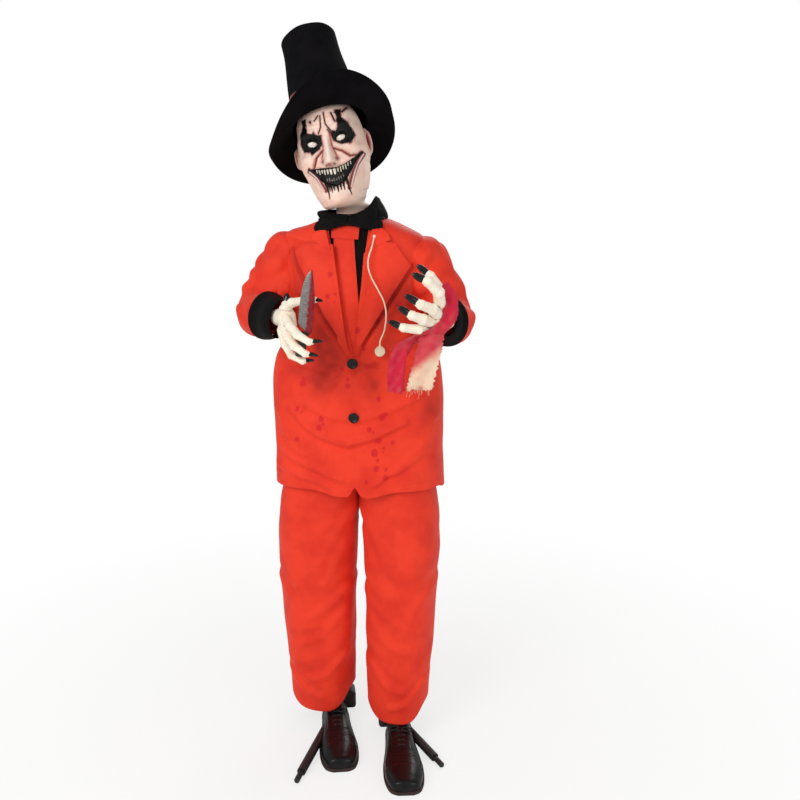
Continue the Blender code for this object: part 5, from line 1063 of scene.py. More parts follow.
def make_collar():
    bm = bent_grid(180, 40, collar_place, closed=False)
    obj = into_mesh("shirt_neck_collar", bm, shirt_cloth)
    walled(obj, 0.0024, offset=0.0, bevel=0.0006)
    worn_by(obj, "root", "shirt_cloth", "shirt_collar")


make_collar()

# %% [markdown]
# ## Sleeves and cuffs
# An arm in a sleeve is a few fat limbs melted together. The voxel remesh makes
# one skin round the shoulder, the upper arm, the elbow and the forearm, and
# wrinkles are pressed into the bend.

# %% Sleeves
ELBOW = {"right": Vector((-0.243, -0.018, 1.112)), "left": Vector((0.234, -0.012, 1.088))}
UPPER_ARM = metres({
    "right": (((-148, 2, 1263, 49), (-173, 2, 1261, 51), (-216, -2, 1188, 56)),
              ((-148, 2, 1195, 52), (-216, -2, 1188, 54))),
    "left": (((148, 2, 1248, 50), (174, 2, 1241, 53), (204, 0, 1178, 56)),
             ((148, 2, 1190, 52), (204, 0, 1178, 54))),
})
# Middle of a sleeve's hem and the way it faces, and the same for the cuff's end
SLEEVE_END = {"right": Vector((-0.193, -0.122, 1.117)), "left": Vector((0.2345, -0.126, 1.105))}
SLEEVE_FACE = {"right": Vector((0.84, -0.53, -0.1)).normalized(), "left": Vector((-0.55, -0.83, 0.06)).normalized()}
FOREARM_BEND = {"right": Vector((-0.229, -0.078, 1.114)), "left": Vector((0.243, -0.074, 1.097))}
CUFF_END = {"right": Vector((-0.1468, -0.187, 1.117)), "left": Vector((0.23, -0.18, 1.115))}
CUFF_FACE = {"right": Vector((0.92, -0.35, -0.12)).normalized(), "left": Vector((-0.4, -0.91, 0.08)).normalized()}
CUFF_RADII = {"right": (0.0585, 0.045), "left": (0.0585, 0.0385)}


def cut_skin(bm, place, keep_side):
    """Cut all of a skin by a plane and drop the side the normal points away from."""
    bmesh.ops.bisect_plane(bm, geom=bm.verts[:] + bm.edges[:] + bm.faces[:], dist=1e-6, plane_co=place,
                           plane_no=keep_side, clear_inner=True)


def make_sleeve(side):
    sign, elbow, end = SIGN[side], ELBOW[side], SLEEVE_END[side]
    middle = Vector(UPPER_ARM[side][0][-1][:3])
    run = (end - elbow).normalized()
    out_of, bend_at = SLEEVE_FACE[side], FOREARM_BEND[side]
    bm = bmesh.new()
    for chain in UPPER_ARM[side]:
        limb(bm, chain + ((*elbow, 0.0575),), 32)
    limb(bm, ((*elbow, 0.056), (*bend_at, 0.0545), (*end, 0.0525), (*(end + out_of * 0.03), 0.0505)), 32)
    skin = melted(bm, 0.0045, 6)
    cut_skin(skin, end, -out_of)
    cut_skin(skin, Vector((sign * 0.15, 0, 0)), Vector((sign, 0, 0)))
    bmesh.ops.subdivide_edges(skin, edges=skin.edges[:], cuts=1, use_grid_fill=True)
    at = places(skin)
    # a sleeve head is deep from front to back, like the armhole it is sewn into
    deep = ease(np.abs(at[:, 0]), 0.232, 0.165) * ease(at[:, 2], 1.1, 1.18)
    at[:, 1] *= 1 + 0.38 * deep
    move_to(skin, at)
    out = normals(skin)
    upper = (middle - elbow).normalized()
    from_elbow = at - np.array(elbow)
    bend, run_at, up_at = (from_elbow @ np.array(way) for way in ((upper + run).normalized(), run, upper))
    turn = np.arctan2(run_at - up_at, np.abs(bend) + 0.02)
    near = bell(lengths(from_elbow) / 0.095)
    folds = 0.0052 * near * np.sin(turn * 8.0 + 1.3) * ease(bend, -0.03, 0.04)
    outside = 0.35 + 0.65 * ease(bend, -0.02, 0.03)
    folds += 0.003 * outside * ripple(run_at + up_at, from_elbow @ np.array(upper.cross(run)), 0.08, 41)
    pleats = np.sin(up_at * 95 - at[:, 1] * 40 + 3 * ripple(at[:, 0], at[:, 1], 0.1, 43))
    folds += 0.0032 * ease(bend, -0.01, 0.03) * pleats * ease(up_at, 0.0, 0.06)
    folds -= 0.0014 * ease(np.abs((at - np.array(end)) @ np.array(out_of) + 0.018), 0.002, 0.0)
    folds *= ease(np.abs(at[:, 0]), 0.152, 0.172)
    move_to(skin, at + out * folds[:, None])
    smoothed(skin, 0.4)
    # the hem is gathered under the turned cuff
    at = places(skin)
    from_end = at - np.array(end)
    ahead_of = from_end @ np.array(out_of)
    off_axis = from_end - ahead_of[:, None] * np.array(out_of)
    too_wide = np.maximum(0, 1 - 0.051 / np.maximum(lengths(off_axis), 1e-6))
    near_hem = ease(ahead_of, -0.026, -0.01) * ease(lengths(from_end), 0.095, 0.08)
    move_to(skin, at - off_axis * (too_wide * near_hem)[:, None])
    face_out(skin)
    obj = into_mesh(side + "_suit_sleeve", skin, suit_cloth)
    at = points_of(obj)
    # painted shade: the sleeve is darker red round its hem, where the cuff grips it
    stain = 0.35 * bell(lengths(at - np.array(end)) / 0.05)
    paint(obj, "blood_and_shade", stain * (0.8 + 0.4 * ripple(at[:, 0], at[:, 2], 0.03, 45)))
    walled(obj, 0.0025)
    worn_by(obj, None, "suit_cloth", side + "_upper_sleeve", side + "_forearm_sleeve")
    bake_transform(obj)


for side in SIGN:
    make_sleeve(side)

# %% Cuffs


def make_cuff(side):
    """A stiff black shirt cuff that grips the sleeve's hem and narrows to the wrist."""
    start, end = SLEEVE_END[side], CUFF_END[side]
    face, end_face = SLEEVE_FACE[side], CUFF_FACE[side]
    wide, narrow = CUFF_RADII[side]
    reach = (end - start).length * 0.5
    # share of the way along the cuff, and how far inwards from its outside
    loop = ((-0.06, 0.0), (0.1, 0.0), (0.3, 0.0), (0.5, 0.0), (0.8, 0.0), (0.985, 0.0), (1.0, 0.0012),
            (0.985, 0.0024), (0.8, 0.0026), (0.5, 0.0026), (0.3, 0.0026), (0.1, 0.0026), (-0.06, 0.0026))

    def place(u, v):
        table = np.array([(k / (len(loop) - 1), *spot) for k, spot in enumerate(loop)])
        along, inwards = rows_at(table, v).T
        t = unit(along)[:, None]
        a, d = np.array(start), np.array(end)
        b, c = a + np.array(face) * reach * 0.7, d - np.array(end_face) * reach * 0.7
        middle = (1 - t) ** 3 * a + 3 * (1 - t) ** 2 * t * b + 3 * (1 - t) * t ** 2 * c + t ** 3 * d
        middle = middle + np.array(face) * np.minimum(along, 0)[:, None] * 0.12
        ahead = np.array(face) * (1 - t) + np.array(end_face) * t
        ahead /= lengths(ahead)[:, None]
        across = np.cross(ahead, (0.0, 0.0, 1.0))
        across /= lengths(across)[:, None]
        up = np.cross(across, ahead)
        angle = math.tau * u
        radius = wide + (narrow - wide) * t[:, 0] - inwards
        radius *= 1 + (0.014 * np.sin(3 * angle + 1.0) + 0.01 * np.sin(5 * angle)) * t[:, 0]
        return middle + across * (radius * np.cos(angle))[:, None] + up * (radius * np.sin(angle))[:, None]

    bm = bent_grid(80, 60, place)
    ends = [e for e in bm.edges if e.is_boundary]
    bmesh.ops.bridge_loops(bm, edges=ends)
    bmesh.ops.recalc_face_normals(bm, faces=bm.faces[:])
    obj = into_mesh(side + "_shirt_cuff", bm, shirt_cloth)
    obj.data.set_sharp_from_angle(angle=math.radians(50))
    worn_by(obj, side + "_fore", "shirt_cloth", side + "_cuff")


for side in SIGN:
    make_cuff(side)

# %% [markdown]
# ## The trousers
# Each leg is a slightly squared tube that hangs from the hip bar and breaks a
# little over the shoe. The two tubes run into each other above the crotch,
# which leaves the centre seam where it is on the real ones.

# %% Trousers
# Height, middle, half width, front and back depth
LEG_ROWS = metres({
    "right": ((55, -109, 83, 92, 92), (300, -114, 95, 98, 92), (635, -101.5, 103.5, 108, 100),
              (775, -66.4, 91.6, 95, 85)),
    "left": ((54, 100, 78, 92, 92), (300, 105, 88, 98, 92), (635, 101.5, 99.5, 108, 100),
             (775, 66.4, 91.6, 95, 85)),
})
HEM_Y = {"right": 0.0, "left": -0.036}
CROTCH_Z = 0.635
HEM_SIDE_RISE = 0.05
LEG_FOLD_SPAN = 0.09
# Line in thousandths of the share round the leg's front and in height, width, height of the fold
LEG_FOLDS = metres((
    (((-900, 400), (-300, 350), (100, 325)), 13, 5), (((-700, 330), (-200, 270), (300, 250)), 12, 4.5),
    (((900, 420), (500, 370), (200, 300)), 13, 4.5), (((-800, 210), (-300, 160), (200, 145)), 12, 5),
    (((800, 150), (400, 110), (-100, 95)), 10, 4), (((-1000, 630), (-500, 540), (-100, 460)), 12, 4.5),
    (((-900, 560), (-600, 480), (-400, 420)), 10, 3.5), (((500, 600), (400, 500), (600, 430)), 12, 3.5),
    (((100, 560), (0, 400), (-100, 170)), 12, 3),
))


def make_leg(side):
    rows = LEG_ROWS[side]
    low, high = rows[0][0], rows[-1][0]
    seed = 51 if side == "right" else 57

    def place(u, v):
        angle = -math.pi / 2 + math.tau * u
        z = low + (high - low) * v
        middle, half_width, front, back = rows_at(rows, z).T
        x, y = oval_point(angle, half_width, front, back, 2.5)
        share = unit((CROTCH_Z - z) / (CROTCH_Z - low))
        facing = x / half_width * SIGN[side]
        push = 0.003 * share * np.sin(5 * angle + 3 * ripple(z, 0 * z, 0.6, seed))
        push += 0.0025 * ripple(x + 0.6 * y, z, 0.12, seed + 1) * ease(share, 0, 0.15)
        for line, width, height in LEG_FOLDS:
            line = [(a * LEG_FOLD_SPAN, b) for a, b in line]
            near = stroke(facing * LEG_FOLD_SPAN, z, line, width)
            under = stroke(facing * LEG_FOLD_SPAN, z - 0.018, line, width * 1.2)
            push += height * (near - 0.7 * under) * np.where(y < 0, 1.0, 0.7)
        push -= 0.0012 * ease(np.abs(z - low - 0.03), 0.002, 0.0)
        scale = 1 + push / np.hypot(x, y)
        rise = HEM_SIDE_RISE * np.abs(x / half_width) ** 4 * ease(z, low + 0.2, low)
        return np.stack((middle + x * scale, HEM_Y[side] * share + y * scale, z + rise), axis=1)

    return bent_grid(150, 230, place)


def make_trousers():
    legs = [make_leg(side) for side in SIGN]
    for bm in legs:
        face_out(bm)
    obj = into_mesh("suit_trousers", merged(legs), suit_cloth)
    walled(obj, 0.003)
    worn_by(obj, "root", "suit_cloth", "trousers")


make_trousers()

# %% [markdown]
# ## The hat
# Felt is blocked over a form, so the hat is one skin from the brim's edge up
# the crown to its rounded top. The brim turns up in front and droops at the
# back, by a slope that changes with the direction.

# %% Hat
HEAD = Matrix.Translation((0, 0, 1.29)) @ tilted(-12.5, "Y") @ tilted(4.0, "Z")
HAT = HEAD @ Matrix.Translation((0.004, 0.004, 0.2715)) @ tilted(-3.0, "Y") @ tilted(-20.0, "X")
# Height, half width and half depth
CROWN_ROWS = metres(((0, 94, 111), (30, 85.5, 102), (105, 78, 92), (190, 69, 74), (246, 67.5, 62)))
CROWN_HEIGHT = 0.246
CROWN_ROUNDING = 0.014
# Shares of the skin where the brim ends and the crown's wall ends, and of the top that is rounded
BRIM_SHARE, WALL_SHARE, ROUNDED_SHARE = 0.42, 0.86, 0.45


def turned_points(matrix, x, y, z):
    return np.stack((x, y, z), axis=1) @ np.array(matrix.to_3x3()).T + np.array(matrix.translation)


def hat_place(u, v):
    angle = math.tau * u
    rise = unit((v - BRIM_SHARE) / (WALL_SHARE - BRIM_SHARE)) * (CROWN_HEIGHT - CROWN_ROUNDING)
    half_width, half_depth = rows_at(CROWN_ROWS, rise).T
    over = unit((v - WALL_SHARE) / (1 - WALL_SHARE))
    bend = unit(over / ROUNDED_SHARE) * math.pi / 2
    inwards = CROWN_ROUNDING * (1 - np.cos(bend))
    flat = unit((over - ROUNDED_SHARE) / (1 - ROUNDED_SHARE))
    shrink = (1 - flat) * (1 - inwards / 0.066)
    x = half_width * np.cos(angle) * shrink
    y = half_depth * np.sin(angle) * shrink
    z = rise + CROWN_ROUNDING * np.sin(bend) - 0.004 * ease(flat, 0.1, 1.0)
    # the brim, outwards from the crown's base
    share = unit(1 - v / BRIM_SHARE)
    _, foot_width, foot_depth = CROWN_ROWS[0]
    base_angle = np.arctan2(foot_depth * np.sin(angle), foot_width * np.cos(angle))
    left = ease(np.cos(base_angle), -0.35, 0.15)
    # it turns up highest a little to the left of the middle
    front = np.maximum(0, np.cos(base_angle - math.radians(-66.0))) ** 2.6
    back = np.maximum(0, np.sin(base_angle)) ** 1.3 * (1 - front)
    side = 1 - front - back
    length = 0.081 * front + (0.074 - 0.016 * left) * side + 0.096 * back
    slope = 36.0 * front + (-31.0 + 18.0 * left) * side - 48.0 * back
    slope = np.radians(slope * (0.7 + 0.3 * share))
    reach = length * share
    x = x + np.cos(base_angle) * reach * np.cos(slope)
    y = y + np.sin(base_angle) * reach * np.cos(slope)
    z = z + reach * np.sin(slope) + 0.0025 * share * np.sin(4 * base_angle + 0.8)
    dents = 0.0018 * ripple(angle * 0.09, rise, 0.11, 61) * ease(rise, 0.03, 0.08) * (over < 0.4)
    scale = 1 + dents / 0.08
    return turned_points(HAT, x * scale, y * scale, z)


def make_hat():
    bm = bent_grid(150, 120, hat_place)
    bmesh.ops.remove_doubles(bm, verts=bm.verts[:], dist=2e-5)
    face_out(bm, HAT @ Vector((0, 0, 0.02)))
    bm.normal_update()
    top = max(bm.faces, key=lambda f: f.calc_center_median().z)
    if top.normal.z < 0:
        bmesh.ops.reverse_faces(bm, faces=bm.faces[:])
    obj = into_mesh("top_hat", bm, hat_felt)
    walled(obj, 0.0025, bevel=0.0008)
    worn_by(obj, "head", "hat_felt", "hat")


def band_place(u, v):
    angle = math.tau * u
    ribbon = 0.0008 + 0.0006 * np.cos(math.pi * (v - 0.5)) + 0.0006 * np.sin(7 * angle) ** 8
    # the ribbon has slipped up on the hat's right side
    rise = 0.021 + 0.018 * np.cos(angle - 3.4) + (0.032 + 0.006 * np.cos(angle - 3.4)) * v
    half_width, half_depth = rows_at(CROWN_ROWS, rise).T
    return turned_points(HAT, (half_width + ribbon) * np.cos(angle), (half_depth + ribbon) * np.sin(angle),
                         rise + 0.0015 * np.sin(2 * angle))


def make_band():
    bm = bent_grid(150, 10, band_place)
    face_out(bm, HAT @ Vector((0, 0, 0.02)))
    obj = into_mesh("hat_ribbon", bm, hat_ribbon)
    walled(obj, 0.001, offset=1.0, bevel=0.0003)
    worn_by(obj, "head", "band_cloth", "hat_band")


make_hat()
make_band()

# %% [markdown]
# ## The mask
# The mask is a dense sheet wrapped round the head's outline. Its form is
# sculpted by soft brushes in the picture plane of the face: a brow, sunk
# sockets, a long nose, round cheeks and a wide mouth. The same brushes paint
# the ink, the red, a painted highlight down the nose and a wash that is partly
# painted shade in the grooves, so paint and form stay together. Places are
# in millimetres, across the face and up from the head's pivot.

# %% Mask outline
# Height, half width, front and back depth
MASK_ROWS = metres((
    (84, 46, 108, 50), (98, 59, 124, 66), (128, 72, 122, 80), (158, 80, 117, 88), (190, 83, 113, 91),
    (222, 82, 106, 92), (252, 80, 107, 90), (282, 74, 100, 84), (308, 62, 84, 72), (326, 43, 58, 52),
    (335, 18, 26, 24),
))
EYE = (0.034, -0.0905, 0.233)
EYE_RADIUS = 0.0125


def mask_stations(angle):
    """Rings from the neck to the crown, each in the head's frame, at the given angles."""
    back_to_head = HEAD.inverted()
    rings = []
    for z in (1.338, 1.366):
        x, y = oval_point(angle, 0.044, 0.044, 0.044, 2.0)
        rings.append(turned_points(back_to_head, x, y, np.full(x.shape, z)))
    for w, half_width, front, back in MASK_ROWS:
        x, y = oval_point(angle, half_width, front, back, 2.2)
        rings.append(np.stack((x, y, np.full(x.shape, w)), axis=1))
    rings.append(np.stack((0 * angle, 0 * angle, np.full(angle.shape, 0.337)), axis=1))
    return np.stack(rings)


def mask_place(u, v):
    s = 2 * u - 1
    angle = -math.pi / 2 + math.pi * (0.34 * s + 0.66 * s ** 3)
    rings = mask_stations(angle)
    front = mask_stations(np.array([-math.pi / 2 - 0.6]))[:, 0]
    reach = reach_along(front)
    t = np.interp(v * reach[-1], reach, np.arange(len(reach)))
    k = np.clip(np.floor(t).astype(int), 0, len(reach) - 2)
    f = (t - k)[:, None]
    n = np.arange(len(u))
    return between(rings[np.maximum(k - 1, 0), n], rings[k, n], rings[k + 1, n],
                   rings[np.minimum(k + 2, len(reach) - 1), n], f)


print("mask rows:", len(MASK_ROWS))

# %% Face drawing
MOUTH_TOP = ((-55, 179), (-42, 176), (-29, 174), (-9, 170), (10, 167), (27, 170), (41, 175), (54, 182), (68, 190))
MOUTH_LOW = ((68, 190), (56, 173), (43, 156), (25, 135), (1, 128), (-20, 138), (-35, 152), (-46, 166))
EYE_PATCHES = (
    ((-50, 294), (-48, 279), (-61, 260), (-65, 239), (-59, 222), (-44, 217), (-39, 209), (-32, 214), (-19, 218),
     (-11, 229), (-8, 245), (-19, 251), (-23, 258), (-27, 253), (-37, 259), (-40, 270), (-38, 292)),
    ((31, 298), (46, 296), (44, 278), (53, 264), (62, 249), (66, 232), (56, 221), (49, 214), (46, 218), (34, 219),
     (17, 229), (13, 243), (18, 251), (27, 249), (32, 258), (32, 271), (35, 280)),
)
INK_LINES = (
    (((-2, 292), (-5, 267), (-13, 252)), 0.9), (((7, 298), (7, 270), (16, 251)), 0.9),
    (((-7, 292), (-17, 283)), 1.0), (((24, 292), (29, 271)), 1.3), (((48, 290), (58, 298)), 1.6),
    (((-8, 246), (-21, 248)), 1.0), (((-28, 283), (-27.5, 282)), 1.8), (((14, 247), (9, 256)), 1.0),
)
DRIPS = (((-22, 140), (-20, 104)), ((-11, 134), (-11, 116)), ((-4, 132), (-5, 119)), ((4, 130), (4, 114)),
         ((12, 132), (12, 117)), ((20, 136), (20, 116)), ((29, 140), (32, 103)), ((-16, 137), (-16, 120)))
GASHES = (((-54, 176), (-41, 156), (-27, 124)), ((67, 186), (54, 159), (38, 130), (32, 119)))
LAUGH_LINES = (((-13, 214), (-30, 202), (-43, 179)), ((14, 213), (31, 203), (46, 188), (66, 187)))
MOUTH = MOUTH_TOP + MOUTH_LOW[1:]
# Brows, chin, forehead and upper lip: height, line, width
FACE_STROKES = (
    (4.5, ((-54, 258), (-30, 259), (-11, 247)), 7), (4.5, ((12, 250), (30, 263), (56, 264)), 7),
    (2.0, ((-34, 108), (0, 93), (36, 108)), 8),
    *((-1.0, ((-34, w + 2), (0, w - 2), (36, w + 3)), 1.8) for w in (266, 276, 287)),
    *((-0.9, ((k, 166), (k * 0.8, 172)), 1.2) for k in (-15, -9, -3, 4, 10, 16)),
)
# Sockets, cheeks, hollows, temples and chin: height, middle, radius, stretch
FACE_DABS = (
    (-6.5, (-34, 231), 17, 0.85), (-6.5, (34, 231), 17, 0.85),
    (8.5, (-56, 201), 16, 0.85), (8.5, (58, 206), 16, 0.85),
    (-8, (-66, 150), 20, 1), (-8, (70, 148), 22, 1), (-4, (-72, 265), 14, 1), (-4, (72, 265), 14, 1),
    (6, (2, 100), 18, 0.7), (3, (0, 116), 9, 0.6),
)
WASH_SPOTS = ((-60, 214), (62, 214), (0, 258), (-52, 150), (58, 150), (4, 96), (-30, 190), (30, 193))


def face_form(x, w):
    """How far the face stands out from the plain head, in millimetres."""
    out = sum(height * stroke(x, w, line, width) for height, line, width in FACE_STROKES)
    out += sum(height * dot(x, w, *dab) for height, *dab in FACE_DABS)
    for line in LAUGH_LINES:
        out += -4.2 * stroke(x, w, line, 2.8) + 2.5 * stroke(x - np.sign(line[0][0]) * 5, w, line, 4.5)
    for line in GASHES:
        side = np.sign(line[0][0])
        out += -4.0 * stroke(x, w, line, 3.6, 0.4) + 3.0 * stroke(x - side * 8, w, line, 2.6)
        out += 2.4 * stroke(x + side * 6, w, line, 2.0)
    for line, _ in INK_LINES[:2]:
        out -= 1.8 * stroke(x, w, line, 1.6)
    mouth = outline_distance(x, w, MOUTH)
    out += 3.0 * bell((mouth - 2.2) / 2.6) - 5.5 * ease(mouth, 1.5, -3.0)
    return out + sum(stroke(x, w, line, 1.8) for line in DRIPS)


def nose_form(x, w):
    """The long nose, in millimetres."""
    t = unit((245 - w) / 62)
    out = 33.0 * t ** 0.8 * ease(w, 167, 180) * np.exp(-np.abs(x / (6.8 + 5.0 * t)) ** 3.0)
    for wing in (-12.0, 12.0):
        out += 10.0 * dot(x, w, (wing * 1.15, 186), 5.6, 1.1) - 6.0 * dot(x, w, (wing * 0.72, 175.5), 3.0, 0.8)
    return out


def face_paint(x, w):
    """Ink, blood, pale touches and a wash on the face; the wash is partly painted shade in the grooves, and one pale
    touch is a painted highlight on the nose.
    """
    rough, fine = ripple(x, w, 7.0, 71), ripple(x, w, 2.6, 73)
    layers = {name: np.zeros(x.shape) for name in ("ink", "blood_and_shade", "wash_and_shade", "pale")}

    def lay(name, amount):
        layers[name] = np.maximum(layers[name], amount)

    mouth = outline_distance(x, w, MOUTH)
    lay("ink", ease(mouth + 0.5 * rough, 3.2, 1.6))
    for patch in EYE_PATCHES:
        away = outline_distance(x, w, patch) + 1.9 * rough + 1.2 * fine
        lay("ink", ease(away, 1.0, -0.6))
        lay("blood_and_shade", 0.85 * ease(away, 4.6, 0.4) * ease(rough, -0.6, 0.3))
    for line, width in INK_LINES:
        lay("ink", 0.95 * ease(line_distance(x, w, line)[0] + 0.4 * fine, width * 2.1, width * 0.9))
        lay("blood_and_shade", 0.7 * stroke(x, w, line, width * 3.0))
    for line in DRIPS:
        away, along = line_distance(x, w, line)
        lay("ink", ease(away + 2.6 * along + 0.4 * fine, 4.8, 3.0))
    for line in GASHES:
        away, along = line_distance(x, w, line)
        side = np.sign(line[0][0])
        lay("blood_and_shade", 0.95 * ease(away + 2.0 * along + 0.6 * fine, 9.6, 5.6))
        lay("pale", 0.9 * stroke(x - side * 4.5, w, line, 1.4, 0.3))
        lay("pale", 0.8 * stroke(x + side * 3.8, w, line, 1.2, 0.3))
        lay("ink", 0.8 * ease(np.abs(away - 6.5) + 2.2 * along, 1.6, 0.4) * (along < 0.8))
    for line in LAUGH_LINES:
        # painted shade in the grooves of the laugh lines
        lay("wash_and_shade", 0.9 * stroke(x, w, line, 4.5))
        lay("blood_and_shade", 0.9 * stroke(x, w, line, 2.3))
        lay("ink", 0.55 * stroke(x, w, line, 1.1))
    for side, line in ((-1, ((-10, 246), (-10, 220), (-18, 196))), (1, ((11, 248), (11, 220), (17, 194)))):
        lay("blood_and_shade", 0.75 * stroke(x, w, line, 1.7))
        # painted shade along the sides of the nose
        lay("wash_and_shade", 0.8 * stroke(x, w, line, 4.5))
        lay("blood_and_shade", 0.95 * dot(x, w, (side * 17.5, 188), 5.0, 1.1))
        lay("ink", 0.9 * dot(x, w, (side * 10.0, 177), 3.0, 0.8))
    lay("blood_and_shade", 0.8 * dot(x, w, (-1, 178), 7.5, 0.6))
    # painted highlight: a pale stroke down the bridge of the nose
    lay("pale", 0.9 * stroke(x, w, ((0, 240), (1, 200), (0, 188)), 3.0))
    # soft darker spots of the wash round the face
    for k, spot in enumerate(WASH_SPOTS):
        lay("wash_and_shade", (0.22 + 0.04 * (k % 3)) * dot(x, w, spot, 12))
    # painted shade in the crease round the lips
    lay("wash_and_shade", 0.55 * bell((mouth - 4.5) / 3.0))
    layers["wash_and_shade"] *= 0.75 + 0.3 * rough
    return layers


def tree_of(obj):
    """A search tree of a finished piece, in the world's frame."""
    bpy.context.view_layer.update()
    world = obj.matrix_world
    spots = [world @ v.co for v in obj.data.vertices]
    return BVHTree.FromPolygons(spots, [tuple(p.vertices) for p in obj.data.polygons])


def off_surface(points, tree, clearance, reach=0.02):
    """Move points that are in a body, or too near it, out to the clearance."""
    moved = points.copy()
    for k, point in enumerate(points):
        spot, normal, _, _ = tree.find_nearest(Vector(point), reach)
        if spot is not None and (Vector(point) - spot).dot(normal) < clearance:
            moved[k] = spot + normal * clearance
    return moved


FORMER_GAP = 0.0025
RAY_LENGTH = 0.2


def round_former(at):
    """Keep the jaw and the cheeks of the mask just outside the former, in the head's frame."""
    tree = tree_of(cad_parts["skull"])
    for k in np.nonzero((at[:, 2] > 0.085) & (at[:, 2] < np.where(np.abs(at[:, 0]) > 0.04, 0.2, 0.192)))[0]:
        away = Vector((at[k, 0], at[k, 1], 0.0))
        start = HEAD @ (Vector((0.0, 0.0, at[k, 2])) + away.normalized() * RAY_LENGTH)
        hit = tree.ray_cast(start, HEAD.to_3x3() @ -away, RAY_LENGTH)[3]
        if hit is not None and away.length < RAY_LENGTH - hit + FORMER_GAP:
            at[k, :2] *= (RAY_LENGTH - hit + FORMER_GAP) / away.length
    return at


LID_THICKNESS = 1.7
EYE_SLANT = math.radians(10.0)


def make_mask():
    bm = bent_grid(340, 290, mask_place)
    bmesh.ops.remove_doubles(bm, verts=bm.verts[:], dist=2e-5)
    face_out(bm, (0, 0, 0.2))
    at = places(bm)
    out = normals(bm)
    x, w = at[:, 0] * 1000, at[:, 2] * 1000
    facing = ease(-at[:, 1], 0.0, 0.045) * ease(w, 70, 92)
    at = at + out * (face_form(x, w) * facing * MM)[:, None]
    at[:, 0] *= 1 - (0.05 + 0.06 * (x > 0)) * ease(w, 186, 150) * ease(w, 84, 100)
    at[:, 1] -= nose_form(x, w) * facing * MM
    # lids lie on the eyeball round a slanted opening, which sinks behind it
    shell = EYE_RADIUS / MM + LID_THICKNESS
    for side in (-1.0, 1.0):
        dx, dw = at[:, 0] / MM - side * EYE[0] / MM, at[:, 2] / MM - EYE[2] / MM
        a = dx * side * math.cos(EYE_SLANT) + dw * math.sin(EYE_SLANT)
        b = -dx * side * math.sin(EYE_SLANT) + dw * math.cos(EYE_SLANT)
        away = np.hypot(dx, dw)
        lid = EYE[1] - np.sqrt(np.maximum(shell ** 2 - away ** 2, 0)) * MM
        near = (away < shell) & (facing > 0.5)
        at[:, 1] = np.where(near, np.minimum(at[:, 1], lid), at[:, 1])
        opening = (a / 11.0) ** 2 + (b / np.where(b > 0, 5.2, 6.4)) ** 2
        sunk = EYE[1] + (3.0 - np.sqrt(np.maximum((EYE_RADIUS / MM) ** 2 - away ** 2, 0))) * MM
        hole = ease(opening, 1.06, 0.94) * (facing > 0.5)
        at[:, 1] = at[:, 1] * (1 - hole) + sunk * hole
    layers = face_paint(x, w)
    move_to(bm, turned_points(HEAD, *round_former(at).T))
    obj = into_mesh("clown_mask", bm, mask_vinyl)
    for name, values in layers.items():
        paint(obj, name, values * (facing > 0.02))
    worn_by(obj, "head", "mask_vinyl", "mask")


make_mask()

# %% [markdown]
# Eyes, ears and teeth are separate castings. The eyes are blank enamelled
# balls. Teeth are small cones rooted behind the lips, big and pale above and
# short and grey below.

# %% Eyes and ears


def make_eye(side):
    bm = bmesh.new()
    middle = Matrix.Translation((SIGN[side] * EYE[0], EYE[1], EYE[2]))
    bmesh.ops.create_uvsphere(bm, u_segments=40, v_segments=24, radius=EYE_RADIUS, matrix=HEAD @ middle)
    obj = into_mesh(side + "_eyeball", bm, HARD_FINISHES["eye_enamel"])
    worn_by(obj, "head", "eye_plastic", side + "_eye")


def make_ear(side):
    """A flattened ball with a raised rim and a hollow, pale outside and red within."""
    bm = bmesh.new()
    bmesh.ops.create_uvsphere(bm, u_segments=48, v_segments=32, radius=1.0)
    at = places(bm)
    y, z = at[:, 1], at[:, 2]
    outer = ease(at[:, 0] * SIGN[side], 0.0, 0.5)
    ring = np.hypot(y / 0.95, z)
    hollow = bell(np.hypot(y + 0.15, z * 0.8 - 0.05) / 0.42)
    rim = bell((ring - 0.72) / 0.13)
    at = at * np.array((0.01, 0.021, 0.034 if side == "left" else 0.027))
    at[:, 1] += 0.004 * (z > 0) * z ** 2
    at[:, 1] *= 1 - 0.25 * unit(-z)
    at[:, 0] += SIGN[side] * outer * (0.003 * rim - 0.0085 * hollow)
    move_to(bm, at)
    turn = tilted(-18.0 * SIGN[side], "Z")
    place = HEAD @ Matrix.Translation((0.0805 if side == "left" else -0.0855, 0.006, 0.216)) @ turn
    bmesh.ops.transform(bm, matrix=place, verts=bm.verts[:])
    obj = into_mesh(side + "_ear", bm, mask_vinyl)
    # painted shade: a little ink and the wash darken the hollow; the red inside is paint
    paint(obj, "ink", 0.25 * hollow * outer)
    paint(obj, "blood_and_shade", unit(hollow * 2.2) * outer)
    paint(obj, "wash_and_shade", 0.5 * (1 - rim) * outer)
    worn_by(obj, "head", "mask_vinyl")


for side in SIGN:
    make_eye(side)
for side in SIGN:
    make_ear(side)

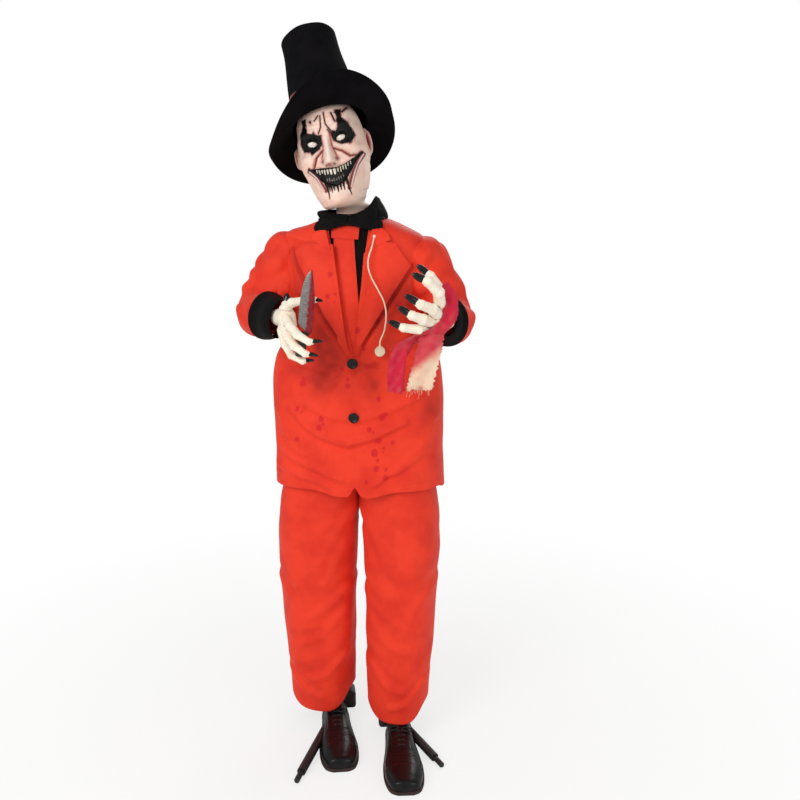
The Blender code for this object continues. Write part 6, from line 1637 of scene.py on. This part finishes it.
# %% Teeth
UPPER_TEETH = ((-37, 174, 3.4, 8), (-31, 172, 3.6, 11), (-25, 170.5, 3.8, 8), (-19, 169.5, 4.4, 12),
               (-12, 168.5, 5.0, 11), (-4.5, 168, 7.0, 13), (4, 167.5, 7.6, 14), (12, 167.5, 5.0, 10),
               (18.5, 168.5, 4.2, 13), (24.5, 170, 4.0, 10), (30.5, 172, 3.6, 13), (36.5, 174.5, 3.6, 9),
               (42.5, 178, 3.2, 10))
LOWER_TEETH = ((-17, 144, 3.6, 6), (-11.5, 142, 3.8, 8), (-6, 140.5, 3.8, 6), (-0.5, 140, 4.0, 8), (5, 140, 4.0, 6),
               (10.5, 141, 3.8, 8), (16, 143, 3.6, 6), (21.5, 146, 3.4, 7))


def face_depth(x, w):
    """Y of the plain head at a place on the face, in metres."""
    half_width, front, _ = rows_at(MASK_ROWS, np.array([w * MM]))[0]
    return -front * (1 - min(0.99, abs(x * MM) / half_width) ** 2.2) ** (1 / 2.2)


def make_teeth(name, teeth, down, finish):
    parts = []
    for x, w, width, length in teeth:
        bm = bmesh.new()
        bmesh.ops.create_cone(bm, cap_ends=True, segments=10, radius1=0.52, radius2=0.3, depth=1.0)
        bmesh.ops.bevel(bm, geom=bm.edges[:], offset=0.1, offset_type="OFFSET", segments=2, profile=0.5,
                        affect="EDGES", material=-1, clamp_overlap=True)
        sign = -1.0 if down else 1.0
        turn = tilted(180 if down else 0, "X")
        size = Matrix.Diagonal((width * MM, 0.0052, length * MM, 1.0))
        yaw = Matrix.Rotation(math.atan2(x, 95.0), 4, "Z")
        spot = Matrix.Translation((x * MM, face_depth(x, w) + 0.0022, (w + sign * length * 0.42) * MM))
        bmesh.ops.transform(bm, matrix=HEAD @ spot @ yaw @ size @ turn, verts=bm.verts[:])
        parts.append(bm)
    whole = merged(parts)
    bmesh.ops.recalc_face_normals(whole, faces=whole.faces[:])
    obj = into_mesh(name, whole, HARD_FINISHES[finish])
    worn_by(obj, "head", "eye_plastic")


make_teeth("upper_teeth", UPPER_TEETH, True, "tooth_enamel")
make_teeth("lower_teeth", LOWER_TEETH, False, "grey_lower_tooth")

# %% [markdown]
# ## The hands
# Each hand is a set of tapering limbs: a wrist, a palm and five fingers with
# swollen knuckles. The voxel remesh melts them into one casting, and a brown
# painted shade is laid where the surface is hollow.

# %% Hands
RIGHT_WRIST = metres((
    (-150.5, -190.5, 1123.2, 19), (-145, -200, 1124, 20), (-120, -232, 1130, 21), (-112, -244, 1112, 18),
))
RIGHT_FINGERS = metres({
    "index": ((-126, -228, 1146, 10), (-100, -256, 1164, 8.5), (-70, -270, 1171, 7.2), (-44, -276, 1173, 5.5),
              (-26, -280, 1170, 2.6)),
    "middle": ((-122, -238, 1132, 10), (-100, -276, 1114, 9), (-78, -308, 1100, 8), (-50, -318, 1086, 6.5),
               (-22, -312, 1086, 2.6)),
    "ring": ((-126, -236, 1112, 10), (-110, -270, 1094, 9), (-88, -300, 1074, 8), (-62, -308, 1058, 6.5),
             (-36, -300, 1052, 2.6)),
    "little": ((-134, -226, 1098, 9), (-122, -250, 1070, 8), (-102, -272, 1048, 7.2), (-76, -278, 1036, 6),
               (-52, -270, 1036, 2.6)),
    "thumb": ((-134, -214, 1134, 11), (-126, -206, 1152, 9), (-124, -204, 1178, 3)),
})
LEFT_WRIST = metres((
    (240.1, -190, 1116, 19), (240, -203, 1118, 20), (228, -226, 1128, 23), (222, -240, 1124, 21),
))
LEFT_FINGERS = metres({
    "thumb": ((232, -216, 1150, 11), (230, -238, 1190, 9), (210, -252, 1222, 7.2), (182, -257, 1245, 2.8)),
    "index": ((230, -242, 1150, 11), (229, -272, 1188, 9.5), (208, -292, 1213, 8.2), (177, -300, 1230, 2.8)),
    "middle": ((226, -244, 1134, 11), (217, -278, 1152, 9.2), (194, -300, 1165, 7.8), (162, -310, 1186, 2.8)),
    "ring": ((220, -240, 1118, 11), (196, -278, 1130, 9), (174, -296, 1141, 7.5), (147, -305, 1160, 2.8)),
    "little": ((214, -230, 1104, 10), (185, -265, 1106, 8.5), (154, -285, 1113, 7), (124, -295, 1128, 2.8)),
})

HANDS = {"right": (RIGHT_WRIST, RIGHT_FINGERS), "left": (LEFT_WRIST, LEFT_FINGERS)}
FLESH = {"right": 1.2, "left": 1.3}
NAIL_FACE = {"right": Vector((0.0, -0.5, 0.85)), "left": Vector((0.0, -1.0, 0.25))}
NAIL_WIDTHS = ((0.0, 0.7), (0.15, 0.92), (0.4, 1.0), (0.65, 0.92), (0.85, 0.66), (0.96, 0.38), (1.0, 0.12))


def nail_span(points):
    """Where a finger ends and its nail starts, and the tip of the nail."""
    a, b = Vector(points[-2][:3]), Vector(points[-1][:3])
    return a.lerp(b, 0.22), b + (b - a).normalized() * 0.002


def make_hand(side, wrist, fingers):
    bm = bmesh.new()
    limb(bm, wrist)
    for points in fingers.values():
        root = (*wrist[-2][:3], points[0][3] * 1.15)
        nail_root, _ = nail_span(points)
        flesh = tuple((*p[:3], p[3] * FLESH[side]) for p in points[:-1])
        limb(bm, (root,) + flesh + ((*nail_root, flesh[-1][3] * 0.86),))
        for spot in flesh[1:]:
            bmesh.ops.create_uvsphere(bm, u_segments=14, v_segments=8, radius=spot[3] * 1.14,
                                      matrix=Matrix.Translation(spot[:3]))
    skin = melted(bm, 0.0012, 3)
    at = places(skin)
    out = normals(skin)
    creases = 0.00045 * ripple(at[:, 0] + at[:, 2], at[:, 1] - at[:, 2], 0.009, 81, 14)
    move_to(skin, at + out * creases[:, None])
    face_out(skin)
    calm = skin.copy()
    smoothed(calm, 0.6, 7)
    hollow = np.sum((places(calm) - places(skin)) * normals(skin), axis=1)
    calm.free()
    obj = into_mesh(side + "_cast_hand", skin, hand_vinyl)
    # painted shade: brown where the surface is hollow
    paint(obj, "wash_and_shade", 0.9 * ease(hollow, 0.00004, 0.0005))
    return worn_by(obj, side + "_hand", "hand_vinyl", side + "_hand")


def make_nails(side, fingers):
    """Long lacquered nails, blunt-pointed, arched across and set over the fingertips."""
    parts = []
    for points in fingers.values():
        root, tip = nail_span(points)
        run = (tip - root).normalized()
        out = (NAIL_FACE[side] - run * NAIL_FACE[side].dot(run)).normalized()
        frame_of = Matrix((run.cross(out), out, -run)).transposed().to_4x4()
        matrix = Matrix.Translation(root - run * 0.003 + out * 0.0012) @ frame_of
        length = (tip - root).length + 0.003
        half = points[-2][3] * FLESH[side] * 0.82

        def place(u, v):
            width = half * rows_at(NAIL_WIDTHS, v)[:, 0]
            angle = math.tau * u
            thick = width * np.where(np.sin(angle) > 0, 0.8, 0.45) * (1 - 0.35 * v)
            arch = thick * np.sin(angle) - 0.1 * half * v ** 2
            return turned_points(matrix, width * np.cos(angle), arch, -length * v)

        parts.append(capped(bent_grid(24, 26, place)))
    obj = into_mesh(side + "_nails", merged(parts), HARD_FINISHES["nail_lacquer"])
    worn_by(obj, side + "_hand", "hand_vinyl")


hands = {side: make_hand(side, *HANDS[side]) for side in SIGN}
for side in SIGN:
    make_nails(side, HANDS[side][1])

# %% [markdown]
# ## The knife
# The toy knife is a silver-painted blade with a thick back and a thin edge,
# in a black moulded grip. The blade's section is a long wedge that narrows to
# the point, so the grid runs round that section and up the blade.

# %% Knife
KNIFE_TIP = Vector((-0.045, -0.301, 1.242))
KNIFE_HEEL = Vector((-0.063, -0.299, 1.108))
KNIFE_POMMEL = Vector((-0.0785, -0.285, 1.052))


def painted_blade():
    """Silver paint on plastic, scratched, with red along the painted attribute."""
    material, tree, shader, place = new_finish("silver_painted_blade", Metallic=0.6, Roughness=0.4)
    stretch = node(tree, "Mapping", {"Vector": place, "Scale": (60.0, 60.0, 900.0)}).outputs["Vector"]
    lines = noise(tree, stretch, 1.0, 4.0)
    base = two_tone(tree, ramp(tree, lines, 0.3, 0.7), "#9a9693", "#5f5b5a")
    base = stained(tree, base, ("blood_and_shade", "#8f1020"))
    return wired(material, tree, shader, base, relief(tree, lines, 0.15, 0.2))


def knife_matrix():
    rise = (KNIFE_TIP - KNIFE_HEEL).normalized()
    across = Vector((1, 0, 0))
    across = (across - rise * across.dot(rise)).normalized()
    return Matrix.Translation(KNIFE_HEEL) @ Matrix((across, rise.cross(across), rise)).transposed().to_4x4()


def make_blade():
    length = (KNIFE_TIP - KNIFE_HEEL).length
    edge_rows = ((-0.004, 0.004), (0.018, -0.0165), (0.0335, -0.0165), (0.075, -0.016), (0.105, -0.012),
                 (0.125, -0.0045), (length, 0.0036))
    back_rows = ((-0.012, 0.0165), (0.074, 0.0157), (length, 0.0042))

    def place(u, v):
        z = -0.004 + (length + 0.004) * v ** 0.9
        edge = rows_at(edge_rows, z)[:, 0]
        back = rows_at(back_rows, z)[:, 0]
        turn = math.tau * u
        share = (1 + np.cos(turn)) / 2
        x = edge + (back - edge) * share
        thick = 0.0012 * np.clip(share * 2.6, 0.06, 1) * np.sqrt(unit(1.02 - v ** 6))
        side = np.sign(np.sin(turn)) * np.minimum(1, np.abs(np.sin(turn)) * 3)
        return turned_points(knife_matrix(), x, thick * side, z)

    bm = capped(bent_grid(48, 90, place))
    local = np.array([knife_matrix().inverted() @ Vector(p) for p in places(bm)])
    # plastic under silver paint: brushed scratches run up the blade
    obj = into_mesh("toy_knife_blade", bm, painted_blade())
    obj.data.set_sharp_from_angle(angle=math.radians(35))
    red = ease(local[:, 0] + 0.0022 * ripple(local[:, 2], local[:, 0], 0.012, 91), 0.0005, 0.0045)
    paint(obj, "blood_and_shade", red * (0.95 + 0.1 * ripple(local[:, 0], local[:, 2], 0.012, 93)))
    worn_by(obj, "right_hand", "blade_silver", "knife_blade")


def make_grip():
    """Oval grip with a small guard where the blade starts."""
    run = (KNIFE_POMMEL - KNIFE_HEEL).normalized()
    length = (KNIFE_POMMEL - KNIFE_HEEL).length
    start = KNIFE_HEEL + run * 0.004
    rows = ((0.0, 0.2), (0.0006, 0.9), (0.004, 1.12), (0.008, 1.0), (0.03, 0.98), (0.048, 1.12), (0.055, 1.05),
            (length - 0.001, 0.75), (length, 0.15))
    turn = run.to_track_quat("Z", "Y").to_matrix().to_4x4()

    def place(u, v):
        z = length * v
        size = rows_at(rows, z)[:, 0]
        angle = math.tau * u
        return turned_points(Matrix.Translation(start) @ turn, 0.0115 * size * np.cos(angle),
                             0.0078 * size * np.sin(angle), z)

    obj = into_mesh("toy_knife_grip", capped(bent_grid(36, 60, place)), HARD_FINISHES["black_abs"])
    worn_by(obj, "right_hand", "black_plastic", "knife_handle")


make_blade()
make_grip()

# %% [markdown]
# ## The gauze
# Two torn strips of gauze hang over the left wrist. A strip is a grid along a
# route with a direction across it; small waves and ragged edges make it limp,
# and loose threads hang from its ends. The area and length of each strip are
# printed.

# %% Gauze
# Places along a strip, each with the direction across it, of any length
GAUZE_ROUTE = metres((
    ((131, -252, 958), (1000, 100, 0)), ((133, -257, 1010), (1000, 100, 0)),
    ((140, -262, 1048), (1000, 200, 100)), ((160, -262, 1076), (800, 500, -400)),
    ((190, -258, 1090), (500, 800, -500)), ((222, -255, 1101), (600, 700, -500)),
    ((246, -252, 1122), (800, 500, -300)), ((253, -248, 1150), (900, 400, 0)),
    ((247, -244, 1178), (900, 400, 300)), ((232, -240, 1200), (800, 400, 500)),
))
TAIL_ROUTE = metres((
    ((213.5, -244, 1106), (900, 300, 0)), ((212.5, -260, 1083), (900, 300, 0)),
    ((205, -267, 1050), (1000, 100, 0)), ((193, -264, 1005), (1000, 0, 0)), ((184, -258, 966), (1000, 100, 0)),
))
STRIP_STEPS = 90


def make_strip(name, route, width, seed, red, loose_end):
    """A limp torn strip; red(share along, share across) is where it is soaked."""
    spots, length = smooth_line([p for p, _ in route], STRIP_STEPS)
    ahead = np.gradient(spots, axis=0)
    across = np.array([Vector(a).normalized() for _, a in route])
    steps, fine = np.linspace(0, 1, len(route)), np.linspace(0, 1, STRIP_STEPS)

    def along(t, table, values):
        return np.stack([np.interp(t, table, values[:, k]) for k in range(3)], axis=1)

    def place(u, v):
        # torn ends: the last centimetre is ragged across the strip
        torn = 0.5 + 0.5 * np.clip(ripple(u * width, 0 * u, 0.007, seed + 5), -1, 1)
        t = v + (0.03 * torn * ease(v, 0.25, 0.0) if loose_end == "start" else -0.045 * torn * ease(v, 0.75, 1.0))
        run = along(t, fine, ahead)
        run /= lengths(run)[:, None]
        cross = along(t, steps, across)
        edge = ease(np.abs(u - 0.5), 0.36, 0.5)
        ragged = 1 + 0.12 * edge * ripple(t * length, u, 0.008, seed)
        wave = 0.002 * np.sin((u - 0.5) * 8 + 2.5 * ripple(t, 0 * t, 0.7, seed + 1))
        wave += 0.0016 * ripple(u * width, t * length, 0.035, seed + 2)
        middle = along(t, fine, spots) + cross * ((u - 0.5) * width * ragged)[:, None]
        return middle + np.cross(cross, run) * wave[:, None]

    bm = bent_grid(36, int(length / 0.0022), place, closed=False)
    at = off_surface(places(bm), tree_of(hands["left"]), 0.0016)
    move_to(bm, at)
    nearest = np.linalg.norm(at[:, None, :] - spots[None, :, :], axis=2).argmin(axis=1)
    share = nearest / (STRIP_STEPS - 1)
    side = np.sum((at - spots[nearest]) * along(share, steps, across), axis=1) / width
    obj = into_mesh(name, bm, gauze_cloth)
    paint(obj, "blood_and_shade", red(share, side) + 0.04 * ripple(at[:, 0], at[:, 2], 0.02, seed + 3))
    area = sum(p.area for p in obj.data.polygons)
    walled(obj, 0.0007, offset=0.0)
    return obj, area, length


red_strip, red_area, red_length = make_strip("gauze_strip", GAUZE_ROUTE, 0.038, 101,
                                             lambda v, u: 0.97 + 0.03 * np.sin(v * 9), "start")
pale_strip, pale_area, pale_length = make_strip("gauze_tail", TAIL_ROUTE, 0.056, 111,
                                                lambda v, u: 0.92 * ease(v + 0.5 * u, 0.66, 0.36), "end")


def make_threads(name, seed, count, low, high):
    """Loose threads that hang from a torn end between two places."""
    random = np.random.default_rng(seed)
    parts = []
    for _ in range(count):
        start = np.array(low) + (np.array(high) - np.array(low)) * random.random()
        drift = random.normal(0, 0.0035, 3)
        length = random.uniform(0.006, 0.022)
        bm = bmesh.new()
        limb(bm, [(*(start + drift * t * t + np.array((0, 0, 0.004 - length * t))), 0.00035)
                  for t in np.linspace(0, 1, 5)], 6)
        parts.append(bm)
    obj = into_mesh(name, merged(parts), gauze_cloth)
    paint(obj, "blood_and_shade", np.full(len(obj.data.vertices), 0.25))
    worn_by(obj, "left_hand", "gauze_cloth")


make_threads("gauze_threads", 7, 26, (0.158, -0.259, 0.976), (0.21, -0.259, 0.972))
for strip in (red_strip, pale_strip):
    worn_by(strip, "left_hand", "gauze_cloth", "gauze")
# the waves take up 3 % of a strip's length
print("gauze areas %.4f %.4f m2, lengths %.3f %.3f m" % (red_area, pale_area, red_length, pale_length))

# %% [markdown]
# ## The shoes
# Patent shoes with a toe cap, a welt and laces. The upper is a half tube that
# follows the sections from heel to toe; the cap's seam and the edge of the
# lacing panel are pressed into it, and the laces are small rounded bars.

# %% Shoes
HEEL = {"right": Vector((-0.085, 0.008, 0.0)), "left": Vector((0.101, -0.057, 0.0))}
TOE_DEG = {"right": 14.2, "left": 11.0}
# Distance from the heel, half width, height
SHOE_ROWS = metres((
    (0, 20, 42), (8, 28, 49), (30, 33, 52), (70, 35, 51), (110, 38, 49), (150, 43, 46), (190, 47, 43),
    (230, 46, 40), (260, 40, 36), (280, 29, 31), (287, 16, 25),
))
SHOE_BASE = 0.0096
SHOE_LENGTH = 0.287
TOE_END, TOE_ROUNDING, HEEL_ROUNDING = 0.288, 0.009, 0.006
# Distances from the heel
QUARTER_SEAM, CAP_SEAM, FLEX_CREASES = 0.062, 0.215, 0.185
SOLE_THICKNESS = 0.009
WELT_WIDTH = 0.003
LACE_RADIUS = 0.0017


def shoe_matrix(side):
    turn = math.radians(TOE_DEG[side])
    ahead = Vector((math.sin(turn), -math.cos(turn), 0.0))
    across = Vector((-ahead.y, ahead.x, 0.0))
    return Matrix.Translation(HEEL[side]) @ Matrix((across, -ahead, Vector((0, 0, 1)))).transposed().to_4x4()


def make_shoe(side):
    matrix = shoe_matrix(side)

    def place(u, v):
        distance = TOE_END * (0.5 - 0.5 * np.cos(math.pi * v))
        half_width, height = rows_at(SHOE_ROWS, np.minimum(distance, SHOE_LENGTH)).T
        end = unit((distance - TOE_END) / TOE_ROUNDING + 1)
        half_width = half_width * np.sqrt(unit(1 - end ** 2))
        height = SHOE_BASE + (height - SHOE_BASE) * np.sqrt(unit(1 - (end * 0.96) ** 2))
        start = unit(1 - distance / HEEL_ROUNDING)
        half_width = half_width * np.sqrt(unit(1 - start ** 2))
        angle = math.pi * u
        c, s = np.cos(angle), np.sin(angle)
        x = half_width * np.sign(c) * np.abs(c) ** 0.75
        z = SHOE_BASE + (height - SHOE_BASE) * np.abs(s) ** 0.8
        cap = -0.0012 * bell((distance - CAP_SEAM - 5 * x ** 2) / 0.0022)
        cap = cap + 0.001 * ease(distance, CAP_SEAM - 0.001, CAP_SEAM + 0.003)
        panel = 0.0012 * ease(np.abs(x), 0.026, 0.0245) * ease(distance, 0.165, 0.16) * ease(distance, 0.05, 0.06)
        quarter = -0.0009 * bell((distance - QUARTER_SEAM - 0.6 * np.maximum(0, z - 0.02)) / 0.0018)
        push = (cap + panel + quarter) * ease(s, 0.0, 0.3) * (1 - end)
        creases = 0.0007 * np.sin(distance * 520) * bell((distance - FLEX_CREASES) / 0.016) * ease(s, 0.5, 0.9)
        return turned_points(matrix, x * (1 + push / 0.04), -distance, z + (push + creases) * s)

    bm = bent_grid(64, 150, place, closed=False)
    face_out(bm, matrix @ Vector((0, -0.14, 0.0)))
    obj = into_mesh(side + "_patent_upper", bm, HARD_FINISHES["patent_vinyl"])
    walled(obj, 0.002)
    worn_by(obj, "root", "patent_vinyl", side + "_shoe_upper")


def make_sole(side):
    """Outsole with a stitched welt, wider than the upper."""
    matrix = shoe_matrix(side)
    bm = bmesh.new()
    outline = []
    for t in np.linspace(0, 1, 40):
        distance = SHOE_LENGTH * (0.5 - 0.5 * math.cos(math.pi * t))
        half_width = float(rows_at(SHOE_ROWS, np.array([distance]))[0, 0])
        outline.append((half_width + (WELT_WIDTH if 0 < t < 1 else 0.0), distance))
    outline = outline + [(-x, y) for x, y in reversed(outline)]
    floor_face = bm.faces.new([bm.verts.new((x, -y, 0.0)) for x, y in outline])
    made = bmesh.ops.extrude_face_region(bm, geom=[floor_face])
    top = [g for g in made["geom"] if isinstance(g, bmesh.types.BMVert)]
    bmesh.ops.translate(bm, vec=(0, 0, SOLE_THICKNESS), verts=top)
    sharp = [e for e in bm.edges if abs(e.verts[0].co.z - e.verts[1].co.z) < 1e-6]
    bmesh.ops.bevel(bm, geom=sharp, offset=0.0014, offset_type="OFFSET", segments=3, profile=0.5,
                    affect="EDGES", material=-1)
    bmesh.ops.recalc_face_normals(bm, faces=bm.faces[:])
    bmesh.ops.transform(bm, matrix=matrix, verts=bm.verts[:])
    obj = into_mesh(side + "_welted_sole", bm, HARD_FINISHES["sole_rubber"])
    obj.data.set_sharp_from_angle(angle=math.radians(40))
    worn_by(obj, "root", "sole_rubber", side + "_shoe_sole")


def make_laces(side):
    """Four crossed pairs of bars and a bow that lie on the lacing panel."""
    matrix = shoe_matrix(side)
    whole = bmesh.new()
    for k in range(4):
        distance = 0.092 + 0.019 * k
        height = float(rows_at(SHOE_ROWS, np.array([distance]))[0, 1]) + 0.0012
        for lean in (-1, 1):
            bar = [Vector((0.019 * t, -distance - lean * 0.006 * t, height - 0.0055 * t * t))
                   for t in np.linspace(-1, 1, 7)]
            limb(whole, [(*(matrix @ spot), LACE_RADIUS) for spot in bar], 8)
    for lean in (-1, 1):
        loop = [Vector((lean * (0.004 + 0.013 * (1 - math.cos(a))), -0.086 - 0.009 * math.sin(a) - 0.004 * lean,
                        0.0535 - 0.00225 * (1 - math.cos(a)))) for a in np.linspace(0, math.tau, 12)]
        limb(whole, [(*(matrix @ spot), LACE_RADIUS) for spot in loop], 8)
    obj = into_mesh(side + "_laces", whole, HARD_FINISHES["shoe_lace"])
    worn_by(obj, "root", "patent_vinyl")


for side in SIGN:
    make_shoe(side)
    make_sole(side)
    make_laces(side)

# %% [markdown]
# ## Studio
# A pale floor, a white surround and soft lights. The surround is white to the
# camera and dimmer as a light, so that the colours stay as they are written.

# %% Floor and light


def add_floor():
    bm = bmesh.new()
    bmesh.ops.create_grid(bm, x_segments=8, y_segments=8, size=12.0)
    material = bpy.data.materials.new("studio_floor")
    material.use_nodes = True
    tree = material.node_tree
    shader = tree.nodes["Principled BSDF"]
    shader.inputs["Base Color"].default_value = linear("#f4f3f1")
    shader.inputs["Roughness"].default_value = 0.9
    white = node(tree, "Emission", {"Color": (1, 1, 1, 1), "Strength": 1.0}).outputs[0]
    path = node(tree, "LightPath")
    seen = path.outputs["Is Camera Ray"]
    place = node(tree, "TexCoord").outputs["Object"]
    away = node(tree, "VectorMath", {0: place}, operation="LENGTH").outputs["Value"]
    fade = node(tree, "MapRange", {"Value": away, "From Min": 0.4, "From Max": 1.6, "To Min": 0.72, "To Max": 1.0})
    factor = node(tree, "Math", {0: seen, 1: fade.outputs["Result"]}, operation="MULTIPLY").outputs[0]
    mixed = node(tree, "MixShader", {0: factor, 1: shader.outputs[0], 2: white})
    tree.links.new(mixed.outputs[0], tree.nodes["Material Output"].inputs["Surface"])
    into_mesh("floor", bm, material, smooth=False)


def add_world():
    world = bpy.data.worlds.new("studio")
    world.use_nodes = True
    bpy.context.scene.world = world
    tree = world.node_tree
    path = node(tree, "LightPath")
    seen = node(tree, "Math", {0: path.outputs["Is Camera Ray"], 1: path.outputs["Is Transmission Ray"]},
                operation="MAXIMUM").outputs[0]
    strength = node(tree, "MapRange", {"Value": seen, "To Min": 0.5, "To Max": 1.0}).outputs["Result"]
    background = tree.nodes["Background"]
    background.inputs["Color"].default_value = (1, 1, 1, 1)
    tree.links.new(strength, background.inputs["Strength"])


def add_light(name, place, target, size, watts):
    data = bpy.data.lights.new(name, "AREA")
    data.size = size
    data.energy = watts
    light = bpy.data.objects.new(name, data)
    light.location = place
    light.rotation_mode = "QUATERNION"
    light.rotation_quaternion = (Vector(target) - Vector(place)).to_track_quat("-Z", "Y")
    bpy.context.scene.collection.objects.link(light)


add_floor()
add_world()
add_light("key", (-1.4, -2.6, 2.4), (0, 0, 1.0), 1.6, 48.0)
add_light("fill", (2.2, -2.0, 1.4), (0, 0, 0.9), 1.8, 18.0)
add_light("back", (0.4, 2.4, 2.2), (0, 0, 1.1), 1.4, 20.0)
bpy.context.scene.view_settings.view_transform = "Standard"
print("studio ready")
